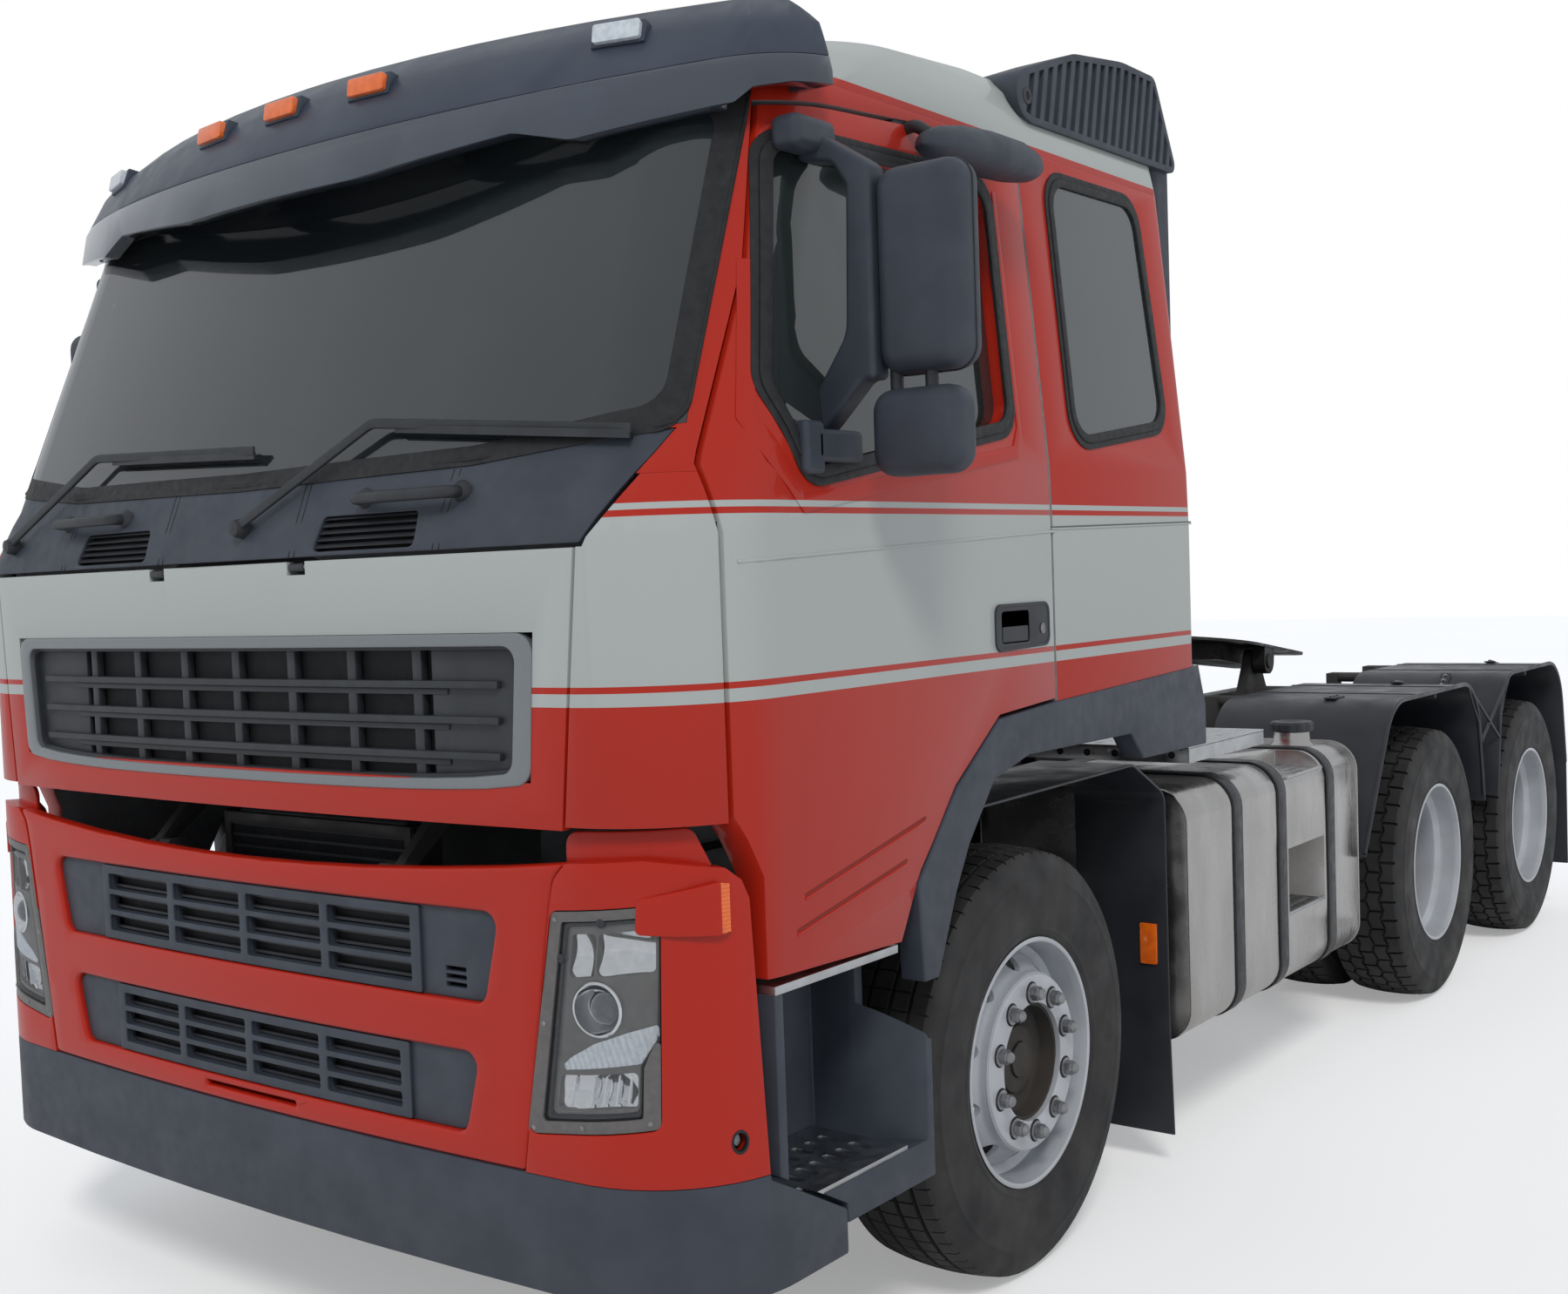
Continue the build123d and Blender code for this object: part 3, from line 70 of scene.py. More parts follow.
# Plan sections of the cab: height, half width, nose station, crown radius, corner radius
cab_sections = (
    (0.330, 1.246, -1.375, 12.4, 0.30),
    (1.790, 1.246, -1.375, 12.4, 0.30),
    (1.945, 1.242, -1.314, 7.20, 0.30),
    (2.706, 1.174, -1.020, 6.75, 0.29),
    (2.790, 1.157, -0.850, 6.75, 0.29),
    (2.850, 1.130, -0.690, 6.75, 0.29),
    (2.892, 1.088, -0.330, 6.75, 0.30),
    (2.918, 1.030, 0.060, 6.75, 0.30),
    (2.935, 0.940, 0.400, 6.75, 0.28),
)


def cab_section(z):
    """Half width, nose, crown radius and corner radius of the cab at a height."""
    below = cab_sections[0]
    for above in cab_sections[1:]:
        if z <= above[0]:
            break
        below = above
    share = 0.0 if above is below else (z - below[0]) / (above[0] - below[0])
    return [a + (b - a) * share for a, b in zip(below[1:], above[1:])]


def corner_centre(z):
    """Centre (x, y) of the cab's rounded front corner at a height, with its radius."""
    half, nose, crown, corner = cab_section(z)
    x = half - corner
    y = nose + crown - sqrt((crown - corner) ** 2 - x ** 2)
    return x, y, corner


def front_point(x, z, depth=0.0):
    """Point of the cab's front at x and z; depth goes inwards, square to the plan outline."""
    half, nose, crown, corner = cab_section(z)
    cx, cy, corner = corner_centre(z)
    flat = crown * cx / (crown - corner)
    side = 1 if x >= 0 else -1
    across = min(abs(x), half - 0.0005)
    if across <= flat:
        angle = asin(across / crown)
        y = nose + crown - crown * cos(angle)
    else:
        angle = asin(min(1.0, (across - cx) / corner))
        y = cy - corner * cos(angle)
    return Vector((side * (across - depth * sin(angle)), y + depth * cos(angle), z))


def wrap_point(u, z, depth=0.0):
    """Point of the cab's outline a length u from the middle plane, measured along the outline."""
    half, nose, crown, corner = cab_section(z)
    cx, cy, corner = corner_centre(z)
    turn = asin(cx / (crown - corner))
    side = 1 if u >= 0 else -1
    length = abs(u)
    if length <= crown * turn:
        angle = length / crown
        x, y = crown * sin(angle), nose + crown - crown * cos(angle)
    elif length <= crown * turn + corner * (pi / 2 - turn):
        angle = turn + (length - crown * turn) / corner
        x, y = cx + corner * sin(angle), cy - corner * cos(angle)
    else:
        angle = pi / 2
        x, y = half, cy + length - crown * turn - corner * (pi / 2 - turn)
    return Vector((side * (x - depth * sin(angle)), y + depth * cos(angle), z))


def wrap_length(z, x=None, y=None):
    """Outline length from the middle plane to the place at x (front) or y (side)."""
    crown = cab_section(z)[2]
    cx, cy, corner = corner_centre(z)
    turn = asin(cx / (crown - corner))
    if y is not None and y >= cy:
        return crown * turn + corner * (pi / 2 - turn) + y - cy
    if y is not None:
        return crown * turn + corner * (acos((cy - y) / corner) - turn) if y > cy - corner * cos(turn) else 0.0
    if x <= crown * sin(turn):
        return crown * asin(x / crown)
    return crown * turn + corner * (asin((x - cx) / corner) - turn)


def side_point(y, z, depth=0.0):
    """Point of the cab's left side at a station and height; depth goes inwards."""
    half = cab_section(z)[0]
    cx, cy, corner = corner_centre(z)
    if y >= cy:
        return Vector((half - depth, y, z))
    angle = asin(max(-1.0, (cy - y) / corner))
    reach = corner - depth
    return Vector((cx + reach * cos(angle), cy - reach * sin(angle), z))


# ---- making meshes ----
def place(name, mesh, paint, body, slot=None, sharp=35):
    """Object from a mesh made in vehicle stations; it rides on its body with its place in its mesh."""
    mesh.name = name
    mesh.transform(to_frame)
    for material in paint if isinstance(paint, (list, tuple)) else [paint]:
        mesh.materials.append(material)
    for face in mesh.polygons:
        face.use_smooth = True
    mesh.set_sharp_from_angle(angle=radians(sharp))
    piece = bpy.data.objects.new(name, mesh)
    scene.collection.objects.link(piece)
    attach(piece, body)
    return piece


def closed(bm, merge=1e-5):
    """The same bmesh, its doubled corners merged and its faces turned outwards."""
    bmesh.ops.remove_doubles(bm, verts=bm.verts, dist=merge)
    bmesh.ops.recalc_face_normals(bm, faces=bm.faces)
    return bm


def as_mesh(bm):
    """Mesh from a bmesh, which is freed."""
    mesh = bpy.data.meshes.new("made")
    bm.to_mesh(mesh)
    bm.free()
    return mesh


def joined(*parts):
    """One mesh from several bmeshes."""
    whole = bmesh.new()
    for part in parts:
        mesh = as_mesh(part)
        whole.from_mesh(mesh)
        bpy.data.meshes.remove(mesh)
    return whole


def moved(bm, matrix):
    """The same bmesh, carried by a matrix."""
    bmesh.ops.transform(bm, matrix=matrix, verts=bm.verts)
    return bm


def finished(mesh, *modifiers):
    """Mesh with modifiers applied; each is (kind, {setting: value})."""
    carrier = bpy.data.objects.new("carrier", mesh)
    scene.collection.objects.link(carrier)
    for kind, settings in modifiers:
        modifier = carrier.modifiers.new(kind, kind)
        for key, value in settings.items():
            setattr(modifier, key, value)
    bpy.context.view_layer.update()
    evaluated = carrier.evaluated_get(bpy.context.evaluated_depsgraph_get())
    result = bpy.data.meshes.new_from_object(evaluated)
    bpy.data.objects.remove(carrier)
    return result


def rounded(part, width, segments=2, angle=30):
    """Mesh of a part (bmesh or mesh) with the edges sharper than the angle rounded."""
    mesh = as_mesh(part) if isinstance(part, bmesh.types.BMesh) else part
    return finished(mesh, ("BEVEL", dict(width=width, segments=segments, limit_method="ANGLE",
                                         angle_limit=radians(angle), use_clamp_overlap=True)))


def rect(low, high):
    """Corners of a rectangle between two of its corners."""
    return [(low[0], low[1]), (high[0], low[1]), (high[0], high[1]), (low[0], high[1])]


def oval(middle, reach, count):
    """Closed outline round a middle, with its reach along both axes."""
    turns = [2 * pi * i / count for i in range(count)]
    return [(middle[0] + reach[0] * cos(turn), middle[1] + reach[1] * sin(turn)) for turn in turns]


def bow(points, radius, steps=6, loop=True):
    """Polyline with each corner rounded; a corner's own radius may follow as its third value."""
    out = []
    count = len(points)
    for index, point in enumerate(points):
        here = Vector(point[:2])
        if not loop and index in (0, count - 1):
            out.append(here)
            continue
        before, after = Vector(points[index - 1][:2]), Vector(points[(index + 1) % count][:2])
        into, out_of = (before - here), (after - here)
        size = point[2] if len(point) > 2 else radius
        half = into.angle(out_of) / 2
        if size <= 0 or half > pi / 2 - 0.01:
            out.append(here)
            continue
        back = min(size / tan(half), into.length * 0.48, out_of.length * 0.48)
        size = back * tan(half)
        start, end = here + into.normalized() * back, here + out_of.normalized() * back
        centre = here + (into.normalized() + out_of.normalized()).normalized() * (size / sin(half))
        a, b = start - centre, end - centre
        turn = atan2(a.x * b.y - a.y * b.x, a.dot(b))
        for step in range(steps + 1):
            spin = Matrix.Rotation(turn * step / steps, 2)
            out.append(centre + spin @ a)
    return out


def near_outline(point, loops, reach):
    """Whether a place lies nearer than reach to one of the outlines."""
    for loop in loops:
        for index, start in enumerate(loop):
            end = loop[(index + 1) % len(loop)]
            along = end - start
            length = along.length_squared
            share = 0.0 if length == 0 else max(0.0, min(1.0, (point - start).dot(along) / length))
            if (start + along * share - point).length < reach:
                return True
    return False


def within(x, y, loop):
    """Whether a place is inside a closed outline."""
    inside = False
    before = loop[-1]
    for corner in loop:
        if (corner.y > y) != (before.y > y):
            if x < (before.x - corner.x) * (y - corner.y) / (before.y - corner.y) + corner.x:
                inside = not inside
        before = corner
    return inside


def spaced(loop, reach):
    """Loop with its long edges divided."""
    out = []
    for index, start in enumerate(loop):
        end = loop[(index + 1) % len(loop)]
        parts = max(1, int((end - start).length / reach))
        out += [start + (end - start) * part / parts for part in range(parts)]
    return out


def skin(outer, holes, surface, depth, reach=0.04):
    """Panel cut from an outline with holes and laid on a surface(u, v, depth), as a closed shell."""
    loops = [spaced([Vector(p) for p in loop], reach) for loop in [outer, *holes]]
    points, edges = [], []
    for loop in loops:
        first = len(points)
        points += loop
        edges += [(first + i, first + (i + 1) % len(loop)) for i in range(len(loop))]
    low = Vector((min(p.x for p in loops[0]), min(p.y for p in loops[0])))
    high = Vector((max(p.x for p in loops[0]), max(p.y for p in loops[0])))
    size = high - low
    columns, rows = max(1, round(size.x / reach)), max(1, round(size.y / reach))
    for i in range(1, columns):
        for j in range(1, rows):
            point = low + Vector((size.x * i / columns, size.y * j / rows))
            if not near_outline(point, loops, reach * 0.45):
                points.append(point)
    flat, _, faces, *_ = delaunay_2d_cdt(points, edges, [], 0, 1e-7)

    def on_panel(face):
        x, y = sum(flat[i].x for i in face) / 3, sum(flat[i].y for i in face) / 3
        return within(x, y, loops[0]) and not any(within(x, y, loop) for loop in loops[1:])
    faces = [face for face in faces if on_panel(face)]
    bm = bmesh.new()
    layers = [[bm.verts.new(surface(p.x, p.y, d)) for p in flat] for d in (0.0, depth)]
    border = {}
    for face in faces:
        bm.faces.new([layers[0][i] for i in face])
        bm.faces.new([layers[1][i] for i in reversed(face)])
        for i, start in enumerate(face):
            end = face[(i + 1) % len(face)]
            if border.pop((end, start), None) is None:
                border[(start, end)] = True
    for start, end in border:
        bm.faces.new((layers[0][end], layers[0][start], layers[1][start], layers[1][end]))
    for corner in [v for v in bm.verts if not v.link_faces]:
        bm.verts.remove(corner)
    bmesh.ops.recalc_face_normals(bm, faces=bm.faces)
    return bm


def strip(rings, ends=True, loop=True):
    """Skin through rings of equal count."""
    bm = bmesh.new()
    rows = [[bm.verts.new(p) for p in ring] for ring in rings]
    count = len(rows[0])
    for low, high in zip(rows, rows[1:]):
        for i in range(count if loop else count - 1):
            j = (i + 1) % count
            bm.faces.new((low[i], low[j], high[j], high[i]))
    if ends and loop:
        bm.faces.new(list(reversed(rows[0])))
        bm.faces.new(rows[-1])
    return bm


def turned(profile, centre, axis="X", steps=64, loop=True):
    """Profile of (along, radius) turned about an axis through centre."""
    rings = []
    for step in range(steps):
        angle = 2 * pi * step / steps
        ring = []
        for along, radius in profile:
            a, b = radius * cos(angle), radius * sin(angle)
            offset = {"X": (along, a, b), "Y": (a, along, b), "Z": (a, b, along)}[axis]
            ring.append(Vector(centre) + Vector(offset))
        rings.append(ring)
    rings.append(rings[0])
    return closed(strip(rings, ends=False, loop=loop))


def along(path, section, loop=False, up=(0, 0, 1)):
    """Section of (side, up) points carried along a path of points."""
    path = [Vector(p) for p in path]
    rings = []
    up = Vector(up)
    count = len(path)
    for index, point in enumerate(path):
        before = path[index - 1] if index or loop else path[0]
        after = path[(index + 1) % count] if index < count - 1 or loop else path[-1]
        ahead = (after - before).normalized()
        side = ahead.cross(up)
        if side.length < 1e-4:
            side = ahead.cross(Vector((1, 0, 0)))
        side.normalize()
        lift = side.cross(ahead)
        rings.append([point + side * a + lift * b for a, b in section])
    if loop:
        rings.append(rings[0])
    return closed(strip(rings, ends=not loop))


def ring_section(radius, steps=10):
    return oval((0, 0), (radius, radius), steps)


def tube(path, radius, steps=10):
    """Round bar along a path."""
    return along(path, ring_section(radius, steps))


def bent(points, radius, steps=6):
    """Path of 3-D points with its corners rounded."""
    points = [Vector(p) for p in points]
    out = [points[0]]
    for before, here, after in zip(points, points[1:], points[2:]):
        into, out_of = before - here, after - here
        back = min(radius / tan(into.angle(out_of) / 2), into.length * 0.49, out_of.length * 0.49)
        start, end = here + into.normalized() * back, here + out_of.normalized() * back
        for step in range(steps + 1):
            t = step / steps
            out.append(start * (1 - t) ** 2 + here * 2 * t * (1 - t) + end * t * t)
    return out + [points[-1]]


def crate(low, high, radius=0.0, steps=3, upright=(0, 1, 2)):
    """Box between two corners; its edges along the last axis of upright take the radius."""
    low, high = Vector(low), Vector(high)
    u, v, w = upright
    corners = rect((low[u], low[v]), (high[u], high[v]))
    loop = bow(corners, radius, steps) if radius else [Vector(c) for c in corners]
    rings = []
    for level in (low[w], high[w]):
        ring = []
        for point in loop:
            corner = Vector((0.0, 0.0, 0.0))
            corner[u], corner[v], corner[w] = point.x, point.y, level
            ring.append(corner)
        rings.append(ring)
    return closed(strip(rings))


def prism(outline, low, high, plane="YZ"):
    """Flat outline carried between two values of the third axis."""
    def corner(point, level):
        return Vector((level, point[0], point[1]) if plane == "YZ" else (point[0], level, point[1]))
    return closed(strip([[corner(point, level) for point in outline] for level in (low, high)]))


def frame_copy(node, width=0.003, segments=2, sharp=30):
    """Merged copy of a frame node's mesh with its hard edges rounded, back in vehicle stations."""
    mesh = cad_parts[node].data.copy()
    mesh.materials.clear()
    mesh.transform(to_frame.inverted())
    bm = bmesh.new()
    bm.from_mesh(mesh)
    bpy.data.meshes.remove(mesh)
    bmesh.ops.remove_doubles(bm, verts=bm.verts, dist=2e-5)
    bmesh.ops.dissolve_limit(bm, angle_limit=radians(1.0), verts=bm.verts, edges=bm.edges,
                             delimit={"NORMAL"})
    return rounded(bm, width, segments, sharp) if width else as_mesh(bm)


def softened(node, paint, body, width=0.003, sharp=30, slot=None):
    """Stands for a frame node with its own shape, hard edges rounded."""
    piece = place(node + "_finished", frame_copy(node, width), paint, body, slot, sharp)
    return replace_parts(piece, node)


# ---- finishes ----
class Finish:
    """A material with one shader; its patterns read Object coordinates."""

    def __init__(self, colour, roughness, metallic=0.0, **more):
        self.material = bpy.data.materials.new("finish")
        self.material.use_nodes = True
        self.tree = self.material.node_tree
        self.shader = self.tree.nodes["Principled BSDF"]
        self.place = self.tree.nodes.new("ShaderNodeTexCoord").outputs["Object"]
        self.colour = colour
        self.set("Base Color", (*colour, 1.0))
        self.set("Roughness", roughness)
        self.set("Metallic", metallic)
        for key, value in more.items():
            self.set(key.replace("_", " "), value)

    def named(self, name):
        """The finished material under its name."""
        self.material.name = name
        return self.material

    def set(self, socket, value):
        self.shader.inputs[socket].default_value = value

    def node(self, kind, values=(), **settings):
        """Shader node with its input values (plain or linked) and its settings."""
        made = self.tree.nodes.new("ShaderNode" + kind)
        for key, value in settings.items():
            setattr(made, key, value)
        for key, value in dict(values).items():
            if isinstance(value, bpy.types.NodeSocket):
                self.tree.links.new(value, made.inputs[key])
            else:
                made.inputs[key].default_value = value
        return made

    def noise(self, scale, detail=3.0, stretch=(1, 1, 1)):
        """Noise pattern on Object coordinates, as a value socket."""
        place = self.place
        if stretch != (1, 1, 1):
            place = self.node("Mapping", {"Vector": place, "Scale": stretch}).outputs[0]
        return self.node("TexNoise", {"Vector": place, "Scale": scale, "Detail": detail}).outputs["Fac"]

    def between(self, fac, low, high):
        """Value from low to high as a pattern goes from its dark to its light parts."""
        made = self.node("MapRange", {"Value": fac, "From Min": 0.3, "From Max": 0.7,
                                      "To Min": low, "To Max": high})
        return made.outputs[0]

    def mottle(self, other, scale, amount=1.0, detail=4.0, stretch=(1, 1, 1)):
        """Colour drifting towards another one."""
        fac = self.between(self.noise(scale, detail, stretch), 0.0, amount)
        mixed = self.mixed(fac, (*self.colour, 1.0), (*other, 1.0))
        self.tree.links.new(mixed, self.shader.inputs["Base Color"])
        return self

    def mixed(self, fac, low, high):
        """Colour between two (plain or linked), as a socket."""
        made = self.tree.nodes.new("ShaderNodeMix")
        made.data_type = "RGBA"
        self.tree.links.new(fac, made.inputs[0])
        for socket, value in ((made.inputs[6], low), (made.inputs[7], high)):
            if isinstance(value, bpy.types.NodeSocket):
                self.tree.links.new(value, socket)
            else:
                socket.default_value = value
        return made.outputs[2]

    def worn(self, low, high, scale, stretch=(1, 1, 1)):
        """Roughness that varies."""
        value = self.between(self.noise(scale, 4.0, stretch), low, high)
        self.tree.links.new(value, self.shader.inputs["Roughness"])
        return self

    def grained(self, scale, strength, distance=0.0005, detail=2.0, stretch=(1, 1, 1)):
        """Fine relief."""
        bump = self.node("Bump", {"Height": self.noise(scale, detail, stretch), "Strength": strength,
                                  "Distance": distance})
        self.tree.links.new(bump.outputs[0], self.shader.inputs["Normal"])
        return self

    def banded(self, stops, top):
        """Level bands from (height where a band starts, its colour) pairs, as a colour socket."""
        height = self.node("SeparateXYZ", {"Vector": self.place}).outputs["Z"]
        share = self.node("MapRange", {"Value": height, "From Min": 0.0, "From Max": top}).outputs[0]
        ramp = self.node("ValToRGB", {"Fac": share})
        ramp.color_ramp.interpolation = "CONSTANT"
        elements = ramp.color_ramp.elements
        while len(elements) > 1:
            elements.remove(elements[-1])
        for index, (start, colour) in enumerate(stops):
            element = elements[0] if index == 0 else elements.new(start / top)
            element.position = start / top
            element.color = (*colour, 1.0)
        return ramp.outputs["Color"]


ORANGE = (0.41, 0.013, 0.003)
SILVER = (0.40, 0.43, 0.415)
STRIPES = ((0.0, ORANGE), (1.471, SILVER), (1.492, ORANGE), (1.508, SILVER), (1.813, ORANGE),
           (1.828, SILVER), (1.850, ORANGE), (2.716, SILVER))   # height where each band starts
STRIPES_TOP = 3.2
FLAKE = (0.16, 0.09, 0.06, 1.0)


def coated_paint():
    """Orange base under a thin clear coat, with its faint orange-peel relief."""
    made = Finish(ORANGE, 0.42, 0.0, Coat_Weight=0.40, Coat_Roughness=0.05, Specular_IOR_Level=0.2)
    return made.grained(160.0, 0.035, 0.0006, 1.0)


def cab_paint():
    """The cab's orange and silver bands, lightly flaked."""
    made = coated_paint()
    flake = made.between(made.noise(900.0, 1.0), 0.0, 0.10)
    shaded = made.mixed(flake, made.banded(STRIPES, STRIPES_TOP), FLAKE)
    made.tree.links.new(shaded, made.shader.inputs["Base Color"])
    return made


def made_finishes():
    """All the finishes, by name."""
    made = {
        "cab_paint": cab_paint(),
        "orange_paint": coated_paint().mottle((0.38, 0.015, 0.004), 900.0, 0.5, 1.0),
        "dark_plastic": Finish((0.030, 0.036, 0.050), 0.52).mottle(
            (0.043, 0.050, 0.066), 9.0).worn(0.45, 0.60, 24.0).grained(620.0, 0.35, 0.0004),
        "visor_plastic": Finish((0.030, 0.040, 0.060), 0.36).mottle(
            (0.042, 0.054, 0.078), 5.0).worn(0.30, 0.42, 14.0).grained(700.0, 0.16, 0.0003),
        "smoked_acrylic": Finish((0.030, 0.040, 0.058), 0.10, Coat_Weight=1.0,
                                 Coat_Roughness=0.03, Alpha=0.92).mottle((0.048, 0.062, 0.085), 4.0),
        "deep_black": Finish((0.006, 0.006, 0.007), 0.75).mottle(
            (0.012, 0.012, 0.013), 30.0).grained(200.0, 0.2),
        "slat_plastic": Finish((0.022, 0.024, 0.028), 0.48).mottle(
            (0.032, 0.035, 0.040), 18.0).grained(500.0, 0.25, 0.0003),
        "seal_rubber": Finish((0.010, 0.010, 0.011), 0.62).mottle(
            (0.018, 0.018, 0.019), 40.0).worn(0.52, 0.70, 60.0).grained(900.0, 0.2, 0.0002),
        "grille_metal": Finish((0.20, 0.215, 0.225), 0.34, 0.55, Coat_Weight=0.4,
                               Coat_Roughness=0.1).mottle((0.26, 0.275, 0.285), 700.0, 0.6, 1.0).worn(
                                   0.30, 0.40, 30.0).grained(900.0, 0.1, 0.0002),
        "frame_paint": Finish((0.020, 0.021, 0.023), 0.5).mottle(
            (0.050, 0.047, 0.043), 6.0, 0.8).worn(0.40, 0.75, 11.0).grained(260.0, 0.3, 0.0005),
        "cast_iron": Finish((0.030, 0.029, 0.028), 0.62, 0.3).mottle(
            (0.075, 0.062, 0.052), 7.0, 0.8).worn(0.5, 0.8, 13.0).grained(140.0, 0.55, 0.0012),
        "spring_steel": Finish((0.018, 0.018, 0.020), 0.5, 0.2).mottle(
            (0.055, 0.045, 0.038), 12.0, 0.7).worn(0.4, 0.7, 20.0).grained(220.0, 0.3),
        "wheel_silver": Finish((0.50, 0.52, 0.55), 0.36, 0.35, Coat_Weight=0.3,
                               Coat_Roughness=0.15).mottle((0.40, 0.41, 0.43), 8.0, 0.8).worn(
                                   0.30, 0.46, 16.0).grained(300.0, 0.12, 0.0004),
        "bolt_steel": Finish((0.36, 0.36, 0.37), 0.34, 0.9).mottle(
            (0.24, 0.24, 0.25), 60.0).worn(0.26, 0.48, 90.0).grained(600.0, 0.15, 0.0002),
        "tyre_rubber": Finish((0.013, 0.013, 0.014), 0.66).mottle(
            (0.036, 0.034, 0.032), 5.0, 0.75, 6.0).worn(0.55, 0.82, 12.0).grained(420.0, 0.3, 0.0006),
        "tank_aluminium": Finish((0.56, 0.545, 0.53), 0.24, 1.0).mottle(
            (0.44, 0.42, 0.40), 3.0, 0.8, 5.0, (1, 3, 1)).worn(0.16, 0.36, 5.0, (2, 30, 2)).grained(
                60.0, 0.06, 0.0005, 3.0, (1, 30, 30)),
        "tread_aluminium": Finish((0.62, 0.63, 0.64), 0.32, 1.0).mottle(
            (0.46, 0.46, 0.46), 14.0, 0.8).worn(0.24, 0.46, 22.0).grained(300.0, 0.2, 0.0004),
        "strap_paint": Finish((0.014, 0.015, 0.018), 0.4).mottle(
            (0.030, 0.030, 0.032), 14.0).worn(0.34, 0.54, 30.0).grained(400.0, 0.15, 0.0003),
        "guard_plastic": Finish((0.012, 0.013, 0.017), 0.38).mottle(
            (0.026, 0.028, 0.034), 5.0, 0.9).worn(0.28, 0.50, 9.0).grained(500.0, 0.2, 0.0004),
        "flap_rubber": Finish((0.05, 0.05, 0.052), 0.7).mottle(
            (0.12, 0.12, 0.12), 7.0, 0.8).grained(300.0, 0.3, 0.0004),
        "coupling_black": Finish((0.010, 0.010, 0.011), 0.34, 0.2).mottle(
            (0.030, 0.028, 0.025), 8.0, 0.9).worn(0.18, 0.60, 10.0).grained(90.0, 0.35, 0.0012),
        "mirror_glass": Finish((0.80, 0.82, 0.84), 0.03, 1.0).mottle(
            (0.74, 0.77, 0.80), 2.0),
        "seat_cloth": Finish((0.070, 0.078, 0.092), 0.9, Sheen_Weight=0.3).mottle(
            (0.11, 0.12, 0.14), 160.0, 1.0, 2.0).grained(900.0, 0.5, 0.0008),
        "dash_plastic": Finish((0.055, 0.060, 0.068), 0.55).mottle(
            (0.075, 0.080, 0.090), 10.0).grained(600.0, 0.3, 0.0004),
        "lining_cloth": Finish((0.24, 0.25, 0.26), 0.85).mottle(
            (0.30, 0.31, 0.32), 30.0).grained(500.0, 0.3, 0.0006),
        "engine_iron": Finish((0.10, 0.11, 0.12), 0.55, 0.4).mottle(
            (0.055, 0.052, 0.05), 5.0).worn(0.45, 0.7, 9.0).grained(120.0, 0.4, 0.001),
        "lamp_chrome": Finish((0.88, 0.89, 0.90), 0.06, 1.0).mottle(
            (0.70, 0.72, 0.75), 60.0, 0.6),
        "orange_shadow": Finish((0.20, 0.012, 0.004), 0.6).mottle((0.16, 0.010, 0.003), 60.0),
        "paint_shadow": Finish((0.12, 0.125, 0.12), 0.6).mottle((0.10, 0.10, 0.10), 60.0),
        "projector_glass": Finish((0.02, 0.025, 0.03), 0.02, Coat_Weight=1.0,
                                  Coat_Roughness=0.01, Specular_IOR_Level=1.0).mottle(
                                      (0.05, 0.06, 0.07), 30.0),
        "lamp_grey": Finish((0.155, 0.145, 0.14), 0.38, 0.35).mottle(
            (0.125, 0.118, 0.115), 60.0).grained(400.0, 0.12, 0.0003),
        "amber_lens": Finish((0.85, 0.16, 0.01), 0.14, Coat_Weight=1.0,
                             Coat_Roughness=0.04).mottle((0.62, 0.09, 0.01), 50.0, 0.7),
        "red_lens": Finish((0.42, 0.012, 0.010), 0.14, Coat_Weight=1.0,
                           Coat_Roughness=0.04).mottle((0.28, 0.008, 0.008), 50.0, 0.7),
        "clear_lens": Finish((0.20, 0.22, 0.23), 0.04, Alpha=0.10, Coat_Weight=1.0,
                             Coat_Roughness=0.02).mottle((0.16, 0.18, 0.19), 20.0),
        "white_lens": Finish((0.62, 0.66, 0.70), 0.12, Coat_Weight=1.0,
                             Coat_Roughness=0.04).mottle((0.42, 0.47, 0.53), 80.0, 0.8),
        "tinted_glass": Finish((0.010, 0.013, 0.015), 0.03, Alpha=0.80,
                               Coat_Weight=1.0, Coat_Roughness=0.02,
                               Specular_IOR_Level=0.8).mottle((0.018, 0.024, 0.026), 1.5),
        "side_glass": Finish((0.020, 0.026, 0.026), 0.03, Alpha=0.84,
                             Coat_Weight=1.0, Coat_Roughness=0.02,
                             Specular_IOR_Level=0.8).mottle((0.030, 0.038, 0.038), 1.5),
    }
    return {name: finish.named(name) for name, finish in made.items()}


finish = made_finishes()


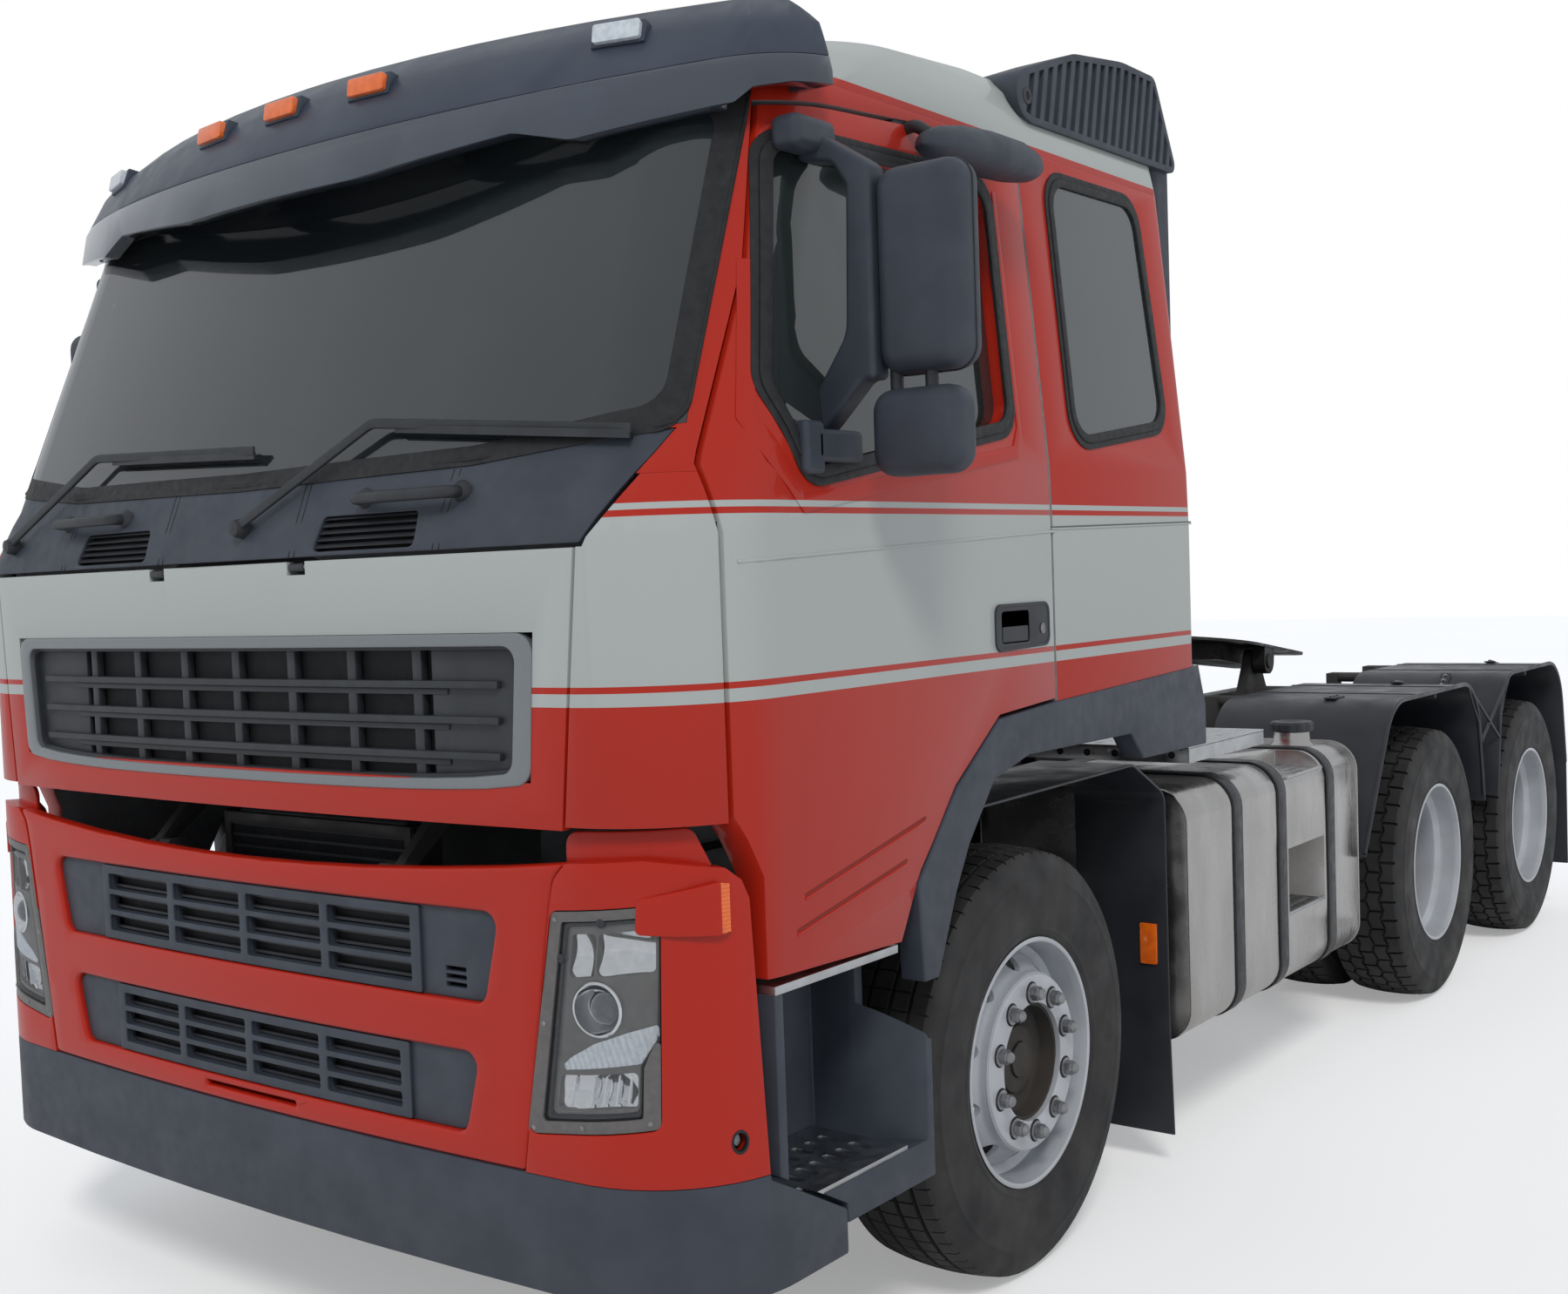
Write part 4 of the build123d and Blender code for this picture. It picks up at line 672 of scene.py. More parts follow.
# ---- frame pieces that keep their form ----
node_finishes = {
    "cab_paint": ("cab_shell", "cab_roof", "front_panel", "corner_panels", "door_left", "door_right"),
    "orange_paint": ("bumper",),
    "dark_plastic": ("bumper_apron", "bumper_grilles", "step_boxes", "arch_trims", "cowl", "air_intake",
                     "mirrors_left", "mirrors_right"),
    "visor_plastic": ("visor_hood",),
    "smoked_acrylic": ("visor_lip",),
    "grille_metal": ("grille",),
    "frame_paint": ("frame_rails", "cross_members", "mudguard_brackets", "fifth_wheel_base",
                    "tilt_bearings"),
    "cast_iron": ("front_axle", "drive_axles", "knuckle_left", "knuckle_right"),
    "spring_steel": ("leaf_springs",),
    "engine_iron": ("engine", "driveline"),
    "tread_aluminium": ("step_treads", "catwalk", "radiator"),
    "tank_aluminium": ("fuel_tank", "silencer"),
    "strap_paint": ("tank_straps",),
    "guard_plastic": ("front_mudguards", "rear_mudguards", "battery_box"),
    "coupling_black": ("fifth_wheel",),
    "tinted_glass": ("windscreen",),
    "side_glass": ("quarter_glass", "door_glass_left", "door_glass_right"),
    "red_lens": ("tail_lamps",),
    "white_lens": ("headlamps",),
    "seat_cloth": ("seats",),
    "dash_plastic": ("dashboard",),
    "tyre_rubber": ("tyre_front_left", "tyre_front_right", "tyres_drive1_left", "tyres_drive1_right",
                    "tyres_drive2_left", "tyres_drive2_right"),
    "wheel_silver": ("rim_front_left", "rim_front_right", "rims_drive1_left", "rims_drive1_right",
                     "rims_drive2_left", "rims_drive2_right"),
}
for name, nodes in node_finishes.items():
    for node in nodes:
        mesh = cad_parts[node].data   # only the material is set; the node's shape stays
        mesh.materials.clear()
        mesh.materials.append(finish[name])


# ---- repeats, as Geometry Nodes ----
def new_tree(name, inputs):
    """Node group that takes a carrier mesh and the named inputs, and gives one mesh."""
    tree = bpy.data.node_groups.new(name, "GeometryNodeTree")
    face = tree.interface
    face.new_socket("Geometry", in_out="INPUT", socket_type="NodeSocketGeometry")
    for label, kind in {"Piece": "Object", **inputs, "Finish": "Material"}.items():
        face.new_socket(label, in_out="INPUT", socket_type="NodeSocket" + kind)
    face.new_socket("Geometry", in_out="OUTPUT", socket_type="NodeSocketGeometry")
    return tree


def finish_tree(tree, points, rotation, merge):
    """Piece set on the points, made real, merged and given its finish."""
    nodes, links = tree.nodes, tree.links
    given = next(node for node in nodes if node.type == "GROUP_INPUT")
    info = nodes.new("GeometryNodeObjectInfo")
    links.new(given.outputs["Piece"], info.inputs["Object"])
    on_points = nodes.new("GeometryNodeInstanceOnPoints")
    links.new(points, on_points.inputs["Points"])
    links.new(info.outputs["Geometry"], on_points.inputs["Instance"])
    if rotation is not None:
        links.new(rotation, on_points.inputs["Rotation"])
    real = nodes.new("GeometryNodeRealizeInstances")
    links.new(on_points.outputs[0], real.inputs[0])
    last = real.outputs[0]
    if merge:
        near = nodes.new("GeometryNodeMergeByDistance")
        near.inputs["Distance"].default_value = merge
        links.new(last, near.inputs["Geometry"])
        last = near.outputs[0]
    paint = nodes.new("GeometryNodeSetMaterial")
    links.new(last, paint.inputs["Geometry"])
    links.new(given.outputs["Finish"], paint.inputs["Material"])
    out = nodes.new("NodeGroupOutput")
    links.new(paint.outputs[0], out.inputs[0])
    return tree


def spin_tree():
    """Copies turned about the origin, each a step further."""
    tree = new_tree("spin", {"Count": "Int", "Turn": "Vector"})
    nodes, links = tree.nodes, tree.links
    given = nodes.new("NodeGroupInput")
    line = nodes.new("GeometryNodeMeshLine")
    line.inputs["Offset"].default_value = (0, 0, 0)
    links.new(given.outputs["Count"], line.inputs["Count"])
    index = nodes.new("GeometryNodeInputIndex")
    turn = nodes.new("ShaderNodeVectorMath")
    turn.operation = "SCALE"
    links.new(given.outputs["Turn"], turn.inputs[0])
    links.new(index.outputs[0], turn.inputs["Scale"])
    return finish_tree(tree, line.outputs[0], turn.outputs[0], 2e-5)


def row_tree():
    """Copies in a straight row."""
    tree = new_tree("row", {"Count": "Int", "Pitch": "Vector"})
    nodes, links = tree.nodes, tree.links
    given = nodes.new("NodeGroupInput")
    line = nodes.new("GeometryNodeMeshLine")
    links.new(given.outputs["Count"], line.inputs["Count"])
    links.new(given.outputs["Pitch"], line.inputs["Offset"])
    return finish_tree(tree, line.outputs[0], None, 0)


def set_tree():
    """Copies on the carrier's points, each turned as its point says."""
    tree = new_tree("set", {})
    nodes = tree.nodes
    given = nodes.new("NodeGroupInput")
    turn = nodes.new("GeometryNodeInputNamedAttribute")
    turn.data_type = "FLOAT_VECTOR"
    turn.inputs["Name"].default_value = "turn"
    return finish_tree(tree, given.outputs["Geometry"], turn.outputs["Attribute"], 0)


trees = {"spin": spin_tree(), "row": row_tree(), "set": set_tree()}


def repeated(kind, piece, paint, carrier=None, **values):
    """Plain mesh of a piece repeated by one of the trees."""
    tree = trees[kind]
    sockets = {item.name: item.identifier for item in tree.interface.items_tree
               if item.item_type == "SOCKET" and item.in_out == "INPUT"}
    mesh = as_mesh(piece) if isinstance(piece, bmesh.types.BMesh) else piece
    source = bpy.data.objects.new("piece", mesh)
    holder = bpy.data.objects.new("carrier", carrier or bpy.data.meshes.new("carrier"))
    for made in (source, holder):
        scene.collection.objects.link(made)
    modifier = holder.modifiers.new("repeat", "NODES")
    modifier.node_group = tree
    for label, value in {"Piece": source, "Finish": finish[paint], **values}.items():
        modifier[sockets[label]] = value
    bpy.context.view_layer.update()
    result = bpy.data.meshes.new_from_object(holder.evaluated_get(bpy.context.evaluated_depsgraph_get()))
    for made in (source, holder):
        bpy.data.objects.remove(made)
    return result


def set_on(points, piece, paint):
    """Piece (made along +Z) set on (point, direction) pairs."""
    carrier = bpy.data.meshes.new("points")
    carrier.from_pydata([tuple(point) for point, _ in points], [], [])
    turn = carrier.attributes.new("turn", "FLOAT_VECTOR", "POINT")
    for item, (_, ahead) in zip(turn.data, points):
        item.vector = Vector(ahead).to_track_quat("Z", "Y").to_euler()
    return repeated("set", piece, paint, carrier)


def gathered(*parts):
    """One mesh and its finishes, from (mesh, finish name) pairs."""
    whole, paints = bmesh.new(), []
    for part, paint in parts:
        mesh = as_mesh(part) if isinstance(part, bmesh.types.BMesh) else part
        first = len(whole.faces)
        whole.from_mesh(mesh)
        whole.faces.ensure_lookup_table()
        if paint not in paints:
            paints.append(paint)
        for face in whole.faces[first:]:
            face.material_index = paints.index(paint)
    return as_mesh(whole), [finish[paint] for paint in paints]


def put(name, parts, body, slot=None, sharp=35, mirror=False):
    """Places gathered parts; mirror puts them on the vehicle's right side."""
    mesh, paints = gathered(*parts)
    if mirror:
        mesh.transform(Matrix.Scale(-1, 4, (1, 0, 0)))
        mesh.flip_normals()
    return place(name, mesh, paints, body, slot, sharp)


def both_hands(name, maker, bodies, slot=None, sharp=35, replaces=None):
    """The same parts on the left and, mirrored, on the right."""
    made = []
    for side, body, other in (("left", bodies[0], False), ("right", bodies[1], True)):
        piece = put(f"{name}_{side}", maker(), body, slot, sharp, other)
        if replaces:
            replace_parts(piece, f"{replaces}_{side}")
        made.append(piece)
    return made


def cut(mesh, cutter):
    """Mesh with another one taken away."""
    tool = bpy.data.objects.new("cutter", as_mesh(cutter))
    scene.collection.objects.link(tool)
    result = finished(mesh, ("BOOLEAN", dict(operation="DIFFERENCE", solver="EXACT", object=tool)))
    bpy.data.objects.remove(tool)
    return result


# ---- small fasteners, made along +Z ----
def hex_bolt(radius=0.008, height=0.006, washer=0.0015):
    """Hexagon head on a washer."""
    head = [Vector((radius * cos(pi / 3 * i), radius * sin(pi / 3 * i), 0)) for i in range(6)]
    rings = [[p + Vector((0, 0, washer)) for p in head],
             [p + Vector((0, 0, washer + height * 0.8)) for p in head],
             [p * 0.86 + Vector((0, 0, washer + height)) for p in head]]
    disc = [Vector((radius * 1.35 * cos(pi / 6 * i), radius * 1.35 * sin(pi / 6 * i), 0)) for i in range(12)]
    plate = strip([disc, [p + Vector((0, 0, washer)) for p in disc]])
    return joined(closed(strip(rings)), closed(plate))


def domed_screw(radius, height):
    """Round head in four steps."""
    rings = []
    for lift, share in ((0, 1), (0.35, 0.96), (0.8, 0.7), (1.0, 0.3)):
        rings.append([Vector((*p, height * lift)) for p in oval((0, 0), (radius * share, radius * share), 10)])
    return closed(strip(rings))


# ---- wheels ----
groove_depth = 0.013
tread_edge = 0.1185      # half width of the tread
crown_drop = 0.0115      # how much lower the tread is at its edges
tread_foot = 0.47        # radius under which the tread's pattern doesn't sway


def crown(x):
    """Radius of the tread at a place across it."""
    return tyre_radius - crown_drop * (abs(x) / tread_edge) ** 2


def tyre_profile(grooves):
    """Half section from the bead to the middle, then mirrored: (x, radius, rib number or None)."""
    wall = [(0.1210, 0.2920), (0.1300, 0.3010), (0.1345, 0.3110), (0.1368, 0.3180), (0.1352, 0.3225),
            (0.1362, 0.3300), (0.1394, 0.3480), (0.1418, 0.3740), (0.1428, 0.3990), (0.1424, 0.4210),
            (0.1412, 0.4360), (0.1418, 0.4385), (0.1414, 0.4430), (0.1398, 0.4450), (0.1368, 0.4600),
            (0.1328, 0.4760), (0.1282, 0.4890), (0.1238, 0.4975)]
    half = [(x, r, None) for x, r in wall]
    tops = [(tread_edge, 0)]
    rib = 0
    for middle, width in grooves:
        outer, inner = middle + width / 2, middle - width / 2
        tops += [(outer + 0.0008, rib), (outer - 0.0012, None),
                 (inner + 0.0012, None), (inner - 0.0008, rib + 1)]
        rib += 1
    half += [(x, crown(x) - (groove_depth if kind is None else 0.0), kind) for x, kind in tops]
    other = [(-x, r, None if kind is None else 2 * rib - kind) for x, r, kind in reversed(half)]
    return half + other


def tyre(pitches, grooves, phases, notch, sway):
    """Tyre of repeated tread pitches; notch(rib, x, phase) gives the depth cut into a rib."""
    profile = tyre_profile(grooves)
    rings = []
    for phase in phases:
        angle = 2 * pi * phase / pitches
        swing = sway * (1 - 4 * abs(phase - 0.5))
        ring = []
        for x, radius, rib in profile:
            on_tread = abs(x) < tread_edge - 0.004 and radius > tread_foot
            depth = notch(rib, x, phase) if rib is not None else 0.0
            shift = swing if on_tread else 0.0
            ring.append(Vector((x + shift, (radius - depth) * cos(angle), (radius - depth) * sin(angle))))
        rings.append(ring)
    sector = strip(rings, ends=False, loop=True)
    mesh = repeated("spin", sector, "tyre_rubber", Count=pitches, Turn=(2 * pi / pitches, 0, 0))
    bm = bmesh.new()
    bm.from_mesh(mesh)
    return as_mesh(closed(bm, 2e-5))


def steer_notch(rib, x, phase):
    """Fine cross cuts of the steering tyre: its middle ribs and the edges of its shoulders."""
    return 0.005 if phase < 0.10 and (rib in (0, 4) and abs(x) > 0.10 or rib in (1, 2, 3)) else 0.0


def drive_notch(rib, x, phase):
    """Deep cross cuts of the driving tyre, offset from rib to rib."""
    if rib % 2 == 0:
        return 0.011 if phase <= 0.12 or phase >= 1.0 else 0.0
    return 0.011 if 0.5 <= phase <= 0.62 else 0.0


steer_tyre = tyre(72, ((0.078, 0.010), (0.029, 0.011)), (0.0, 0.09, 0.11, 0.99, 1.0), steer_notch, 0.0)
drive_tyre = tyre(44, ((0.074, 0.009), (0.026, 0.009)), (0.0, 0.12, 0.13, 0.49, 0.5, 0.62, 0.63, 0.99, 1.0),
                  drive_notch, 0.006)

rim_section = ((0.0380, 0.2620), (0.0600, 0.2880), (0.1215, 0.2897), (0.1262, 0.2915), (0.1290, 0.2960),
               (0.1300, 0.2982), (0.1318, 0.2988), (0.1332, 0.2970), (0.1335, 0.2905), (0.1315, 0.2872),
               (0.1190, 0.2838), (0.1100, 0.2822), (0.0700, 0.2800), (0.0620, 0.2770), (0.0460, 0.2560),
               (0.0400, 0.2540))
dish_section = ((0.0300, 0.2600), (0.0480, 0.2575), (0.0620, 0.2490), (0.0780, 0.2360), (0.0900, 0.2262),
                (0.0980, 0.2190), (0.1045, 0.2145), (0.1120, 0.2128), (0.1180, 0.2128), (0.1188, 0.2108),
                (0.1212, 0.2108), (0.1220, 0.2128), (0.1262, 0.2128), (0.1270, 0.2110), (0.1285, 0.2110),
                (0.1300, 0.2105), (0.1325, 0.2080), (0.1332, 0.2040), (0.1332, 0.1440), (0.1322, 0.1412),
                (0.1300, 0.1405), (0.1190, 0.1405), (0.1190, 0.1960), (0.1000, 0.2050), (0.0850, 0.2170),
                (0.0560, 0.2400), (0.0400, 0.2490), (0.0200, 0.2510))
hand_holes, hand_hole_ring, hand_hole_radius = 10, 0.2420, 0.0265
stud_count, stud_ring = 10, 0.1675
rim_steps = 80


def rim_barrel():
    """Barrel of the rim, the same on both sides of its middle."""
    whole = [*rim_section, *[(-x, r) for x, r in reversed(rim_section)]]
    return turned(whole, (0, 0, 0), "X", rim_steps)


def rim_dish():
    """Coned disc with its hand holes."""
    disc = turned(dish_section, (0, 0, 0), "X", rim_steps)
    holes = []
    for index in range(hand_holes):
        angle = 2 * pi * (index + 0.5) / hand_holes
        middle = (hand_hole_ring * cos(angle), hand_hole_ring * sin(angle))
        holes.append(prism(oval(middle, (hand_hole_radius, hand_hole_radius), 20), 0.0, 0.125))
    return cut(as_mesh(disc), joined(*holes))


def wheel_nut():
    """Hexagon nut on a washer with a domed end, made along +X."""
    def stack(rings, count):
        return closed(strip([[Vector((x, *p)) for p in oval((0, 0), (r, r), count)] for x, r in rings]))
    return joined(stack(((0.000, 0.0235), (0.004, 0.0235), (0.005, 0.0215)), 24),
                  stack(((0.004, 0.0182), (0.021, 0.0182), (0.0235, 0.0165)), 6),
                  stack(((0.020, 0.0150), (0.026, 0.0145), (0.031, 0.0120), (0.0345, 0.0075), (0.0355, 0.0020)), 16))


def nut_ring(reach):
    """The wheel's nuts, standing at x = reach."""
    nut = moved(wheel_nut(), Matrix.Translation((reach, 0, stud_ring)))
    return repeated("spin", nut, "bolt_steel", Count=stud_count, Turn=(2 * pi / stud_count, 0, 0))


def seat_ring(reach):
    """Dark ring under each nut."""
    seat = turned(((0, 0.0), (0.0, 0.0275), (0.0007, 0.0275), (0.0007, 0.0)), (reach, 0, stud_ring), "X", 20)
    return repeated("spin", closed(seat), "deep_black", Count=stud_count, Turn=(2 * pi / stud_count, 0, 0))


barrel_mesh = as_mesh(rim_barrel())
dish_mesh = rim_dish()


def copy_at(mesh, x, y, flip=False):
    """Copy of a wheel piece at its place; flip turns its outer side inwards."""
    made = mesh.copy()
    if flip:
        made.transform(Matrix.Rotation(pi, 4, "Z"))
    made.transform(Matrix.Translation((x, y, wheel_height)))
    return made


def steer_hub():
    """Recessed hub end in the open bore, a ring clear of the knuckle's spindle."""
    outline = ((0.020, 0.0440), (0.020, 0.1400), (0.1190, 0.1400), (0.1190, 0.1330), (0.0820, 0.1290),
               (0.0760, 0.0860), (0.0900, 0.0800), (0.0940, 0.0600), (0.0940, 0.0440))
    return turned(outline, (0, 0, 0), "X", 48)


def steer_wheel_parts():
    """Rim, nuts and hub of the left front wheel."""
    pieces = ((barrel_mesh, "wheel_silver"), (dish_mesh, "wheel_silver"), (seat_ring(0.1331), "deep_black"),
              (nut_ring(0.1335), "bolt_steel"), (as_mesh(closed(steer_hub())), "cast_iron"))
    return [(copy_at(mesh, front_tyre_middle, 0.0), paint) for mesh, paint in pieces]


def drive_hub():
    """Planetary hub end standing in the dished outer wheel."""
    outline = ((0.000, 0.0), (0.000, 0.1395), (0.030, 0.1395), (0.034, 0.1340), (0.060, 0.1320),
               (0.066, 0.1180), (0.080, 0.1150), (0.086, 0.1080), (0.104, 0.1060), (0.110, 0.0960),
               (0.113, 0.0450), (0.118, 0.0400), (0.119, 0.0))
    return turned(outline, (0, 0, 0), "X", 48)


def hub_bolts(reach, ring, count):
    """Bolts round the hub's end, at x = reach."""
    head = moved(hex_bolt(0.0085, 0.007), Matrix.Rotation(pi / 2, 4, "Y"))
    head = moved(head, Matrix.Translation((reach, 0, ring)))
    return repeated("spin", head, "bolt_steel", Count=count, Turn=(2 * pi / count, 0, 0))


dual_middle = middle_of("tyres_drive1_left").x
dual_half = 0.165        # from the pair's middle plane to a tyre's own
dual_dish = 0.134        # from the pair's middle plane to a dish's root


def drive_wheel_parts(station):
    """Two rims back to back, the nuts of the outer one and the hub's end."""
    face = dual_middle + 0.014
    return [(copy_at(barrel_mesh, dual_middle + dual_half, station), "wheel_silver"),
            (copy_at(barrel_mesh, dual_middle - dual_half, station), "wheel_silver"),
            (copy_at(dish_mesh, dual_middle + dual_dish, station, flip=True), "wheel_silver"),
            (copy_at(dish_mesh, dual_middle - dual_dish, station), "wheel_silver"),
            (copy_at(nut_ring(0.0), face, station), "bolt_steel"),
            (copy_at(as_mesh(closed(drive_hub())), face - 0.012, station), "coupling_black"),
            (copy_at(hub_bolts(0.098, 0.0780, 12), face, station), "bolt_steel")]


both_hands("steer_wheel", steer_wheel_parts, ("front_wheel_left", "front_wheel_right"), "wheel_steel", 32,
           "rim_front")
both_hands("steer_tyre", lambda: [(copy_at(steer_tyre, front_tyre_middle, 0.0), "tyre_rubber")],
           ("front_wheel_left", "front_wheel_right"), "tyre", 32, "tyre_front")
for number, station in enumerate(drive_stations, 1):
    bodies = (f"drive_wheels{number}_left", f"drive_wheels{number}_right")
    both_hands(f"drive_wheel{number}", lambda: drive_wheel_parts(station), bodies, "wheel_steel", 32,
               f"rims_drive{number}")
    both_hands(f"drive_tyres{number}",
               lambda: [(copy_at(drive_tyre, dual_middle + dual_half, station), "tyre_rubber"),
                        (copy_at(drive_tyre, dual_middle - dual_half, station), "tyre_rubber")],
               bodies, "tyre", 32, f"tyres_drive{number}")


# ---- front of the cab ----
def on_front(start):
    """Front surface moved in by a depth."""
    return lambda x, z, depth: front_point(x, z, depth + start)


def on_wrap(start):
    """Outline of the front and corners, moved in by a depth."""
    return lambda u, z, depth: wrap_point(u, z, depth + start)


def front_bar(x, z, start, thick, reach=0.06):
    """Level or upright bar on the cab's front, between two x and two z values."""
    return skin(rect((x[0], z[0]), (x[1], z[1])), [], on_front(start), thick, reach)


grille_top, grille_bottom, grille_sag = 1.617, 1.322, 0.019
grille_top_half, grille_bottom_half = 0.904, 0.884


def grille_loop(inset_side, inset_top, inset_bottom, radius):
    """Outline of the grille, its lower edge bowed down in the middle."""
    top_half, low_half = grille_top_half - inset_side, grille_bottom_half - inset_side
    top, low = grille_top - inset_top, grille_bottom + inset_bottom
    shares = [1 - 2 * i / 16 for i in range(1, 16)]
    sag = [Vector((low_half * share, low - grille_sag * (1 - abs(share) ** 4))) for share in shares]
    corners = bow([(top_half, top), (-top_half, top), (-low_half, low), (low_half, low)], radius)
    middle = (top + low) / 2
    head = [p for p in corners if p.y > middle]
    left = [p for p in corners if p.y <= middle and p.x < 0]
    right = [p for p in corners if p.y <= middle and p.x >= 0]
    return [*head, *left, *reversed(sag), *right]


grille_columns, column_pitch, column_half = 7, 0.192, 0.013
slat_levels, slat_half, slat_reach = (1.376, 1.446, 1.516), 0.0075, 0.80


def grille_parts():
    """Bright surround, level slats before upright ones, the blanks at both ends and the dark back."""
    frame_ring = skin(grille_loop(0.0004, 0.0004, 0.0004, 0.040), [grille_loop(0.046, 0.027, 0.023, 0.030)],
                      on_front(-0.0035), 0.026, 0.05)
    back = skin(grille_loop(0.030, 0.015, 0.012, 0.03), [], on_front(0.044), 0.004, 0.08)
    bars = []
    for step in range(grille_columns):
        x = (step - (grille_columns - 1) / 2) * column_pitch
        bars.append(front_bar((x - column_half, x + column_half), (1.318, 1.600), 0.021, 0.020))
    for level in slat_levels:
        bars.append(front_bar((-slat_reach, slat_reach), (level - slat_half, level + slat_half), 0.010, 0.020))
        bars.append(front_bar((-0.66, 0.66), (level - 0.021, level - slat_half), 0.020, 0.012))
    for side in (-1, 1):
        ends = sorted((side * 0.615, side * 0.872))
        bars.append(front_bar(ends, (1.330, 1.600), 0.0235, 0.012))
    edge = skin(grille_loop(0.042, 0.023, 0.019, 0.034), [grille_loop(0.052, 0.033, 0.029, 0.026)],
                on_front(0.012), 0.032, 0.05)
    return [(rounded(frame_ring, 0.005, 3, 40), "grille_metal"), (back, "deep_black"),
            (rounded(joined(*bars), 0.0025, 2, 40), "slat_plastic"), (as_mesh(edge), "slat_plastic")]


grille = put("grille_finished", grille_parts(), "front_hatch", "grille_grey")
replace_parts(grille, "grille")

# seam between the centre of the bumper and its corner module: x, z
seam = ((0.958, 1.181), (0.928, 1.150, 0.05), (0.914, 1.090, 0.08), (0.829, 0.5725))
seam_gap = 0.003
bumper_low = 0.5725


def bumper_end(z):
    """Length along the outline to the bumper's rear edge, which leans forward as it rises."""
    return wrap_length(z, y=-1.104 - 0.026 * (z - 0.590) / 0.53)


def seam_line(shift):
    """The seam, moved sideways by a shift."""
    return [Vector((p.x + shift, p.y)) for p in bow(seam, 0.05, 4, loop=False)]


def bumper_centre():
    """Middle panel of the bumper with its two grille openings and the slot under them."""
    right = list(reversed(seam_line(-seam_gap / 2)))
    top = [Vector((step / 5, 1.130 + 0.050 * (abs(step / 5) / 0.955) ** 2)) for step in range(4, -5, -1)]
    left = [Vector((-p.x, p.y)) for p in reversed(right)]
    openings = [bow([(low_half, low), (top_half, high), (-top_half, high), (-low_half, low)], radius)
                for low_half, top_half, low, high, radius in ((0.737, 0.782, 0.890, 1.073, 0.030),
                                                              (0.673, 0.717, 0.625, 0.789, 0.030),
                                                              (0.16, 0.16, 0.598, 0.608, 0.004))]
    return rounded(skin([*right, *top, *left], openings, on_front(0.0), 0.040), 0.010, 3, 40)


def lamp_place(s, t):
    """Place (u, z) on the headlamp: s from its inner to its outer side, t from its foot to its top."""
    inner = Vector((0.839, 0.651)).lerp(Vector((0.920, 1.087)), t)
    outer = Vector((wrap_length(0.68, x=1.1225), 0.687)).lerp(Vector((wrap_length(1.1, x=1.133), 1.106)), t)
    return inner.lerp(outer, s)


def lamp_loop(points, radius=0.0, grow=0.0):
    """Outline on the headlamp from (s, t) points, its corners rounded."""
    loop = [lamp_place(*point[:2]) for point in points]
    if grow:
        middle = sum(loop, Vector((0, 0))) / len(loop)
        loop = [p + (p - middle).normalized() * grow for p in loop]
    return bow(loop, radius) if radius else loop


eye_middle = (wrap_length(0.64, y=-1.165), 0.648)   # round hole low in the corner module


def bumper_corner():
    """Corner module with the headlamp's aperture and the round hole low in it."""
    inner = seam_line(seam_gap / 2)
    rear = [(bumper_end(bumper_low), bumper_low), (bumper_end(1.105), 1.105), (bumper_end(1.105) - 0.016, 1.142),
            (bumper_end(1.105) - 0.05, 1.168), (1.12, 1.190)]
    lamp_hole = lamp_loop(rect((0, 0), (1, 1)), 0.022, 0.003)
    eye = oval(eye_middle, (0.0165, 0.0215), 24)
    return rounded(skin([*inner, *rear], [lamp_hole, eye], on_wrap(0.0), 0.040), 0.010, 3, 40)


def bumper_shoulder():
    """Wall set back above the corner module, up to the panel over it."""
    loop = bow([(0.935, 1.150, 0.0), (0.935, 1.238, 0.03), (1.222, 1.244, 0.03), (1.275, 1.150, 0.0)], 0.02)
    return rounded(skin(loop, [], on_wrap(0.034), 0.012), 0.004, 2, 40)


def eye_ring():
    """Rubber ring round the hole, with the towing eye's cap behind."""
    outer, inner = (oval(eye_middle, (r * 0.80, r), 24) for r in (0.0235, 0.0175))
    pin = oval(eye_middle, (0.007, 0.011), 16)
    return [(rounded(skin(outer, [inner], on_wrap(-0.0015), 0.012), 0.0015, 2), "seal_rubber"),
            (skin(outer, [], on_wrap(0.026), 0.004), "deep_black"),
            (skin(pin, [], on_wrap(0.016), 0.010), "bolt_steel")]


def pod_bulge(u, start, end):
    """How far the indicator's wedge stands out, from nothing at its front."""
    share = max(0.0, min(1.0, (u - start) / (end - start)))
    return 0.0165 * (share * share * (3 - 2 * share)) ** 0.7


def side_pod():
    """Wedge that carries the side indicator, with its ribbed lens at the rear."""
    start, end = wrap_length(1.1, y=-1.300), wrap_length(1.1, y=-1.184)
    outer = bow([(start, 1.052, 0.012), (end - 0.006, 1.046, 0.004), (end - 0.006, 1.146, 0.004),
                 (start + 0.006, 1.118, 0.014)], 0.01, 4)
    shell = skin(outer, [], lambda u, z, d: wrap_point(u, z, d - pod_bulge(u, start, end)), 0.0185, 0.012)
    lens_loop = [(end - 0.006, 1.048), (end + 0.013, 1.050), (end + 0.013, 1.140), (end - 0.006, 1.144)]
    lens = skin(lens_loop, [], lambda u, z, d: wrap_point(
        u, z, d - (0.0150 if u < end + 0.005 else 0.0100) - 0.0009 * sin(z * 2 * pi / 0.0075)), 0.0165, 0.0018)
    return [(rounded(shell, 0.003, 2, 40), "orange_paint"), (lens, "amber_lens")]


def dished(start, middle, reach, amount):
    """Wrapped surface hollowed round a place."""
    def surface(u, z, depth):
        away = ((u - middle[0]) / reach[0]) ** 2 + ((z - middle[1]) / reach[1]) ** 2
        return wrap_point(u, z, depth + start + amount * max(0.0, 1 - away))
    return surface


def facing(u, z, depth):
    """Matrix whose Z axis points out of the wrapped front at a place."""
    here = wrap_point(u, z, depth)
    out = (wrap_point(u, z, depth - 0.01) - here).normalized()
    across = Vector((0, 0, 1)).cross(out).normalized()
    up = out.cross(across)
    return Matrix.Translation(here) @ Matrix((across, up, out)).transposed().to_4x4()


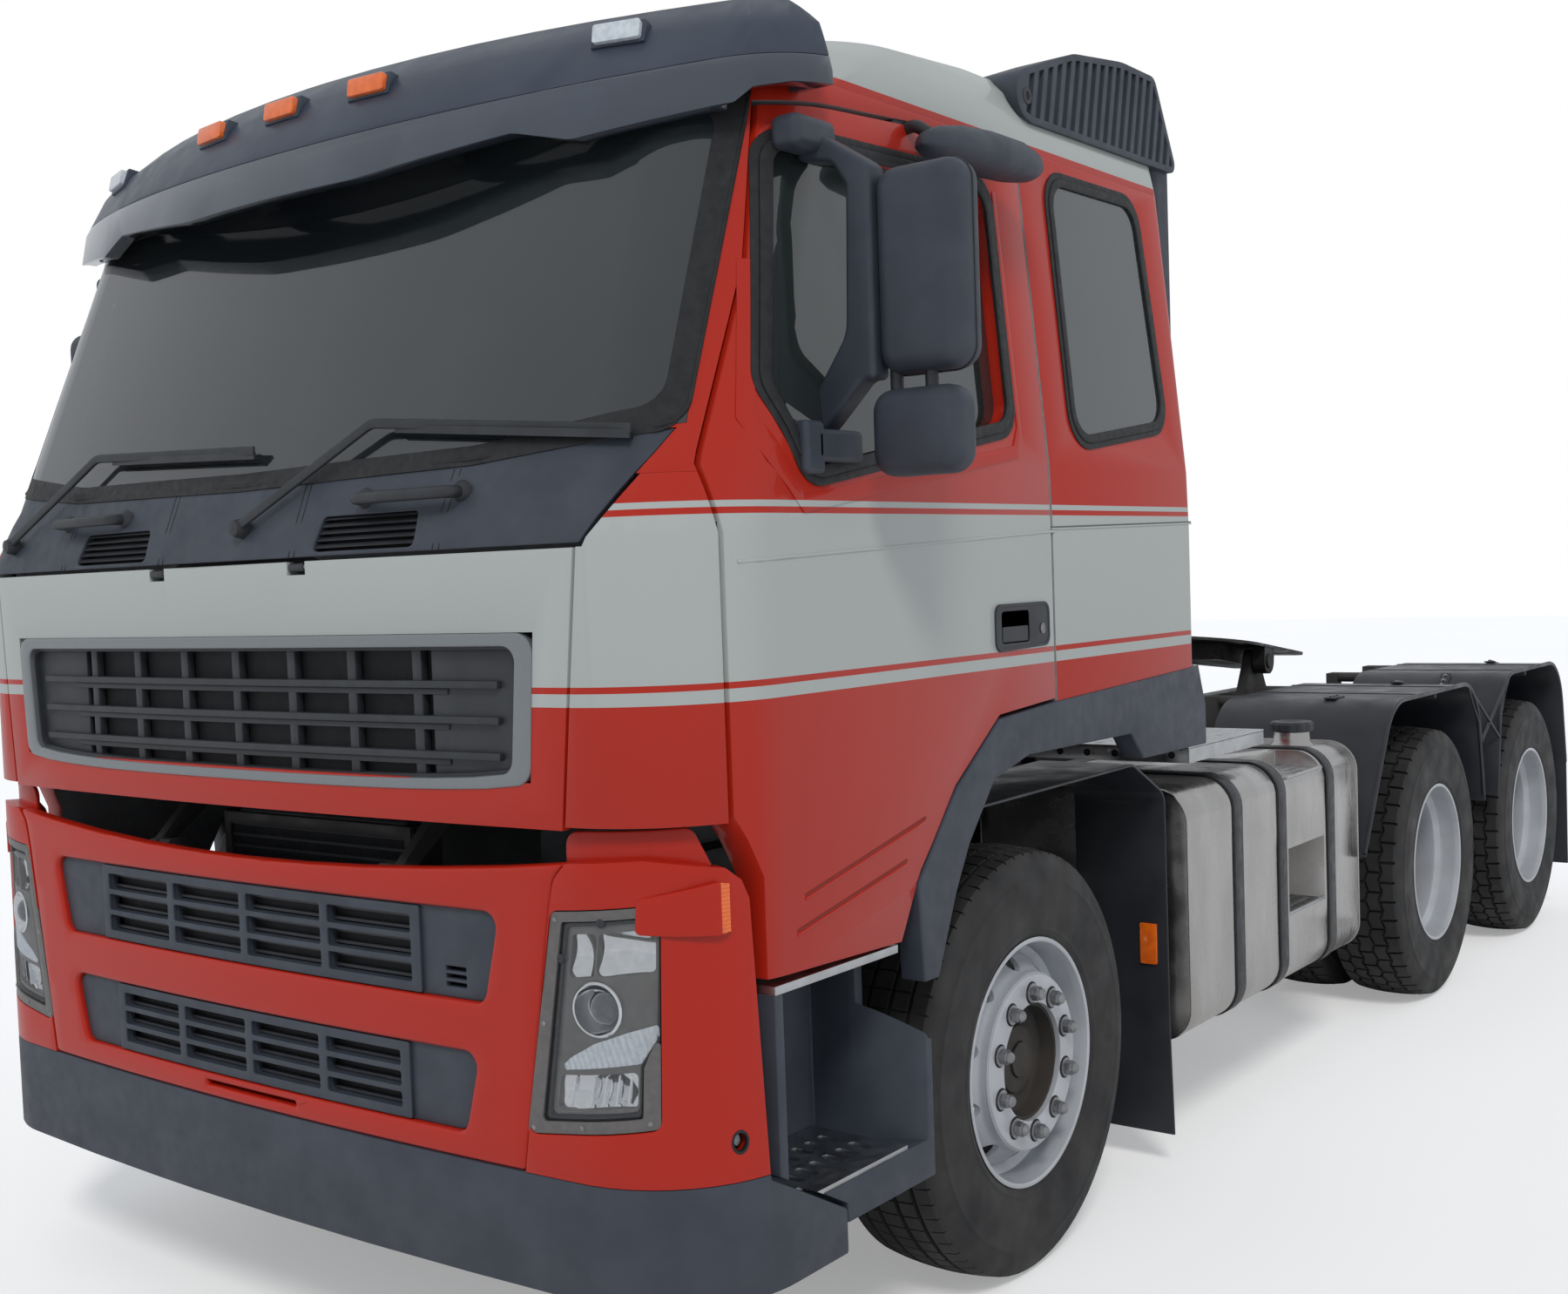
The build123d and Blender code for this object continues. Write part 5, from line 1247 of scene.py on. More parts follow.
flute_pitch = 0.0135    # of the ribbed band across the headlamp
ball_rise, ball_reach = 0.026, 0.031


def ball_lens():
    """Projector lens: a flattened half ball, made along +Z."""
    rings = []
    for angle in range(0, 91, 10):
        reach = ball_reach * cos(radians(angle)) if angle < 90 else 0.0004
        height = ball_rise * sin(radians(angle)) - 0.016
        rings.append([Vector((*p, height)) for p in oval((0, 0), (reach, reach), 28)])
    return closed(strip(rings), 1e-6)


def lamp_mirrors(top_left, top_right, fog):
    """Hollowed reflectors behind the three windows of the housing, and the fog lamp's fins."""
    mirrors = [skin(loop, [], dished(0.020, lamp_place(*share), reach, amount), 0.003, 0.008)
               for loop, share, reach, amount in ((top_left, (0.335, 0.80), (0.040, 0.050), 0.020),
                                                  (top_right, (0.70, 0.80), (0.080, 0.052), 0.032),
                                                  (fog, (0.55, 0.185), (0.085, 0.045), 0.022))]
    fins = []
    for s in (0.30, 0.47, 0.57, 0.67, 0.76):
        a, b = lamp_place(s, 0.120), lamp_place(s + 0.02, 0.250)
        fins.append(skin([a, (a.x + 0.004, a.y), (b.x + 0.004, b.y), b], [], on_wrap(0.017), 0.018, 0.02))
    return [*mirrors, joined(*fins)]


# Outlines on the headlamp, as (s, t) places
lamp_plate = ((0.0, 0.0), (1.0, 0.0), (1.0, 0.42), (0.925, 0.345), (0.885, 0.285), (0.885, 0.055),
              (0.115, 0.055), (0.115, 0.955), (1.0, 0.955), (1.0, 1.0), (0.0, 1.0))
lamp_border = ((0.115, 0.052), (0.890, 0.052), (0.892, 0.288), (0.997, 0.372), (0.997, 0.957), (0.115, 0.957))
lamp_border_hole = ((0.165, 0.078), (0.855, 0.078), (0.858, 0.292), (0.990, 0.402), (0.990, 0.933),
                    (0.165, 0.933))
lamp_housing = ((0.165, 0.075), (0.855, 0.075), (0.860, 0.290), (0.992, 0.400), (0.992, 0.935), (0.165, 0.935))
lamp_well = ((0.17, 0.085), (0.84, 0.085), (0.97, 0.32), (0.995, 0.93), (0.17, 0.93))
lamp_cover = ((0.150, 0.068), (0.868, 0.068), (0.872, 0.292), (0.997, 0.402), (0.997, 0.948), (0.150, 0.948))
lamp_band = ((0.190, 0.285), (0.860, 0.300), (0.995, 0.420), (0.995, 0.468), (0.760, 0.445), (0.500, 0.405),
             (0.300, 0.345))
lamp_screws = ((0.045, 0.965), (0.045, 0.50), (0.045, 0.025), (0.45, 0.028), (0.93, 0.03))
lamp_knobs = ((0.142, 0.79), (0.50, 0.944))


def headlamp_parts():
    """Headlamp from its plate inwards: border, housing with reflectors, projector, ribbed band, cover."""
    whole = rect((0, 0), (1, 1))
    plate = skin(lamp_loop(lamp_plate, 0.008), [], on_wrap(0.0015), 0.010, 0.03)
    bed = skin(lamp_loop(whole, 0.02), [], on_wrap(0.066), 0.006, 0.05)
    wall = skin(lamp_loop(whole, 0.02), [lamp_loop(lamp_well, 0.01)], on_wrap(0.010), 0.058, 0.05)
    top_left = lamp_loop(rect((0.215, 0.700), (0.455, 0.895)), 0.010)
    top_right = lamp_loop(rect((0.475, 0.700), (0.965, 0.895)), 0.012)
    fog = lamp_loop(rect((0.215, 0.105), (0.840, 0.262)), 0.010)
    ball = lamp_place(0.50, 0.555)
    band = lamp_loop(lamp_band, 0.006)
    housing = skin(lamp_loop(lamp_housing, 0.008), [top_left, top_right, oval(ball, (0.050, 0.0545), 32), fog, band],
                   on_wrap(0.012), 0.020, 0.03)
    ring = moved(turned(((-0.012, 0.0535), (0.004, 0.0535), (0.006, 0.0515), (0.006, 0.0480), (-0.006, 0.0440),
                         (-0.018, 0.0330), (-0.020, 0.0300), (-0.022, 0.0300), (-0.022, 0.0535)),
                        (0, 0, 0), "Z", 40), facing(ball.x, ball.y, 0.014))
    ribbed = skin(band, [], lambda u, z, d: wrap_point(
        u, z, d + 0.010 + 0.0018 * sin((u + 0.35 * z) * 2 * pi / flute_pitch)), 0.006, 0.0035)
    border = skin(lamp_loop(lamp_border, 0.008), [lamp_loop(lamp_border_hole, 0.008)], on_wrap(0.0068), 0.010, 0.03)
    knobs = []
    for s, t in lamp_knobs:
        at = lamp_place(s, t)
        knob = turned(((0.0, 0.001), (0.0, 0.010), (0.008, 0.009), (0.010, 0.006), (0.010, 0.001)),
                      (0, 0, 0), "Z", 14)
        knobs.append(moved(knob, facing(at.x, at.y, 0.010)))
    cover = skin(lamp_loop(lamp_cover, 0.008), [], on_wrap(0.0035), 0.002, 0.04)
    points = []
    for s, t in lamp_screws:
        at = lamp_place(s, t)
        here = wrap_point(at.x, at.y, 0.0015)
        points.append((here, wrap_point(at.x, at.y, -0.01) - here))
    return [(rounded(plate, 0.0015, 2), "lamp_grey"), (bed, "deep_black"), (wall, "deep_black"),
            (rounded(border, 0.0015, 2), "deep_black"), (joined(*knobs), "slat_plastic"),
            (rounded(housing, 0.0015, 2), "lamp_grey"),
            *[(piece, "lamp_chrome") for piece in lamp_mirrors(top_left, top_right, fog)],
            (ring, "lamp_chrome"), (moved(ball_lens(), facing(ball.x + 0.010, ball.y, 0.014)), "projector_glass"),
            (ribbed, "white_lens"), (cover, "clear_lens"),
            (set_on(points, domed_screw(0.0055, 0.0025), "bolt_steel"), "bolt_steel")]


def bumper_insert(top, bottom, top_half, low_half, centre_half, vented):
    """Dark grille of the bumper: four columns and three rows between blank ends."""
    rows, columns, edge = 3, 4, 0.001
    height = top - bottom

    def half_at(z):
        return low_half + (top_half - low_half) * (z - bottom) / height - edge
    outline = bow([(half_at(bottom), bottom + edge), (half_at(top), top - edge),
                   (-half_at(top), top - edge), (-half_at(bottom), bottom + edge)], 0.030)
    row_room, column_room = (height - 0.034) / rows, (2 * centre_half - 0.030) / columns
    cells = []
    for row in range(rows):
        for column in range(columns):
            left = -centre_half + 0.015 + column * column_room + 0.012
            low = bottom + 0.017 + row * row_room + 0.006
            cells.append(bow(rect((left, low), (left + column_room - 0.024, low + row_room - 0.012)), 0.005, 2))
    vent = [bow(rect((centre_half + 0.062, bottom + 0.022 + i * 0.016),
                     (centre_half + 0.118, bottom + 0.032 + i * 0.016)), 0.002, 2) for i in range(3)]
    grid = skin(outline, [*cells, *(vent if vented else [])], on_front(0.014), 0.018, 0.06)
    raised = skin(bow(rect((-centre_half, bottom + 0.003), (centre_half, top - 0.003)), 0.004, 2),
                  cells, on_front(0.006), 0.010, 0.06)
    levels = [bottom + 0.017 + (row + 0.5) * row_room / 2 for row in range(rows * 2)]
    slats = [front_bar((-centre_half + 0.02, centre_half - 0.02), (z - 0.003, z + 0.003), 0.026, 0.012)
             for z in levels]
    return [(rounded(grid, 0.002, 2, 40), "dark_plastic"), (rounded(raised, 0.002, 2, 40), "dark_plastic"),
            (skin(outline, [], on_front(0.042), 0.003, 0.09), "deep_black"), (joined(*slats), "slat_plastic")]


centre = put("bumper_centre", [(bumper_centre(), "orange_paint")], "chassis", "body_paint", 30)
corners = both_hands("bumper_corner", lambda: [(bumper_corner(), "orange_paint"),
                                               (bumper_shoulder(), "orange_paint"), *eye_ring(), *side_pod()],
                     ("chassis", "chassis"), "body_paint", 30)
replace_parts(centre, "bumper")
lamps = both_hands("headlamp", headlamp_parts, ("chassis", "chassis"), "lamp_clear", 30)
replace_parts(lamps[0], "headlamps")
inserts = put("bumper_inserts", [*bumper_insert(1.073, 0.890, 0.782, 0.737, 0.565, True),
                                 *bumper_insert(0.789, 0.625, 0.717, 0.673, 0.520, False)],
              "chassis", "dark_plastic", 30)
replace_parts(inserts, "bumper_grilles")


# ---- frame pieces with their hard edges rounded: node, finish, body, slot, width of the rounding ----
soft_nodes = (
    ("corner_panels", "cab_paint", "cab", "body_paint", 0.0025),
    ("cab_shell", "cab_paint", "cab", "body_paint", 0.0025),
    ("cab_roof", "cab_paint", "cab", "body_paint", 0.004),
    ("front_panel", "cab_paint", "front_hatch", "body_paint", 0.003),
    ("visor_hood", "visor_plastic", "cab", "dark_plastic", 0.005),
    ("visor_lip", "smoked_acrylic", "cab", "visor_smoke", 0.004),
    ("arch_trims", "dark_plastic", "cab", "dark_plastic", 0.005),
    ("bumper_apron", "dark_plastic", "chassis", "dark_plastic", 0.006),
    ("step_boxes", "dark_plastic", "chassis", "dark_plastic", 0.004),
    ("step_treads", "tread_aluminium", "chassis", "tread_alloy", 0.002),
    ("tank_straps", "strap_paint", "chassis", "strap_black", 0.002),
    ("mudguard_brackets", "frame_paint", "chassis", "frame_steel", 0.003),
    ("frame_rails", "frame_paint", "chassis", "frame_steel", 0.002),
    ("silencer", "tank_aluminium", "chassis", "tank_alloy", 0.006),
)
for node, paint, body, slot, width in soft_nodes:
    softened(node, finish[paint], body, width, slot=slot)


def landed(node):
    """Finder of the places where rays meet a frame piece."""
    mesh = frame_copy(node, 0)
    points = [v.co.copy() for v in mesh.vertices]
    tree = BVHTree.FromPolygons(points, [tuple(p.vertices) for p in mesh.polygons])
    bpy.data.meshes.remove(mesh)

    def find(start, ahead, lift=0.0):
        """Place and direction where a ray from start lands, lifted off the surface; None if it misses."""
        here, out, *_ = tree.ray_cast(Vector(start), Vector(ahead).normalized())
        if here is None:
            return None
        if out.dot(Vector(ahead)) > 0:
            out = -out
        return here + out * lift, out
    return find


def axes_at(here, out, up=(0, 0, 1)):
    """Matrix that stands a piece made along +Z on a surface."""
    out = Vector(out).normalized()
    across = Vector(up).cross(out).normalized()
    return Matrix.Translation(here) @ Matrix((across, out.cross(across), out)).transposed().to_4x4()


# ---- windscreen's rubber and shade ----
screen_loop = ((1.139, 1.998, 0.045), (1.107, 2.689, 0.05), (-1.107, 2.689, 0.05), (-1.139, 1.998, 0.045),
               (-0.70, 1.957, 0.5), (0.0, 1.945, 1.5), (0.70, 1.957, 0.5))
clear_loop = ((1.097, 2.038, 0.05), (1.066, 2.645, 0.06), (-1.066, 2.645, 0.06), (-1.097, 2.038, 0.05),
              (-0.70, 1.985, 0.5), (0.0, 1.973, 1.5), (0.70, 1.985, 0.5))


def screen_parts():
    """Rubber band and lip round the windscreen, and the dark shade along its top."""
    reach = [(p.x, p.y - (0.012 if p.y < 2.01 else 0.0)) for p in bow(screen_loop, 0)]
    band = skin(reach, [bow(clear_loop, 0)], on_front(-0.0030), 0.0050, 0.05)
    lip = [front_point(p.x, p.y, -0.002) for p in bow(screen_loop, 0)]
    wave = [Vector((x, 2.600 + 0.028 * cos(x * 4.6) - 0.02 * (abs(x) < 0.28) * cos(x * 5.6)))
            for x in [1.06 - i * 0.053 for i in range(41)]]
    shade = skin([*wave, Vector((-1.06, 2.66)), Vector((1.06, 2.66))], [], on_front(0.0064), 0.001, 0.06)
    return [(rounded(band, 0.001, 1, 40), "seal_rubber"), (along(lip, ring_section(0.0045, 8), True), "seal_rubber"),
            (shade, "deep_black")]


put("windscreen_rubber", screen_parts(), "cab")

# ---- cowl under the windscreen ----
cowl_loop = ((-0.930, 1.7805), (-1.019, 1.7805), (-1.127, 1.989), (-0.700, 1.9475), (0.0, 1.9355),
             (0.700, 1.9475), (1.127, 1.989), (1.019, 1.7805), (0.930, 1.7805))
cowl_vent = (0.300, 0.600)    # x of a vent's two ends
louvre_count, louvre_low, louvre_pitch, louvre_height = 5, 1.797, 0.0145, 0.009
cowl_seams = (-0.672, -0.655, -0.245, -0.228, 0.2255, 0.2425, 0.6525, 0.6695)
grab_ends, grab_height = (0.430, 0.696), 1.893
grab_run = ((0.430, 0.002), (0.430, -0.040), (0.563, -0.047), (0.696, -0.040), (0.696, 0.002))


def cowl_parts():
    """Panel under the windscreen with its two louvred vents, seams and grab handles."""
    vents, bars = [], []
    for side in (-1, 1):
        near, far = cowl_vent[0] * side, cowl_vent[1] * side
        vents.append(bow([(near, 1.790), (far, 1.790), (far - 0.012 * side, 1.862), (near + 0.012 * side, 1.862)],
                         0.012, 3))
        for index in range(louvre_count):
            z = louvre_low + index * louvre_pitch
            bar = rect((near + 0.004 * side, z), (far - 0.004 * side, z + louvre_height))
            bars.append(skin(bar, [], lambda x, v, d, z=z: front_point(x, v, d + 0.003 + (v - z) * 1.1), 0.012, 0.06))
    panel = rounded(skin([Vector(p) for p in cowl_loop], vents, on_front(0.0), 0.030), 0.004, 3, 40)
    back = [skin(vent, [], on_front(0.026), 0.002, 0.08) for vent in vents]
    seams = [front_bar((x, x + 0.0025), (1.7815, 1.9405), -0.0004, 0.001) for x in cowl_seams]
    handles, feet = [], []
    for side in (-1, 1):
        path = bent([front_point(x * side, grab_height, depth) for x, depth in grab_run], 0.03)
        handles.append(tube(path, 0.0125, 12))
        for x in grab_ends:
            here = front_point(x * side, grab_height)
            out = front_point(x * side, grab_height, -0.02) - here
            foot = turned(((0.0, 0.001), (0.0, 0.024), (0.006, 0.022), (0.016, 0.014), (0.016, 0.001)),
                          (0, 0, 0), "Z", 16)
            feet.append(moved(foot, axes_at(here, out)))
    return [(panel, "dark_plastic"), (joined(*bars), "slat_plastic"), (joined(*back), "deep_black"),
            (joined(*seams), "deep_black"), (joined(*handles), "slat_plastic"), (joined(*feet), "slat_plastic")]


cowl = put("cowl_finished", cowl_parts(), "cab", "dark_plastic")
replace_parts(cowl, "cowl")


def wiper(pivot, elbow, tip):
    """Arm from its pivot over an elbow, with the blade under its outer run."""
    base = front_point(*pivot, 0.0)
    out = (front_point(*pivot, -0.02) - base).normalized()
    hub = turned(((0.0, 0.001), (0.0, 0.023), (0.016, 0.021), (0.024, 0.019), (0.032, 0.016), (0.034, 0.001)),
                 (0, 0, 0), "Z", 20)
    path = bent([front_point(*pivot, -0.026), front_point(*elbow, -0.034), front_point(*tip, -0.026)], 0.05)
    middle = [elbow[i] + (tip[i] - elbow[i]) * 0.10 for i in (0, 1)]
    bar = along(path, [(a * 0.5, b * 0.5) for a, b in ((-0.022, -0.008), (0.022, -0.008), (0.018, 0.008),
                                                       (-0.018, 0.008))], up=out)
    steps = 14
    line = [[middle[i] + (tip[i] - middle[i]) * step / steps for i in (0, 1)] for step in range(steps + 1)]
    blade = along([front_point(x, z - 0.012, -0.010) for x, z in line],
                  [(-0.006, -0.008), (0.006, -0.008), (0.003, 0.008), (-0.003, 0.008)], up=out)
    spine = along([front_point(x, z - 0.010, -0.021) for x, z in line],
                  [(-0.008, -0.003), (0.008, -0.003), (0.008, 0.003), (-0.008, 0.003)], up=out)
    return [(moved(hub, axes_at(base, out)), "slat_plastic"), (rounded(bar, 0.002, 2, 40), "slat_plastic"),
            (blade, "seal_rubber"), (spine, "slat_plastic")]


left_wiper = wiper(pivot=(0.055, 1.850), elbow=(0.417, 2.050), tip=(1.060, 1.990))
right_wiper = wiper(pivot=(-0.946, 1.850), elbow=(-0.608, 2.050), tip=(0.047, 2.020))
put("wipers", [*left_wiper, *right_wiper], "cab")

# ---- lamps on the visor ----
on_hood = landed("visor_hood")


hood_lamp_places = ((0.0, 2.792, "amber_lens"), (0.277, 2.792, "amber_lens"), (-0.277, 2.792, "amber_lens"),
                    (0.875, 2.802, "white_lens"), (-0.875, 2.802, "white_lens"))


def hood_lamps():
    """Marker lamps on wedge feet, stood on the visor where a level ray meets it."""
    parts = []
    for x, z, paint in hood_lamp_places:
        here, out = on_hood((x, -2.0, z), (0, 1, 0))
        stand = axes_at(here, (out.x, out.y, 0.15))
        block = crate((-0.052, -0.020, -0.014), (0.052, 0.020, 0.024), 0.006)
        wedge = prism([(-0.026, -0.012), (0.026, -0.040), (0.026, 0.008), (-0.026, 0.014)], -0.060, 0.060, "YZ")
        parts += [(rounded(moved(block, stand), 0.004, 3), paint),
                  (rounded(moved(wedge, stand), 0.004, 2), "visor_plastic")]
    return parts


put("visor_lamps", hood_lamps(), "cab")


# ---- behind the grille and in the gap under the hatch ----
core_half, core_front, core_low, core_high = 0.332, -1.150, 0.563, 1.188
fin_count, fin_pitch, tube_count, tube_pitch = 107, 0.006, 22, 0.0265


def cooling_parts():
    """Radiator seen through the openings: fins and tubes before a dark core, frame, top tank and neck."""
    fin = crate((-0.0009, core_front - 0.006, 0.575), (0.0009, core_front, 1.175))
    fins = repeated("row", moved(fin, Matrix.Translation((-fin_pitch * (fin_count - 1) / 2, 0, 0))), "slat_plastic",
                    Count=fin_count, Pitch=(fin_pitch, 0.0, 0.0))
    core = crate((-core_half, core_front, core_low), (core_half, -1.073, core_high))
    tubes = repeated("row", crate((-0.32, core_front - 0.0075, 0.60), (0.32, core_front - 0.0045, 0.606)),
                     "slat_plastic", Count=tube_count, Pitch=(0.0, 0.0, tube_pitch))
    rim, hole = rect((-0.334, 0.562), (0.334, 1.189)), rect((-0.312, 0.590), (0.312, 1.160))
    edge = skin(rim, [hole], lambda x, z, d: Vector((x, core_front - 0.016 + d, z)), 0.012, 0.1)
    tank = crate((-0.30, -1.148, 1.150), (0.30, -1.085, 1.198), 0.012)
    neck = turned(((0.0, 0.001), (0.0, 0.026), (0.020, 0.026), (0.024, 0.022), (0.024, 0.001)),
                  (0.20, -1.115, 1.195), "Z", 24)
    return [(core, "deep_black"), (fins, "slat_plastic"), (tubes, "slat_plastic"),
            (rounded(edge, 0.003, 2), "frame_paint"), (rounded(tank, 0.01, 3, 40), "slat_plastic"),
            (neck, "slat_plastic")]


cooling = put("radiator_finished", cooling_parts(), "chassis", "radiator_alloy")
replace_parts(cooling, "radiator")


def gap_parts():
    """Dark cover behind the hatch's lower edge on each side, over the cab's front wall."""
    near, far = 0.560, 0.900
    return [(front_bar(sorted((near * side, far * side)), (1.262, 1.300), 0.070, 0.010), "slat_plastic")
            for side in (-1, 1)]


put("hatch_gap_cover", gap_parts(), "cab")


# ---- doors, windows and mirrors ----
def on_side(start):
    """Side of the cab, moved in by a depth."""
    return lambda y, z, depth: side_point(y, z, depth + start)


def wider(loop, amount):
    """Outline moved out (in if negative) by an even amount."""
    points = [Vector(p[:2]) for p in loop]
    area = sum(a.x * b.y - b.x * a.y for a, b in zip(points, points[1:] + points[:1]))
    way = 1 if area > 0 else -1
    out = []
    for index, here in enumerate(points):
        into = (here - points[index - 1]).normalized()
        away = (points[(index + 1) % len(points)] - here).normalized()
        normal = Vector((into.y, -into.x)) * way
        other = Vector((away.y, -away.x)) * way
        share = max(0.35, 1 + normal.dot(other))
        out.append(here + (normal + other) * (amount / share))
    return out


door_window = ((-0.900, 1.907), (-0.995, 2.075), (-0.870, 2.561), (-0.090, 2.585), (-0.090, 2.039))
quarter_window = ((0.240, 2.010), (0.240, 2.649), (0.718, 2.653), (0.764, 2.077))


def window_rubber(window, radius, wide, step):
    """Two-step rubber round a window."""
    outer = bow(wider(window, wide), radius + wide * 0.8)
    middle = bow(wider(window, step), radius + step)
    inner = bow(wider(window, -0.007), radius - 0.006)
    low = skin(outer, [middle], on_side(-0.0035), 0.0042, 0.05)
    high = skin(middle, [inner], on_side(-0.0065), 0.0085, 0.05)
    return [(rounded(low, 0.0014, 2, 40), "seal_rubber"), (rounded(high, 0.0022, 2, 40), "seal_rubber")]


handle_low, handle_high = (-0.199, 1.515), (0.051, 1.617)


def handle_loop(inset, radius):
    """Outline of the handle's plate, its lower edge rising a little to the rear."""
    front, rear = handle_low[0] + inset, handle_high[0] - inset
    foot, top = handle_low[1] + inset, handle_high[1] - inset
    return bow([(front, foot), (rear, foot + 0.006), (rear, top), (front, top)], radius)


def door_handle():
    """Dark plate with its cup, the pull flap and the lock's barrel."""
    cup = bow(rect((-0.176, 1.530), (-0.045, 1.604)), 0.010)
    plate = rounded(skin(handle_loop(0.0, 0.020), [cup], on_side(-0.0035), 0.010, 0.04), 0.003, 3, 40)
    edge = rounded(skin(handle_loop(-0.004, 0.024), [handle_loop(0.004, 0.018)], on_side(-0.0050), 0.006, 0.04),
                   0.002, 2, 40)
    well = skin(cup, [], on_side(-0.0016), 0.0, 0.001)
    flap = rounded(skin(bow(rect((-0.170, 1.533), (-0.050, 1.568)), 0.004), [], on_side(-0.002), 0.012, 0.03),
                   0.003, 2, 40)
    here, out = side_point(0.018, 1.558, -0.003), Vector((1, 0, 0))
    barrel = turned(((0.0, 0.001), (0.0, 0.0125), (0.003, 0.0125), (0.004, 0.010), (0.0025, 0.009),
                     (0.0025, 0.001)), (0, 0, 0), "Z", 20)
    return [(plate, "slat_plastic"), (edge, "slat_plastic"), (well, "deep_black"), (flap, "slat_plastic"),
            (moved(barrel, axes_at(here, out)), "bolt_steel")]


def side_line(points, width, start, depth):
    """Narrow strip on the cab's side along points of (y, z)."""
    points = [Vector(p) for p in points]
    left, right = [], []
    for index, here in enumerate(points):
        ahead = (points[min(index + 1, len(points) - 1)] - points[max(index - 1, 0)]).normalized()
        across = Vector((-ahead.y, ahead.x)) * width / 2
        left.append(here + across)
        right.append(here - across)
    return skin([*left, *reversed(right)], [], on_side(start), depth, 0.05)


door_fold = ((-1.03, 1.925), (-1.075, 2.005), (-0.99, 2.32), (-0.958, 2.32), (-1.035, 2.02), (-0.93, 1.86),
             (-0.08, 1.985), (-0.055, 2.03), (-0.055, 2.58), (-0.040, 2.58), (-0.036, 2.00), (-0.06, 1.957),
             (-0.93, 1.825))
panel_creases = (((-0.97, 1.085), (-0.52, 1.178)), ((-1.0, 1.02), (-0.60, 1.098)))


def door_trim():
    """Window rubber, handle, the crease along the silver band, the fold round the window and two low creases."""
    parts = [*window_rubber(door_window, 0.060, 0.034, 0.018), *door_handle()]
    crease = side_line([(-1.130, 1.735), (-0.6, 1.757), (0.100, 1.787)], 0.006, -0.0022, 0.004)
    parts.append((rounded(crease, 0.0018, 2, 40), "cab_paint"))
    fold = skin(bow(door_fold, 0.01, 3), [], on_side(-0.0022), 0.004, 0.05)
    parts.append((rounded(fold, 0.0018, 2, 40), "cab_paint"))
    for low, high in panel_creases:
        raised = side_line([(low[0], low[1] - 0.008), (high[0], high[1] - 0.008)], 0.006, -0.002, 0.004)
        parts += [(side_line([low, high], 0.005, -0.0006, 0.002), "orange_shadow"),
                  (rounded(raised, 0.0015, 2, 40), "cab_paint")]
    return parts


for door in ("door_left", "door_right"):
    softened(door, finish["cab_paint"], door, 0.003, 35, "body_paint")
both_hands("door_trim", door_trim, ("door_left", "door_right"))


def quarter_trim():
    """Rubber of the rear side window and the crease behind the door with its shadow."""
    parts = window_rubber(quarter_window, 0.070, 0.030, 0.015)
    edge = side_line([(0.083, 1.792), (0.5, 1.799), (0.900, 1.8057)], 0.005, -0.0022, 0.004)
    parts.append((rounded(edge, 0.0018, 2, 40), "cab_paint"))
    parts.append((side_line([(0.083, 1.7965), (0.5, 1.8035), (0.900, 1.8102)], 0.0035, -0.0007, 0.002),
                  "paint_shadow"))
    return parts


both_hands("quarter_trim", quarter_trim, ("cab", "cab"))


def pillow(low, high, radius, soft, bulge):
    """Housing with its outline rounded, its edges soft and its front swelled."""
    mesh = rounded(crate(low, high, radius, 8, upright=(0, 2, 1)), soft, 6, 40)
    middle = (Vector(low) + Vector(high)) / 2
    half = (Vector(high) - Vector(low)) / 2
    for vertex in mesh.vertices:
        x, z = (vertex.co.x - middle.x) / half.x, (vertex.co.z - middle.z) / half.z
        if vertex.co.y < middle.y:
            vertex.co.y -= bulge * max(0.0, 1 - x * x) ** 0.5 * max(0.0, 1 - z * z) ** 0.5
    return mesh


mirror_low, mirror_high = (1.326, -0.782, 2.092), (1.5245, -0.690, 2.494)
wide_low, wide_high = (1.305, -0.782, 1.892), (1.510, -0.700, 2.064)
mirror_glasses = (((1.345, -0.6895, 2.125), (1.505, -0.6865, 2.465)),
                  ((1.325, -0.6995, 1.915), (1.490, -0.6965, 2.042)))
mirror_column = ((1.272, 2.470), (1.262, 2.180, 0.08), (1.150, 2.020, 0.05), (1.140, 1.975), (1.175, 1.965),
                 (1.225, 2.012, 0.05), (1.300, 2.085, 0.03), (1.330, 2.085), (1.330, 2.500), (1.318, 2.512),
                 (1.205, 2.585, 0.03), (1.160, 2.590), (1.160, 2.535), (1.240, 2.520, 0.03))   # x, z
mirror_feet = (((1.150, -0.875, 2.545), (1.222, -0.735, 2.612), 0.02, 0.018),
               ((1.160, -0.900, 1.925), (1.262, -0.735, 1.990), 0.012, 0.012),
               ((1.205, -0.935, 1.900), (1.262, -0.870, 2.005), 0.012, 0.014))


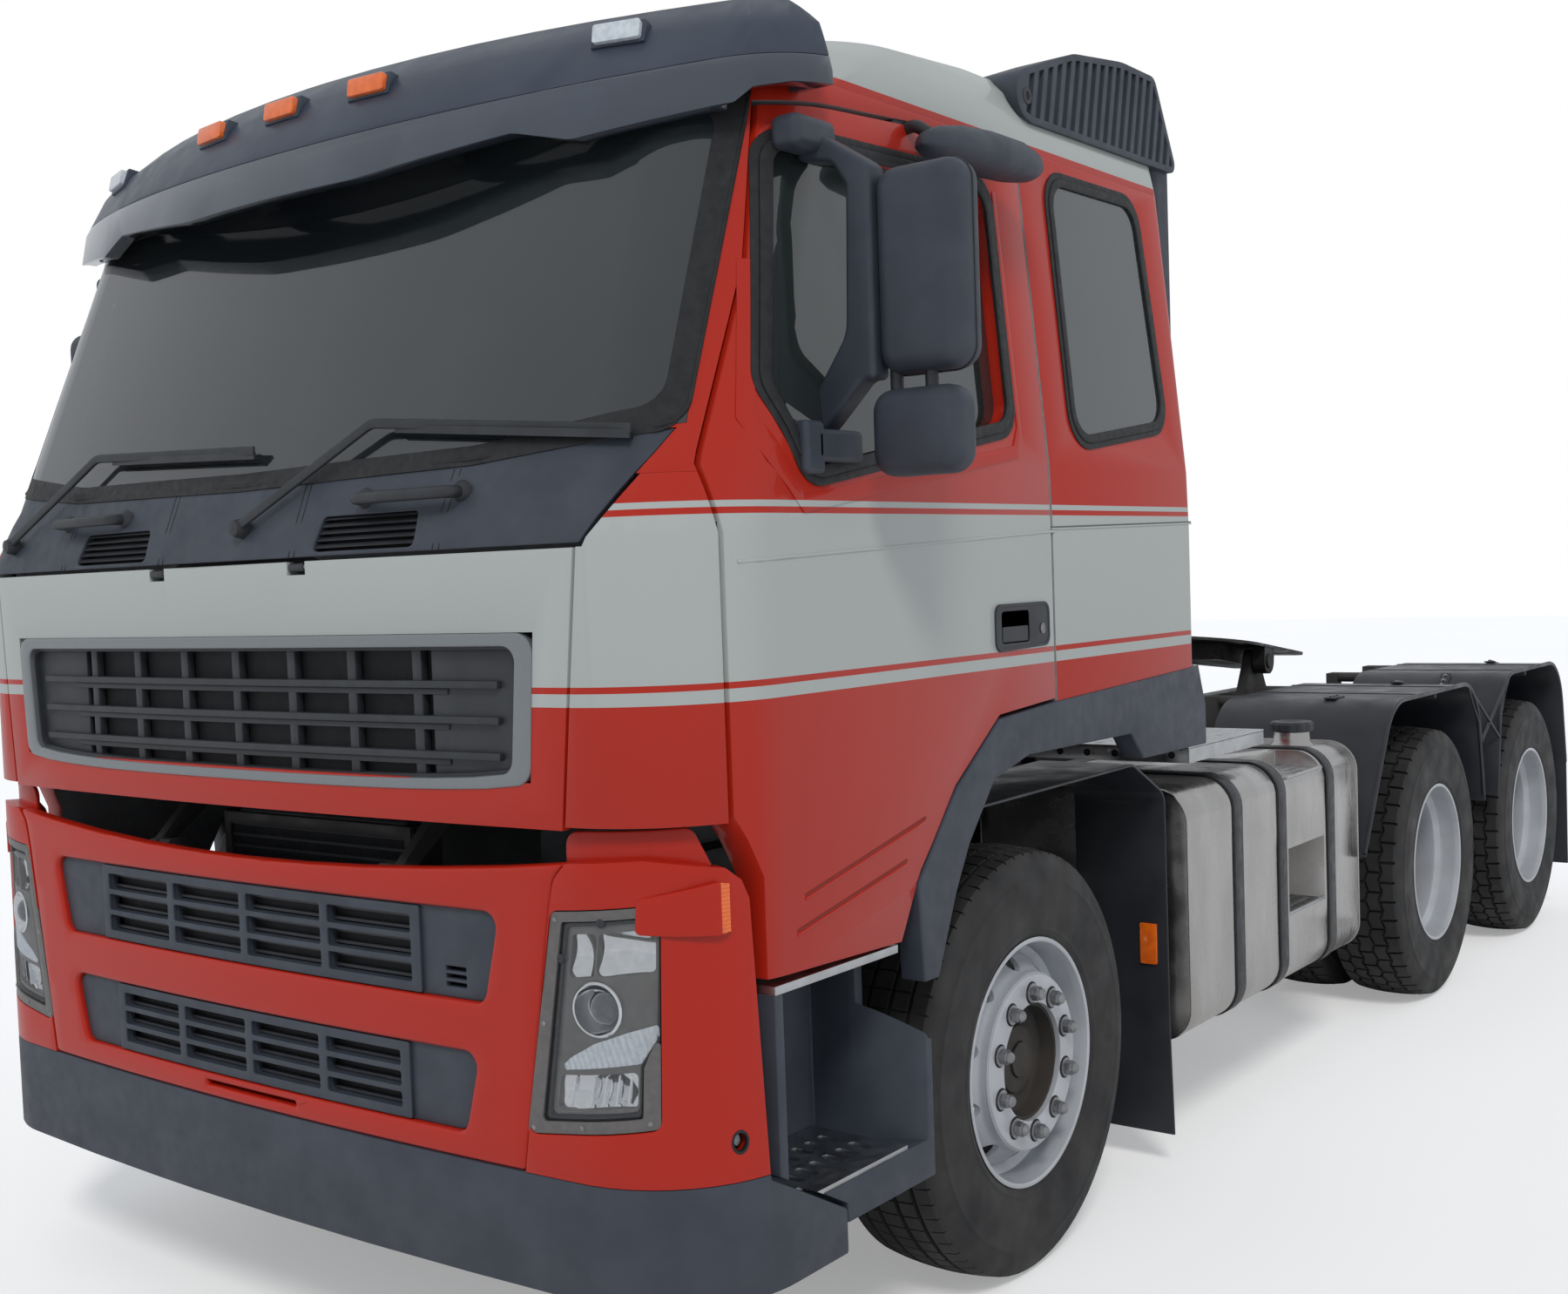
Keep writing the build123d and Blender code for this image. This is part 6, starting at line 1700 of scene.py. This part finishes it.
def mirror_parts():
    """Main and wide-angle mirror heads on their column, with the column's feet on the door."""
    seam_loop = bow(rect((1.3240, 2.0905), (1.5250, 2.4950)), 0.046, 8)
    bead = along([Vector((p.x, -0.733, p.y)) for p in seam_loop], ring_section(0.0020, 6), True, up=(0, 1, 0))
    parts = [(pillow(mirror_low, mirror_high, 0.045, 0.034, 0.018), "dark_plastic"),
             (pillow(wide_low, wide_high, 0.045, 0.030, 0.016), "dark_plastic"), (bead, "slat_plastic")]
    for low, high in mirror_glasses:
        parts.append((crate(low, high, 0.03, 6, upright=(0, 2, 1)), "mirror_glass"))
    column = prism(bow(mirror_column, 0.012, 5), -0.795, -0.735, "XZ")
    parts.append((rounded(column, 0.016, 5, 40), "dark_plastic"))
    for x in (1.350, 1.430):
        parts.append((tube([(x, -0.745, 2.050), (x, -0.745, 2.110)], 0.0135, 14), "slat_plastic"))
    return parts + [(pillow(low, high, radius, soft, 0.0), "dark_plastic") for low, high, radius, soft in mirror_feet]


both_hands("mirrors", mirror_parts, ("door_left", "door_right"), "dark_plastic", 40, replaces="mirrors")


pod_middle, pod_wall = Vector((1.275, 2.607)), 1.345
pod_stations = ((-0.50, 0.004), (-0.485, 0.45), (-0.44, 0.72), (-0.36, 0.92), (-0.24, 1.0), (-0.12, 0.95),
                (-0.05, 0.75), (-0.022, 0.45), (-0.012, 0.02))   # y, share of the full section
pod_rise, pod_fall = 0.062, 0.036


def kerb_mirror():
    """Streamlined pod over the window, seen from the pavement side."""
    rings = []
    for y, share in pod_stations:
        ring = []
        for side, lift in oval((0, 0), (1, 1), 20):
            x = pod_middle.x + pod_rise * share * side
            z = pod_middle.y + (pod_rise if lift > 0 else pod_fall) * share * lift + 0.03 * (0.25 + y)
            ring.append(Vector((min(x, pod_wall), y, z)))
        rings.append(ring)
    arm = tube(bent([(1.150, -0.400, 2.665), (1.200, -0.400, 2.668), (1.255, -0.380, 2.625)], 0.03), 0.014, 12)
    foot = crate((1.140, -0.450, 2.640), (1.172, -0.350, 2.690))
    return [(closed(strip(rings)), "dark_plastic"), (arm, "slat_plastic"),
            (rounded(foot, 0.006, 3, 40), "slat_plastic")]


put("kerb_mirror", kerb_mirror(), "door_left", None, 50)


# ---- fuel tank ----
tank_side, tank_foot, tank_top, tank_near, tank_corner = 1.218, 0.352, 1.063, 0.562, 0.094
tank_ends = (0.893, 2.297)
step_front, step_rear, step_depth = 1.650, 1.970, 0.155
step_levels = (1.010, 0.580)
cap_place, cap_lobes = (1.060, 2.130, 1.055), 6
cap_profile = ((0.056, 0.060), (0.060, 0.068), (0.082, 0.069), (0.090, 0.064), (0.092, 0.045), (0.086, 0.030),
               (0.086, 0.001))   # height over the neck's foot, radius


def tank_step(z):
    """Tread let into the tank's side: a plate with staggered holes and a toothed outer edge."""
    holes = []
    for row in range(3):
        for column in range(8):
            middle = (step_front + 0.030 + column * 0.037 + 0.012 * (row % 2),
                      tank_side - step_depth + 0.035 + row * 0.042)
            holes.append(oval(middle, (0.010, 0.010), 10))
    outline = rect((step_front + 0.003, tank_side - step_depth), (step_rear - 0.003, tank_side + 0.0015))
    tread = skin(outline, holes, lambda y, x, d: Vector((x, y, z + 0.0045 - d)), 0.004, 0.08)
    tooth = prism([(0.0, 0.0), (0.014, 0.0), (0.009, 0.007), (0.005, 0.007)], 1.2150, 1.2185, "YZ")
    teeth = repeated("row", tooth, "tread_aluminium", Count=20, Pitch=(0.0, 0.0155, 0.0))
    teeth.transform(Matrix.Translation((0, step_front + 0.006, z + 0.004)))
    return [(rounded(tread, 0.001, 1, 60), "tread_aluminium"), (teeth, "tread_aluminium")]


def tank_cap():
    """Filler neck and its scalloped cap."""
    neck = turned(((0.0, 0.001), (0.0, 0.075), (0.014, 0.071), (0.024, 0.060), (0.060, 0.058), (0.060, 0.001)),
                  cap_place, "Z", 40)
    rings = []
    for lift, reach in cap_profile:
        ring = []
        for x, y in oval((0, 0), (1, 1), 96):
            scallop = 0.045 * abs(sin(atan2(y, x) * cap_lobes)) if 0.058 < lift < 0.091 and reach > 0.06 else 0.0
            ring.append(Vector(cap_place) + Vector((x, y, 0)) * reach * (1 + scallop) + Vector((0, 0, lift)))
        rings.append(ring)
    return [(neck, "tank_aluminium"), (closed(strip(rings), 1e-6), "slat_plastic")]


def tank_parts():
    """Tank with its two treads, the beads round its ends and the filler."""
    # This cut takes nothing away: it only redraws the tank's faces before their edges are rounded
    clear_of_tank = crate((1.60, 0.0, 0.0), (1.61, 0.01, 0.01))
    parts = [(rounded(cut(frame_copy("fuel_tank", 0), clear_of_tank), 0.006), "tank_aluminium")]
    for z in step_levels:
        parts += tank_step(z)
    for station in tank_ends:
        rim = bow(rect((tank_near, tank_foot), (tank_side, tank_top)), tank_corner, 10)
        bead = along([Vector((p.x, station, p.y)) for p in rim], ring_section(0.004, 8), True, up=(0, 1, 0))
        parts.append((bead, "tank_aluminium"))
    return parts + tank_cap()


tank = put("fuel_tank_finished", tank_parts(), "chassis", "tank_alloy")
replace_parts(tank, "fuel_tank")


strap_stations, strap_half = (1.242, 1.593, 2.026), 0.036


def strap_parts():
    """Rubber under each strap, its turnbuckle and its end plate."""
    outline = bow(rect((tank_near - 0.004, tank_foot - 0.004), (tank_side + 0.004, tank_top + 0.004)),
                  tank_corner + 0.003, 8)
    section = rect((-0.0015, -strap_half), (0.0015, strap_half))
    parts = []
    for station in strap_stations:
        band = along([Vector((p.x, station, p.y)) for p in outline], section, True, up=(0, 1, 0))
        screw = tube([(0.62, station, 0.340), (0.80, station, 0.340)], 0.007, 10)
        parts += [(band, "seal_rubber"), (screw, "bolt_steel")]
        for x in (0.62, 0.80):
            plate = crate((x - 0.012, station - 0.022, 0.326), (x + 0.012, station + 0.022, 0.350))
            parts.append((rounded(plate, 0.003, 2), "strap_paint"))
    return parts


put("tank_strap_rubbers", strap_parts(), "chassis")


# ---- catwalk ----
deck_low, deck_high, deck_top = (-0.424, 0.993), (1.184, 1.558), 1.1745
lug_rows, lug_columns, lug_turn = 9, 26, 0.6


def deck_lugs():
    """Raised five-bar lugs of the tread plate, turned one way and the other in turn."""
    ridge = [Vector((x, y, 0)) for x, y in oval((0, 0), (0.020, 0.0055), 8)]
    lug = as_mesh(closed(strip([ridge, [Vector((p.x * 0.75, p.y * 0.55, 0.0024)) for p in ridge]])))
    whole = bmesh.new()
    for row in range(lug_rows):
        for column in range(lug_columns):
            x, y = deck_low[0] + 0.055 + column * 0.060, deck_low[1] + 0.040 + row * 0.0605
            turn = lug_turn if (row + column) % 2 else -lug_turn
            copy = lug.copy()
            copy.transform(Matrix.Translation((x, y, deck_top - 0.0002)) @ Matrix.Rotation(turn, 4, "Z"))
            whole.from_mesh(copy)
    return whole


def catwalk_parts():
    """Tread plate with its lugs, folded sides, the row of bores along the front (black discs of painted shade, no
    holes cut) and the legs.
    """
    deck = crate((*deck_low, 1.168), (*deck_high, deck_top))
    sides = [crate((*low, 1.128), (*high, 1.172))
             for low, high in ((deck_low, (deck_high[0], deck_low[1] + 0.004)),
                               ((deck_low[0], deck_high[1] - 0.004), deck_high),
                               ((deck_high[0] - 0.004, deck_low[1]), deck_high))]
    # Each bore is a thin black disc on the front side: painted shade standing for the dark inside of a hole.
    bores = [turned(((-0.0006, 0.001), (-0.0006, 0.0105), (0.0006, 0.0105), (0.0006, 0.001)),
                    (deck_low[0] + 0.06 + index * 0.088, deck_low[1] - 0.0003, 1.150), "Y", 16)
             for index in range(18)]
    legs = [crate((x, y, 1.009), (x + 0.058, y + 0.038, 1.168), 0.006)
            for x in (deck_low[0], 0.366) for y in (1.001, 1.501)]
    return [(rounded(deck, 0.001, 1), "tread_aluminium"), (deck_lugs(), "tread_aluminium"),
            (rounded(joined(*sides), 0.0015, 2), "tread_aluminium"), (joined(*bores), "deep_black"),
            (rounded(joined(*legs), 0.003, 2), "frame_paint")]


deck = put("catwalk_finished", catwalk_parts(), "chassis", "tread_alloy")
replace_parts(deck, "catwalk")

# ---- mudguards ----
for node in ("rear_mudguards", "front_mudguards"):
    softened(node, finish["guard_plastic"], "chassis", 0.0035, slot="guard_plastic")
softened("battery_box", finish["guard_plastic"], "chassis", 0.006, slot="guard_plastic")
on_guard = landed("rear_mudguards")


guard_near, guard_far = 0.604, 1.240       # x of a rear mudguard's two edges
seam_shifts = (-0.20, 0.18)                # stations of the cross seams, from the axle
bracket_plates = ((-0.43, 0.11), (0.33, 0.10))   # station from the axle, length


def guard_seam(station):
    """Low ridge laid across the mudguard."""
    path = []
    for step in range(24):
        hit = on_guard((guard_near + (guard_far - guard_near) * step / 23, station, 1.6), (0, 0, -1), 0.0012)
        if hit:
            path.append(hit[0])
    return [(along(path, [(-0.005, -0.0025), (0.005, -0.0025), (0.004, 0.0015), (-0.004, 0.0015)]), "guard_plastic")]


def guard_bead(axle):
    """Bead along the mudguard's outer edge, found by rays from the axle outwards."""
    bead = []
    for step in range(61):
        angle = pi * (0.02 + 0.96 * step / 60)
        ahead = Vector((0, cos(angle), -sin(angle)))
        hit = on_guard(Vector((guard_far - 0.002, axle, 0.53)) - ahead * 1.2, ahead, 0.003)
        if hit and hit[0].z > 0.66:
            bead.append(hit[0])
    return [(tube(bead, 0.006, 8), "guard_plastic")] if len(bead) > 3 else []


def bracket_plate(station, tall):
    """Plate with three bolts on top of the mudguard, over its bracket."""
    hit = on_guard((0.985, station, 1.7), (0, 0, -1))
    if not hit:
        return []
    stand = axes_at(*hit, (1, 0, 0)) @ Matrix.Rotation(pi / 2, 4, "Z")
    plate = crate((-0.022, -tall / 2, 0.0), (0.022, tall / 2, 0.006), 0.006)
    bolts = [(moved(hex_bolt(0.0075, 0.006), stand @ Matrix.Translation((0, spot, 0.006))), "bolt_steel")
             for spot in (-0.034, 0.0, 0.034)]
    return [(rounded(moved(plate, stand), 0.0015, 2), "frame_paint"), *bolts]


def guard_lamp(axle):
    """Marker lamp lying across the mudguard's front: clear barrel, amber end, and its bolted foot."""
    lamp_at = Vector((1.075, axle - 0.615, 0.985))

    def bar(start, end, radius, steps):
        return tube([lamp_at + Vector((start, 0, 0)), lamp_at + Vector((end, 0, 0))], radius, steps)
    foot = crate((lamp_at.x - 0.055, lamp_at.y + 0.012, 0.850), (lamp_at.x - 0.010, lamp_at.y + 0.019, 1.010), 0.004)
    stands = [axes_at((lamp_at.x - 0.032, lamp_at.y + 0.012, z), (0, -1, 0)) for z in (0.875, 0.930)]
    bolts = [(moved(hex_bolt(0.0075, 0.006), stand), "bolt_steel") for stand in stands]
    return [(bar(-0.075, 0.060, 0.019, 20), "clear_lens"), (bar(-0.07, 0.055, 0.013, 12), "white_lens"),
            (rounded(bar(0.060, 0.075, 0.0195, 20), 0.003, 2), "amber_lens"),
            (rounded(foot, 0.002, 2), "slat_plastic"), *bolts]


def guard_details():
    """Cross seams, edge beads, bolted bracket plates and marker lamps of the left mudguards."""
    parts = []
    for axle in drive_stations:
        for shift in seam_shifts:
            parts += guard_seam(axle + shift)
        parts += guard_bead(axle)
        for shift, tall in bracket_plates:
            parts += bracket_plate(axle + shift, tall)
        parts += guard_lamp(axle)
    return parts


both_hands("mudguard_details", guard_details, ("chassis", "chassis"))


def reflectors():
    """Round reflector on the first rear mudguard's skirt and upright one on the front mudguard's skirt."""
    disc = turned(((0.0, 0.001), (0.0, 0.034), (-0.007, 0.033), (-0.010, 0.028), (-0.010, 0.001)),
                  (1.150, 2.290, 0.760), "Y", 28)
    dot = turned(((0.0, 0.001), (0.0, 0.0045), (-0.0025, 0.004), (-0.0025, 0.001)), (1.150, 2.2795, 0.760), "Y", 12)
    upright = crate((1.100, 0.822, 0.580), (1.150, 0.830, 0.695), 0.004, 3, upright=(0, 2, 1))
    return [(disc, "amber_lens"), (dot, "deep_black"), (rounded(upright, 0.002, 2), "amber_lens")]


both_hands("reflectors", reflectors, ("chassis", "chassis"))

# ---- frame: bolts along the rails, and the tail lamps ----
rail_side = 0.4255
rail_bolt_places = ((-0.9, 0.80), (-0.9, 0.95), (0.55, 0.80), (0.55, 0.95), (1.70, 0.80), (1.78, 0.80), (1.70, 0.95),
                    (1.78, 0.95), (2.36, 0.80), (2.44, 0.80), (2.36, 0.95), (2.44, 0.95), (3.10, 0.93), (3.22, 0.93),
                    (3.34, 0.93), (3.84, 0.93), (3.84, 0.80), (3.93, 0.80), (3.93, 0.93), (4.5, 0.93), (4.62, 0.93),
                    (5.22, 0.95), (5.22, 0.80))   # y, z


def rail_bolts():
    """Bolt heads on the left rail's outer side."""
    points = [(Vector((rail_side, y, z)), Vector((1, 0, 0))) for y, z in rail_bolt_places]
    return [(set_on(points, hex_bolt(0.012, 0.010, 0.003), "bolt_steel"), "bolt_steel")]


both_hands("rail_bolts", rail_bolts, ("chassis", "chassis"))


softened("tail_lamps", finish["red_lens"], "chassis", 0.003, 35, "lamp_red")

# ---- air intake ----
softened("air_intake", finish["dark_plastic"], "cab", 0.006, slot="dark_plastic")


def intake_details():
    """Round lock on the intake's outer face: a ring with a dark middle."""
    x, y, z = 1.168, 0.168, 2.845
    ring = turned(((0.0, 0.010), (0.0, 0.021), (0.0025, 0.020), (0.0025, 0.011)), (x - 0.0005, y, z), "X", 24)
    dark = turned(((0.0, 0.001), (0.0, 0.010), (0.0015, 0.010), (0.0015, 0.001)), (x - 0.0006, y, z), "X", 20)
    return [(ring, "slat_plastic"), (dark, "deep_black")]


put("intake_details", intake_details(), "cab")


# ---- inside of the cab ----
def repaint(name, paint, test):
    """Gives another finish to the faces that pass a test on their middle (vehicle stations) and direction."""
    mesh = bpy.data.objects[name].data
    mesh.materials.append(finish[paint])
    index = len(mesh.materials) - 1
    back = to_frame.inverted()
    for face in mesh.polygons:
        if test(back @ face.center, face.normal):
            face.material_index = index


def wall_depth(spot):
    """How far a place lies inside the cab's outline at its height."""
    across, (x, y, corner) = abs(spot.x), corner_centre(spot.z)
    if spot.y >= y:
        return cab_section(spot.z)[0] - across
    if across > x:
        return corner - hypot(across - x, spot.y - y)
    return spot.y - front_point(across, spot.z).y


floor_height, lining_top = 1.345, 2.82


def is_lining(spot):
    """Whether a place of the shell is inside the cab, behind the thickness of its wall."""
    return wall_depth(spot) > 0.045 and spot.y < cab_rear - 0.02 and floor_height < spot.z < lining_top


repaint("cab_shell_finished", "lining_cloth", lambda p, n: is_lining(p))
repaint("cab_shell_finished", "frame_paint", lambda p, n: p.z < floor_height and abs(p.x) < 1.10)
repaint("cab_shell_finished", "slat_plastic", lambda p, n: p.y < -1.22 and 1.70 < p.z < 1.80 and abs(p.x) < 1.0)
repaint("cab_roof_finished", "lining_cloth", lambda p, n: n.z < -0.5)
for side in ("left", "right"):
    repaint(f"door_{side}_finished", "lining_cloth", lambda p, n: wall_depth(p) > 0.030 and abs(n.x) > 0.5)
repaint("front_panel_finished", "frame_paint", lambda p, n: n.y > 0.5)

seat_middle = 0.690
bunk_half, bunk_rear = 1.085, 0.845
seat_back_outline = ((0.045, 1.795), (0.150, 2.300), (0.215, 2.300), (0.165, 1.725), (0.092, 1.725))   # y, z
bellows, bellows_low, bellows_pitch = 7, 1.482, 0.024


def seat_parts(middle):
    """Cushion, back and headrest of a seat."""
    cushion = rounded(crate((middle - 0.238, -0.425, 1.655), (middle + 0.238, 0.085, 1.788), 0.07, 6), 0.035, 5, 40)
    back = rounded(prism(bow(seat_back_outline, 0.03, 4), middle - 0.232, middle + 0.232), 0.030, 5, 40)
    rest = rounded(crate((middle - 0.125, 0.130, 2.315), (middle + 0.125, 0.222, 2.435), 0.03, 5), 0.028, 5, 40)
    return cushion, back, rest


def seat_stand(middle):
    """Foot, bellows and the headrest's two posts."""
    foot = crate((middle - 0.185, -0.325, 1.352), (middle + 0.185, 0.035, 1.480), 0.02)
    parts = [(rounded(foot, 0.008, 2), "dash_plastic")]
    for index in range(bellows):
        half, low = 0.175 - 0.01 * (index % 2), bellows_low + index * bellows_pitch
        fold = crate((middle - half, -0.31, low), (middle + half, 0.02, low + bellows_pitch), 0.02)
        parts.append((rounded(fold, 0.008, 2), "dash_plastic"))
    for x in (middle - 0.07, middle + 0.07):
        parts.append((tube([(x, 0.178, 2.27), (x, 0.178, 2.34)], 0.008, 10), "bolt_steel"))
    return parts


for side, middle in (("left", seat_middle), ("right", -seat_middle)):
    for part, mesh in zip(("cushion", "back", "headrest"), seat_parts(middle)):
        piece = place(f"seat_{part}_{side}", mesh, finish["seat_cloth"], "cab", "seat_cloth", 50)
mattress = rounded(crate((-bunk_half, 0.305, 1.785), (bunk_half, bunk_rear, 1.898), 0.04, 5), 0.03, 5, 40)
mattress = place("bunk_mattress", mattress, finish["seat_cloth"], "cab", "seat_cloth", 50)
bunk = rounded(crate((-bunk_half, 0.335, 1.352), (bunk_half, bunk_rear, 1.780), 0.02), 0.01, 2)
stands = put("seat_stands", [*seat_stand(seat_middle), *seat_stand(-seat_middle), (bunk, "lining_cloth")],
             "cab", "seat_cloth")
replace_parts(stands, "seats")
softened("dashboard", finish["dash_plastic"], "cab", 0.012, slot="dash_plastic")


# ---- stage, light and camera ----
def lit_backdrop(name, colour, strength):
    """Pale surface that the camera, gloss and glass see as plain white, and that still takes shadow."""
    made = Finish(colour, 0.9)
    made.mottle(tuple(value * 0.97 for value in colour), 0.4)
    nodes, links = made.tree.nodes, made.tree.links
    rays, glow = nodes.new("ShaderNodeLightPath"), nodes.new("ShaderNodeMath")
    glow.operation = "MULTIPLY"
    glow.inputs[1].default_value = strength
    links.new(rays.outputs["Is Camera Ray"], glow.inputs[0])
    made.shader.inputs["Emission Color"].default_value = (1.0, 1.0, 1.0, 1.0)
    links.new(glow.outputs[0], made.shader.inputs["Emission Strength"])
    return made.named(name)


SKY_COLOUR, SKY_STRENGTH = (0.86, 0.92, 1.0, 1.0), 0.50
GLOSS_WHITE = 0.30       # share of the white background that reflections see
FLOOR_COLOUR, FLOOR_GLOW = (0.80, 0.80, 0.80), 0.30
FLOOR_SIZE = 40.0


def build_stage():
    """Pale floor, wide enough to pass for open ground."""
    bm = bmesh.new()
    bmesh.ops.create_grid(bm, x_segments=8, y_segments=8, size=FLOOR_SIZE)
    floor = bpy.data.objects.new("floor", as_mesh(bm))
    floor.data.materials.append(lit_backdrop("floor_pale", FLOOR_COLOUR, FLOOR_GLOW))
    scene.collection.objects.link(floor)


def build_world():
    """Soft bluish light; the camera and glass see it as plain white, and gloss in part."""
    world = bpy.data.worlds.new("studio")
    scene.world = world
    world.use_nodes = True
    nodes, links = world.node_tree.nodes, world.node_tree.links
    nodes.clear()
    output = nodes.new("ShaderNodeOutputWorld")
    rays = nodes.new("ShaderNodeLightPath")
    soft, white = nodes.new("ShaderNodeBackground"), nodes.new("ShaderNodeBackground")
    soft.inputs["Color"].default_value = SKY_COLOUR
    soft.inputs["Strength"].default_value = SKY_STRENGTH
    white.inputs["Color"].default_value = (1.0, 1.0, 1.0, 1.0)
    white.inputs["Strength"].default_value = 1.0
    seen = nodes.new("ShaderNodeMath")
    seen.operation = "MAXIMUM"
    links.new(rays.outputs["Is Camera Ray"], seen.inputs[0])
    links.new(rays.outputs["Is Transmission Ray"], seen.inputs[1])
    gloss = nodes.new("ShaderNodeMath")
    gloss.operation = "MULTIPLY_ADD"
    gloss.inputs[1].default_value = GLOSS_WHITE
    links.new(rays.outputs["Is Glossy Ray"], gloss.inputs[0])
    links.new(seen.outputs[0], gloss.inputs[2])
    mix = nodes.new("ShaderNodeMixShader")
    links.new(gloss.outputs[0], mix.inputs[0])
    links.new(soft.outputs[0], mix.inputs[1])
    links.new(white.outputs[0], mix.inputs[2])
    links.new(mix.outputs[0], output.inputs["Surface"])


def sun(name, strength, at, towards, angle, colour=(1, 1, 1)):
    """Sun lamp seen under an angle in degrees, shining from a place towards another."""
    data = bpy.data.lights.new(name, "SUN")
    data.energy = strength
    data.color = colour
    data.angle = radians(angle)
    made = bpy.data.objects.new(name, data)
    scene.collection.objects.link(made)
    made.location = at
    made.visible_glossy = False
    made.rotation_euler = (Vector(towards) - Vector(at)).to_track_quat("-Z", "Y").to_euler()


def build_lamps():
    """Key from the front left, a wide fill from the front right and a faint one from the side."""
    target = (0.0, 0.0, 1.4)
    sun("key", 1.45, (5.0, -6.5, 9.5), target, 14.0, (1.0, 0.98, 0.95))
    sun("fill", 0.55, (-8.0, -5.0, 5.0), target, 40.0, (0.93, 0.96, 1.0))
    sun("side", 0.40, (9.0, 3.0, 3.0), target, 40.0)


# Camera: its place from the front axle in metres, angles in degrees, the lens in pixels of the picture
CAMERA_AT = (3.214, -3.690, 1.710)
CAMERA_YAW, CAMERA_PITCH, CAMERA_ROLL = 38.59, -2.88, -2.12
FOCAL_PIXELS, IMAGE_WIDTH, IMAGE_HEIGHT = 2001.0, 1800.0, 1486.0
CENTRE_PIXEL = (821.0, 762.0)
SENSOR = 36.0


def build_camera():
    """Camera turned by yaw, pitch and roll, its optical centre off the picture's middle."""
    yaw, pitch, roll = radians(CAMERA_YAW), radians(CAMERA_PITCH), radians(CAMERA_ROLL)
    ahead = Vector((-sin(yaw) * cos(pitch), cos(yaw) * cos(pitch), sin(pitch)))
    right = Vector((cos(yaw), sin(yaw), 0.0))
    up = right.cross(ahead)
    turned_right = right * cos(roll) + up * sin(roll)
    turned_up = up * cos(roll) - right * sin(roll)
    data = bpy.data.cameras.new("camera")
    data.sensor_width = SENSOR
    data.lens = FOCAL_PIXELS / IMAGE_WIDTH * SENSOR
    data.shift_x = (IMAGE_WIDTH / 2 - CENTRE_PIXEL[0]) / IMAGE_WIDTH
    data.shift_y = (CENTRE_PIXEL[1] - IMAGE_HEIGHT / 2) / IMAGE_WIDTH
    data.clip_start, data.clip_end = 0.05, 200.0
    made = bpy.data.objects.new("camera", data)
    scene.collection.objects.link(made)
    turn = Matrix((turned_right, turned_up, -ahead)).transposed().to_4x4()
    made.matrix_world = Matrix.Translation(Vector(CAMERA_AT) + Vector((0, axle_line, 0))) @ turn
    scene.camera = made


build_stage()
build_world()
build_lamps()
build_camera()
scene.view_settings.view_transform = "Standard"
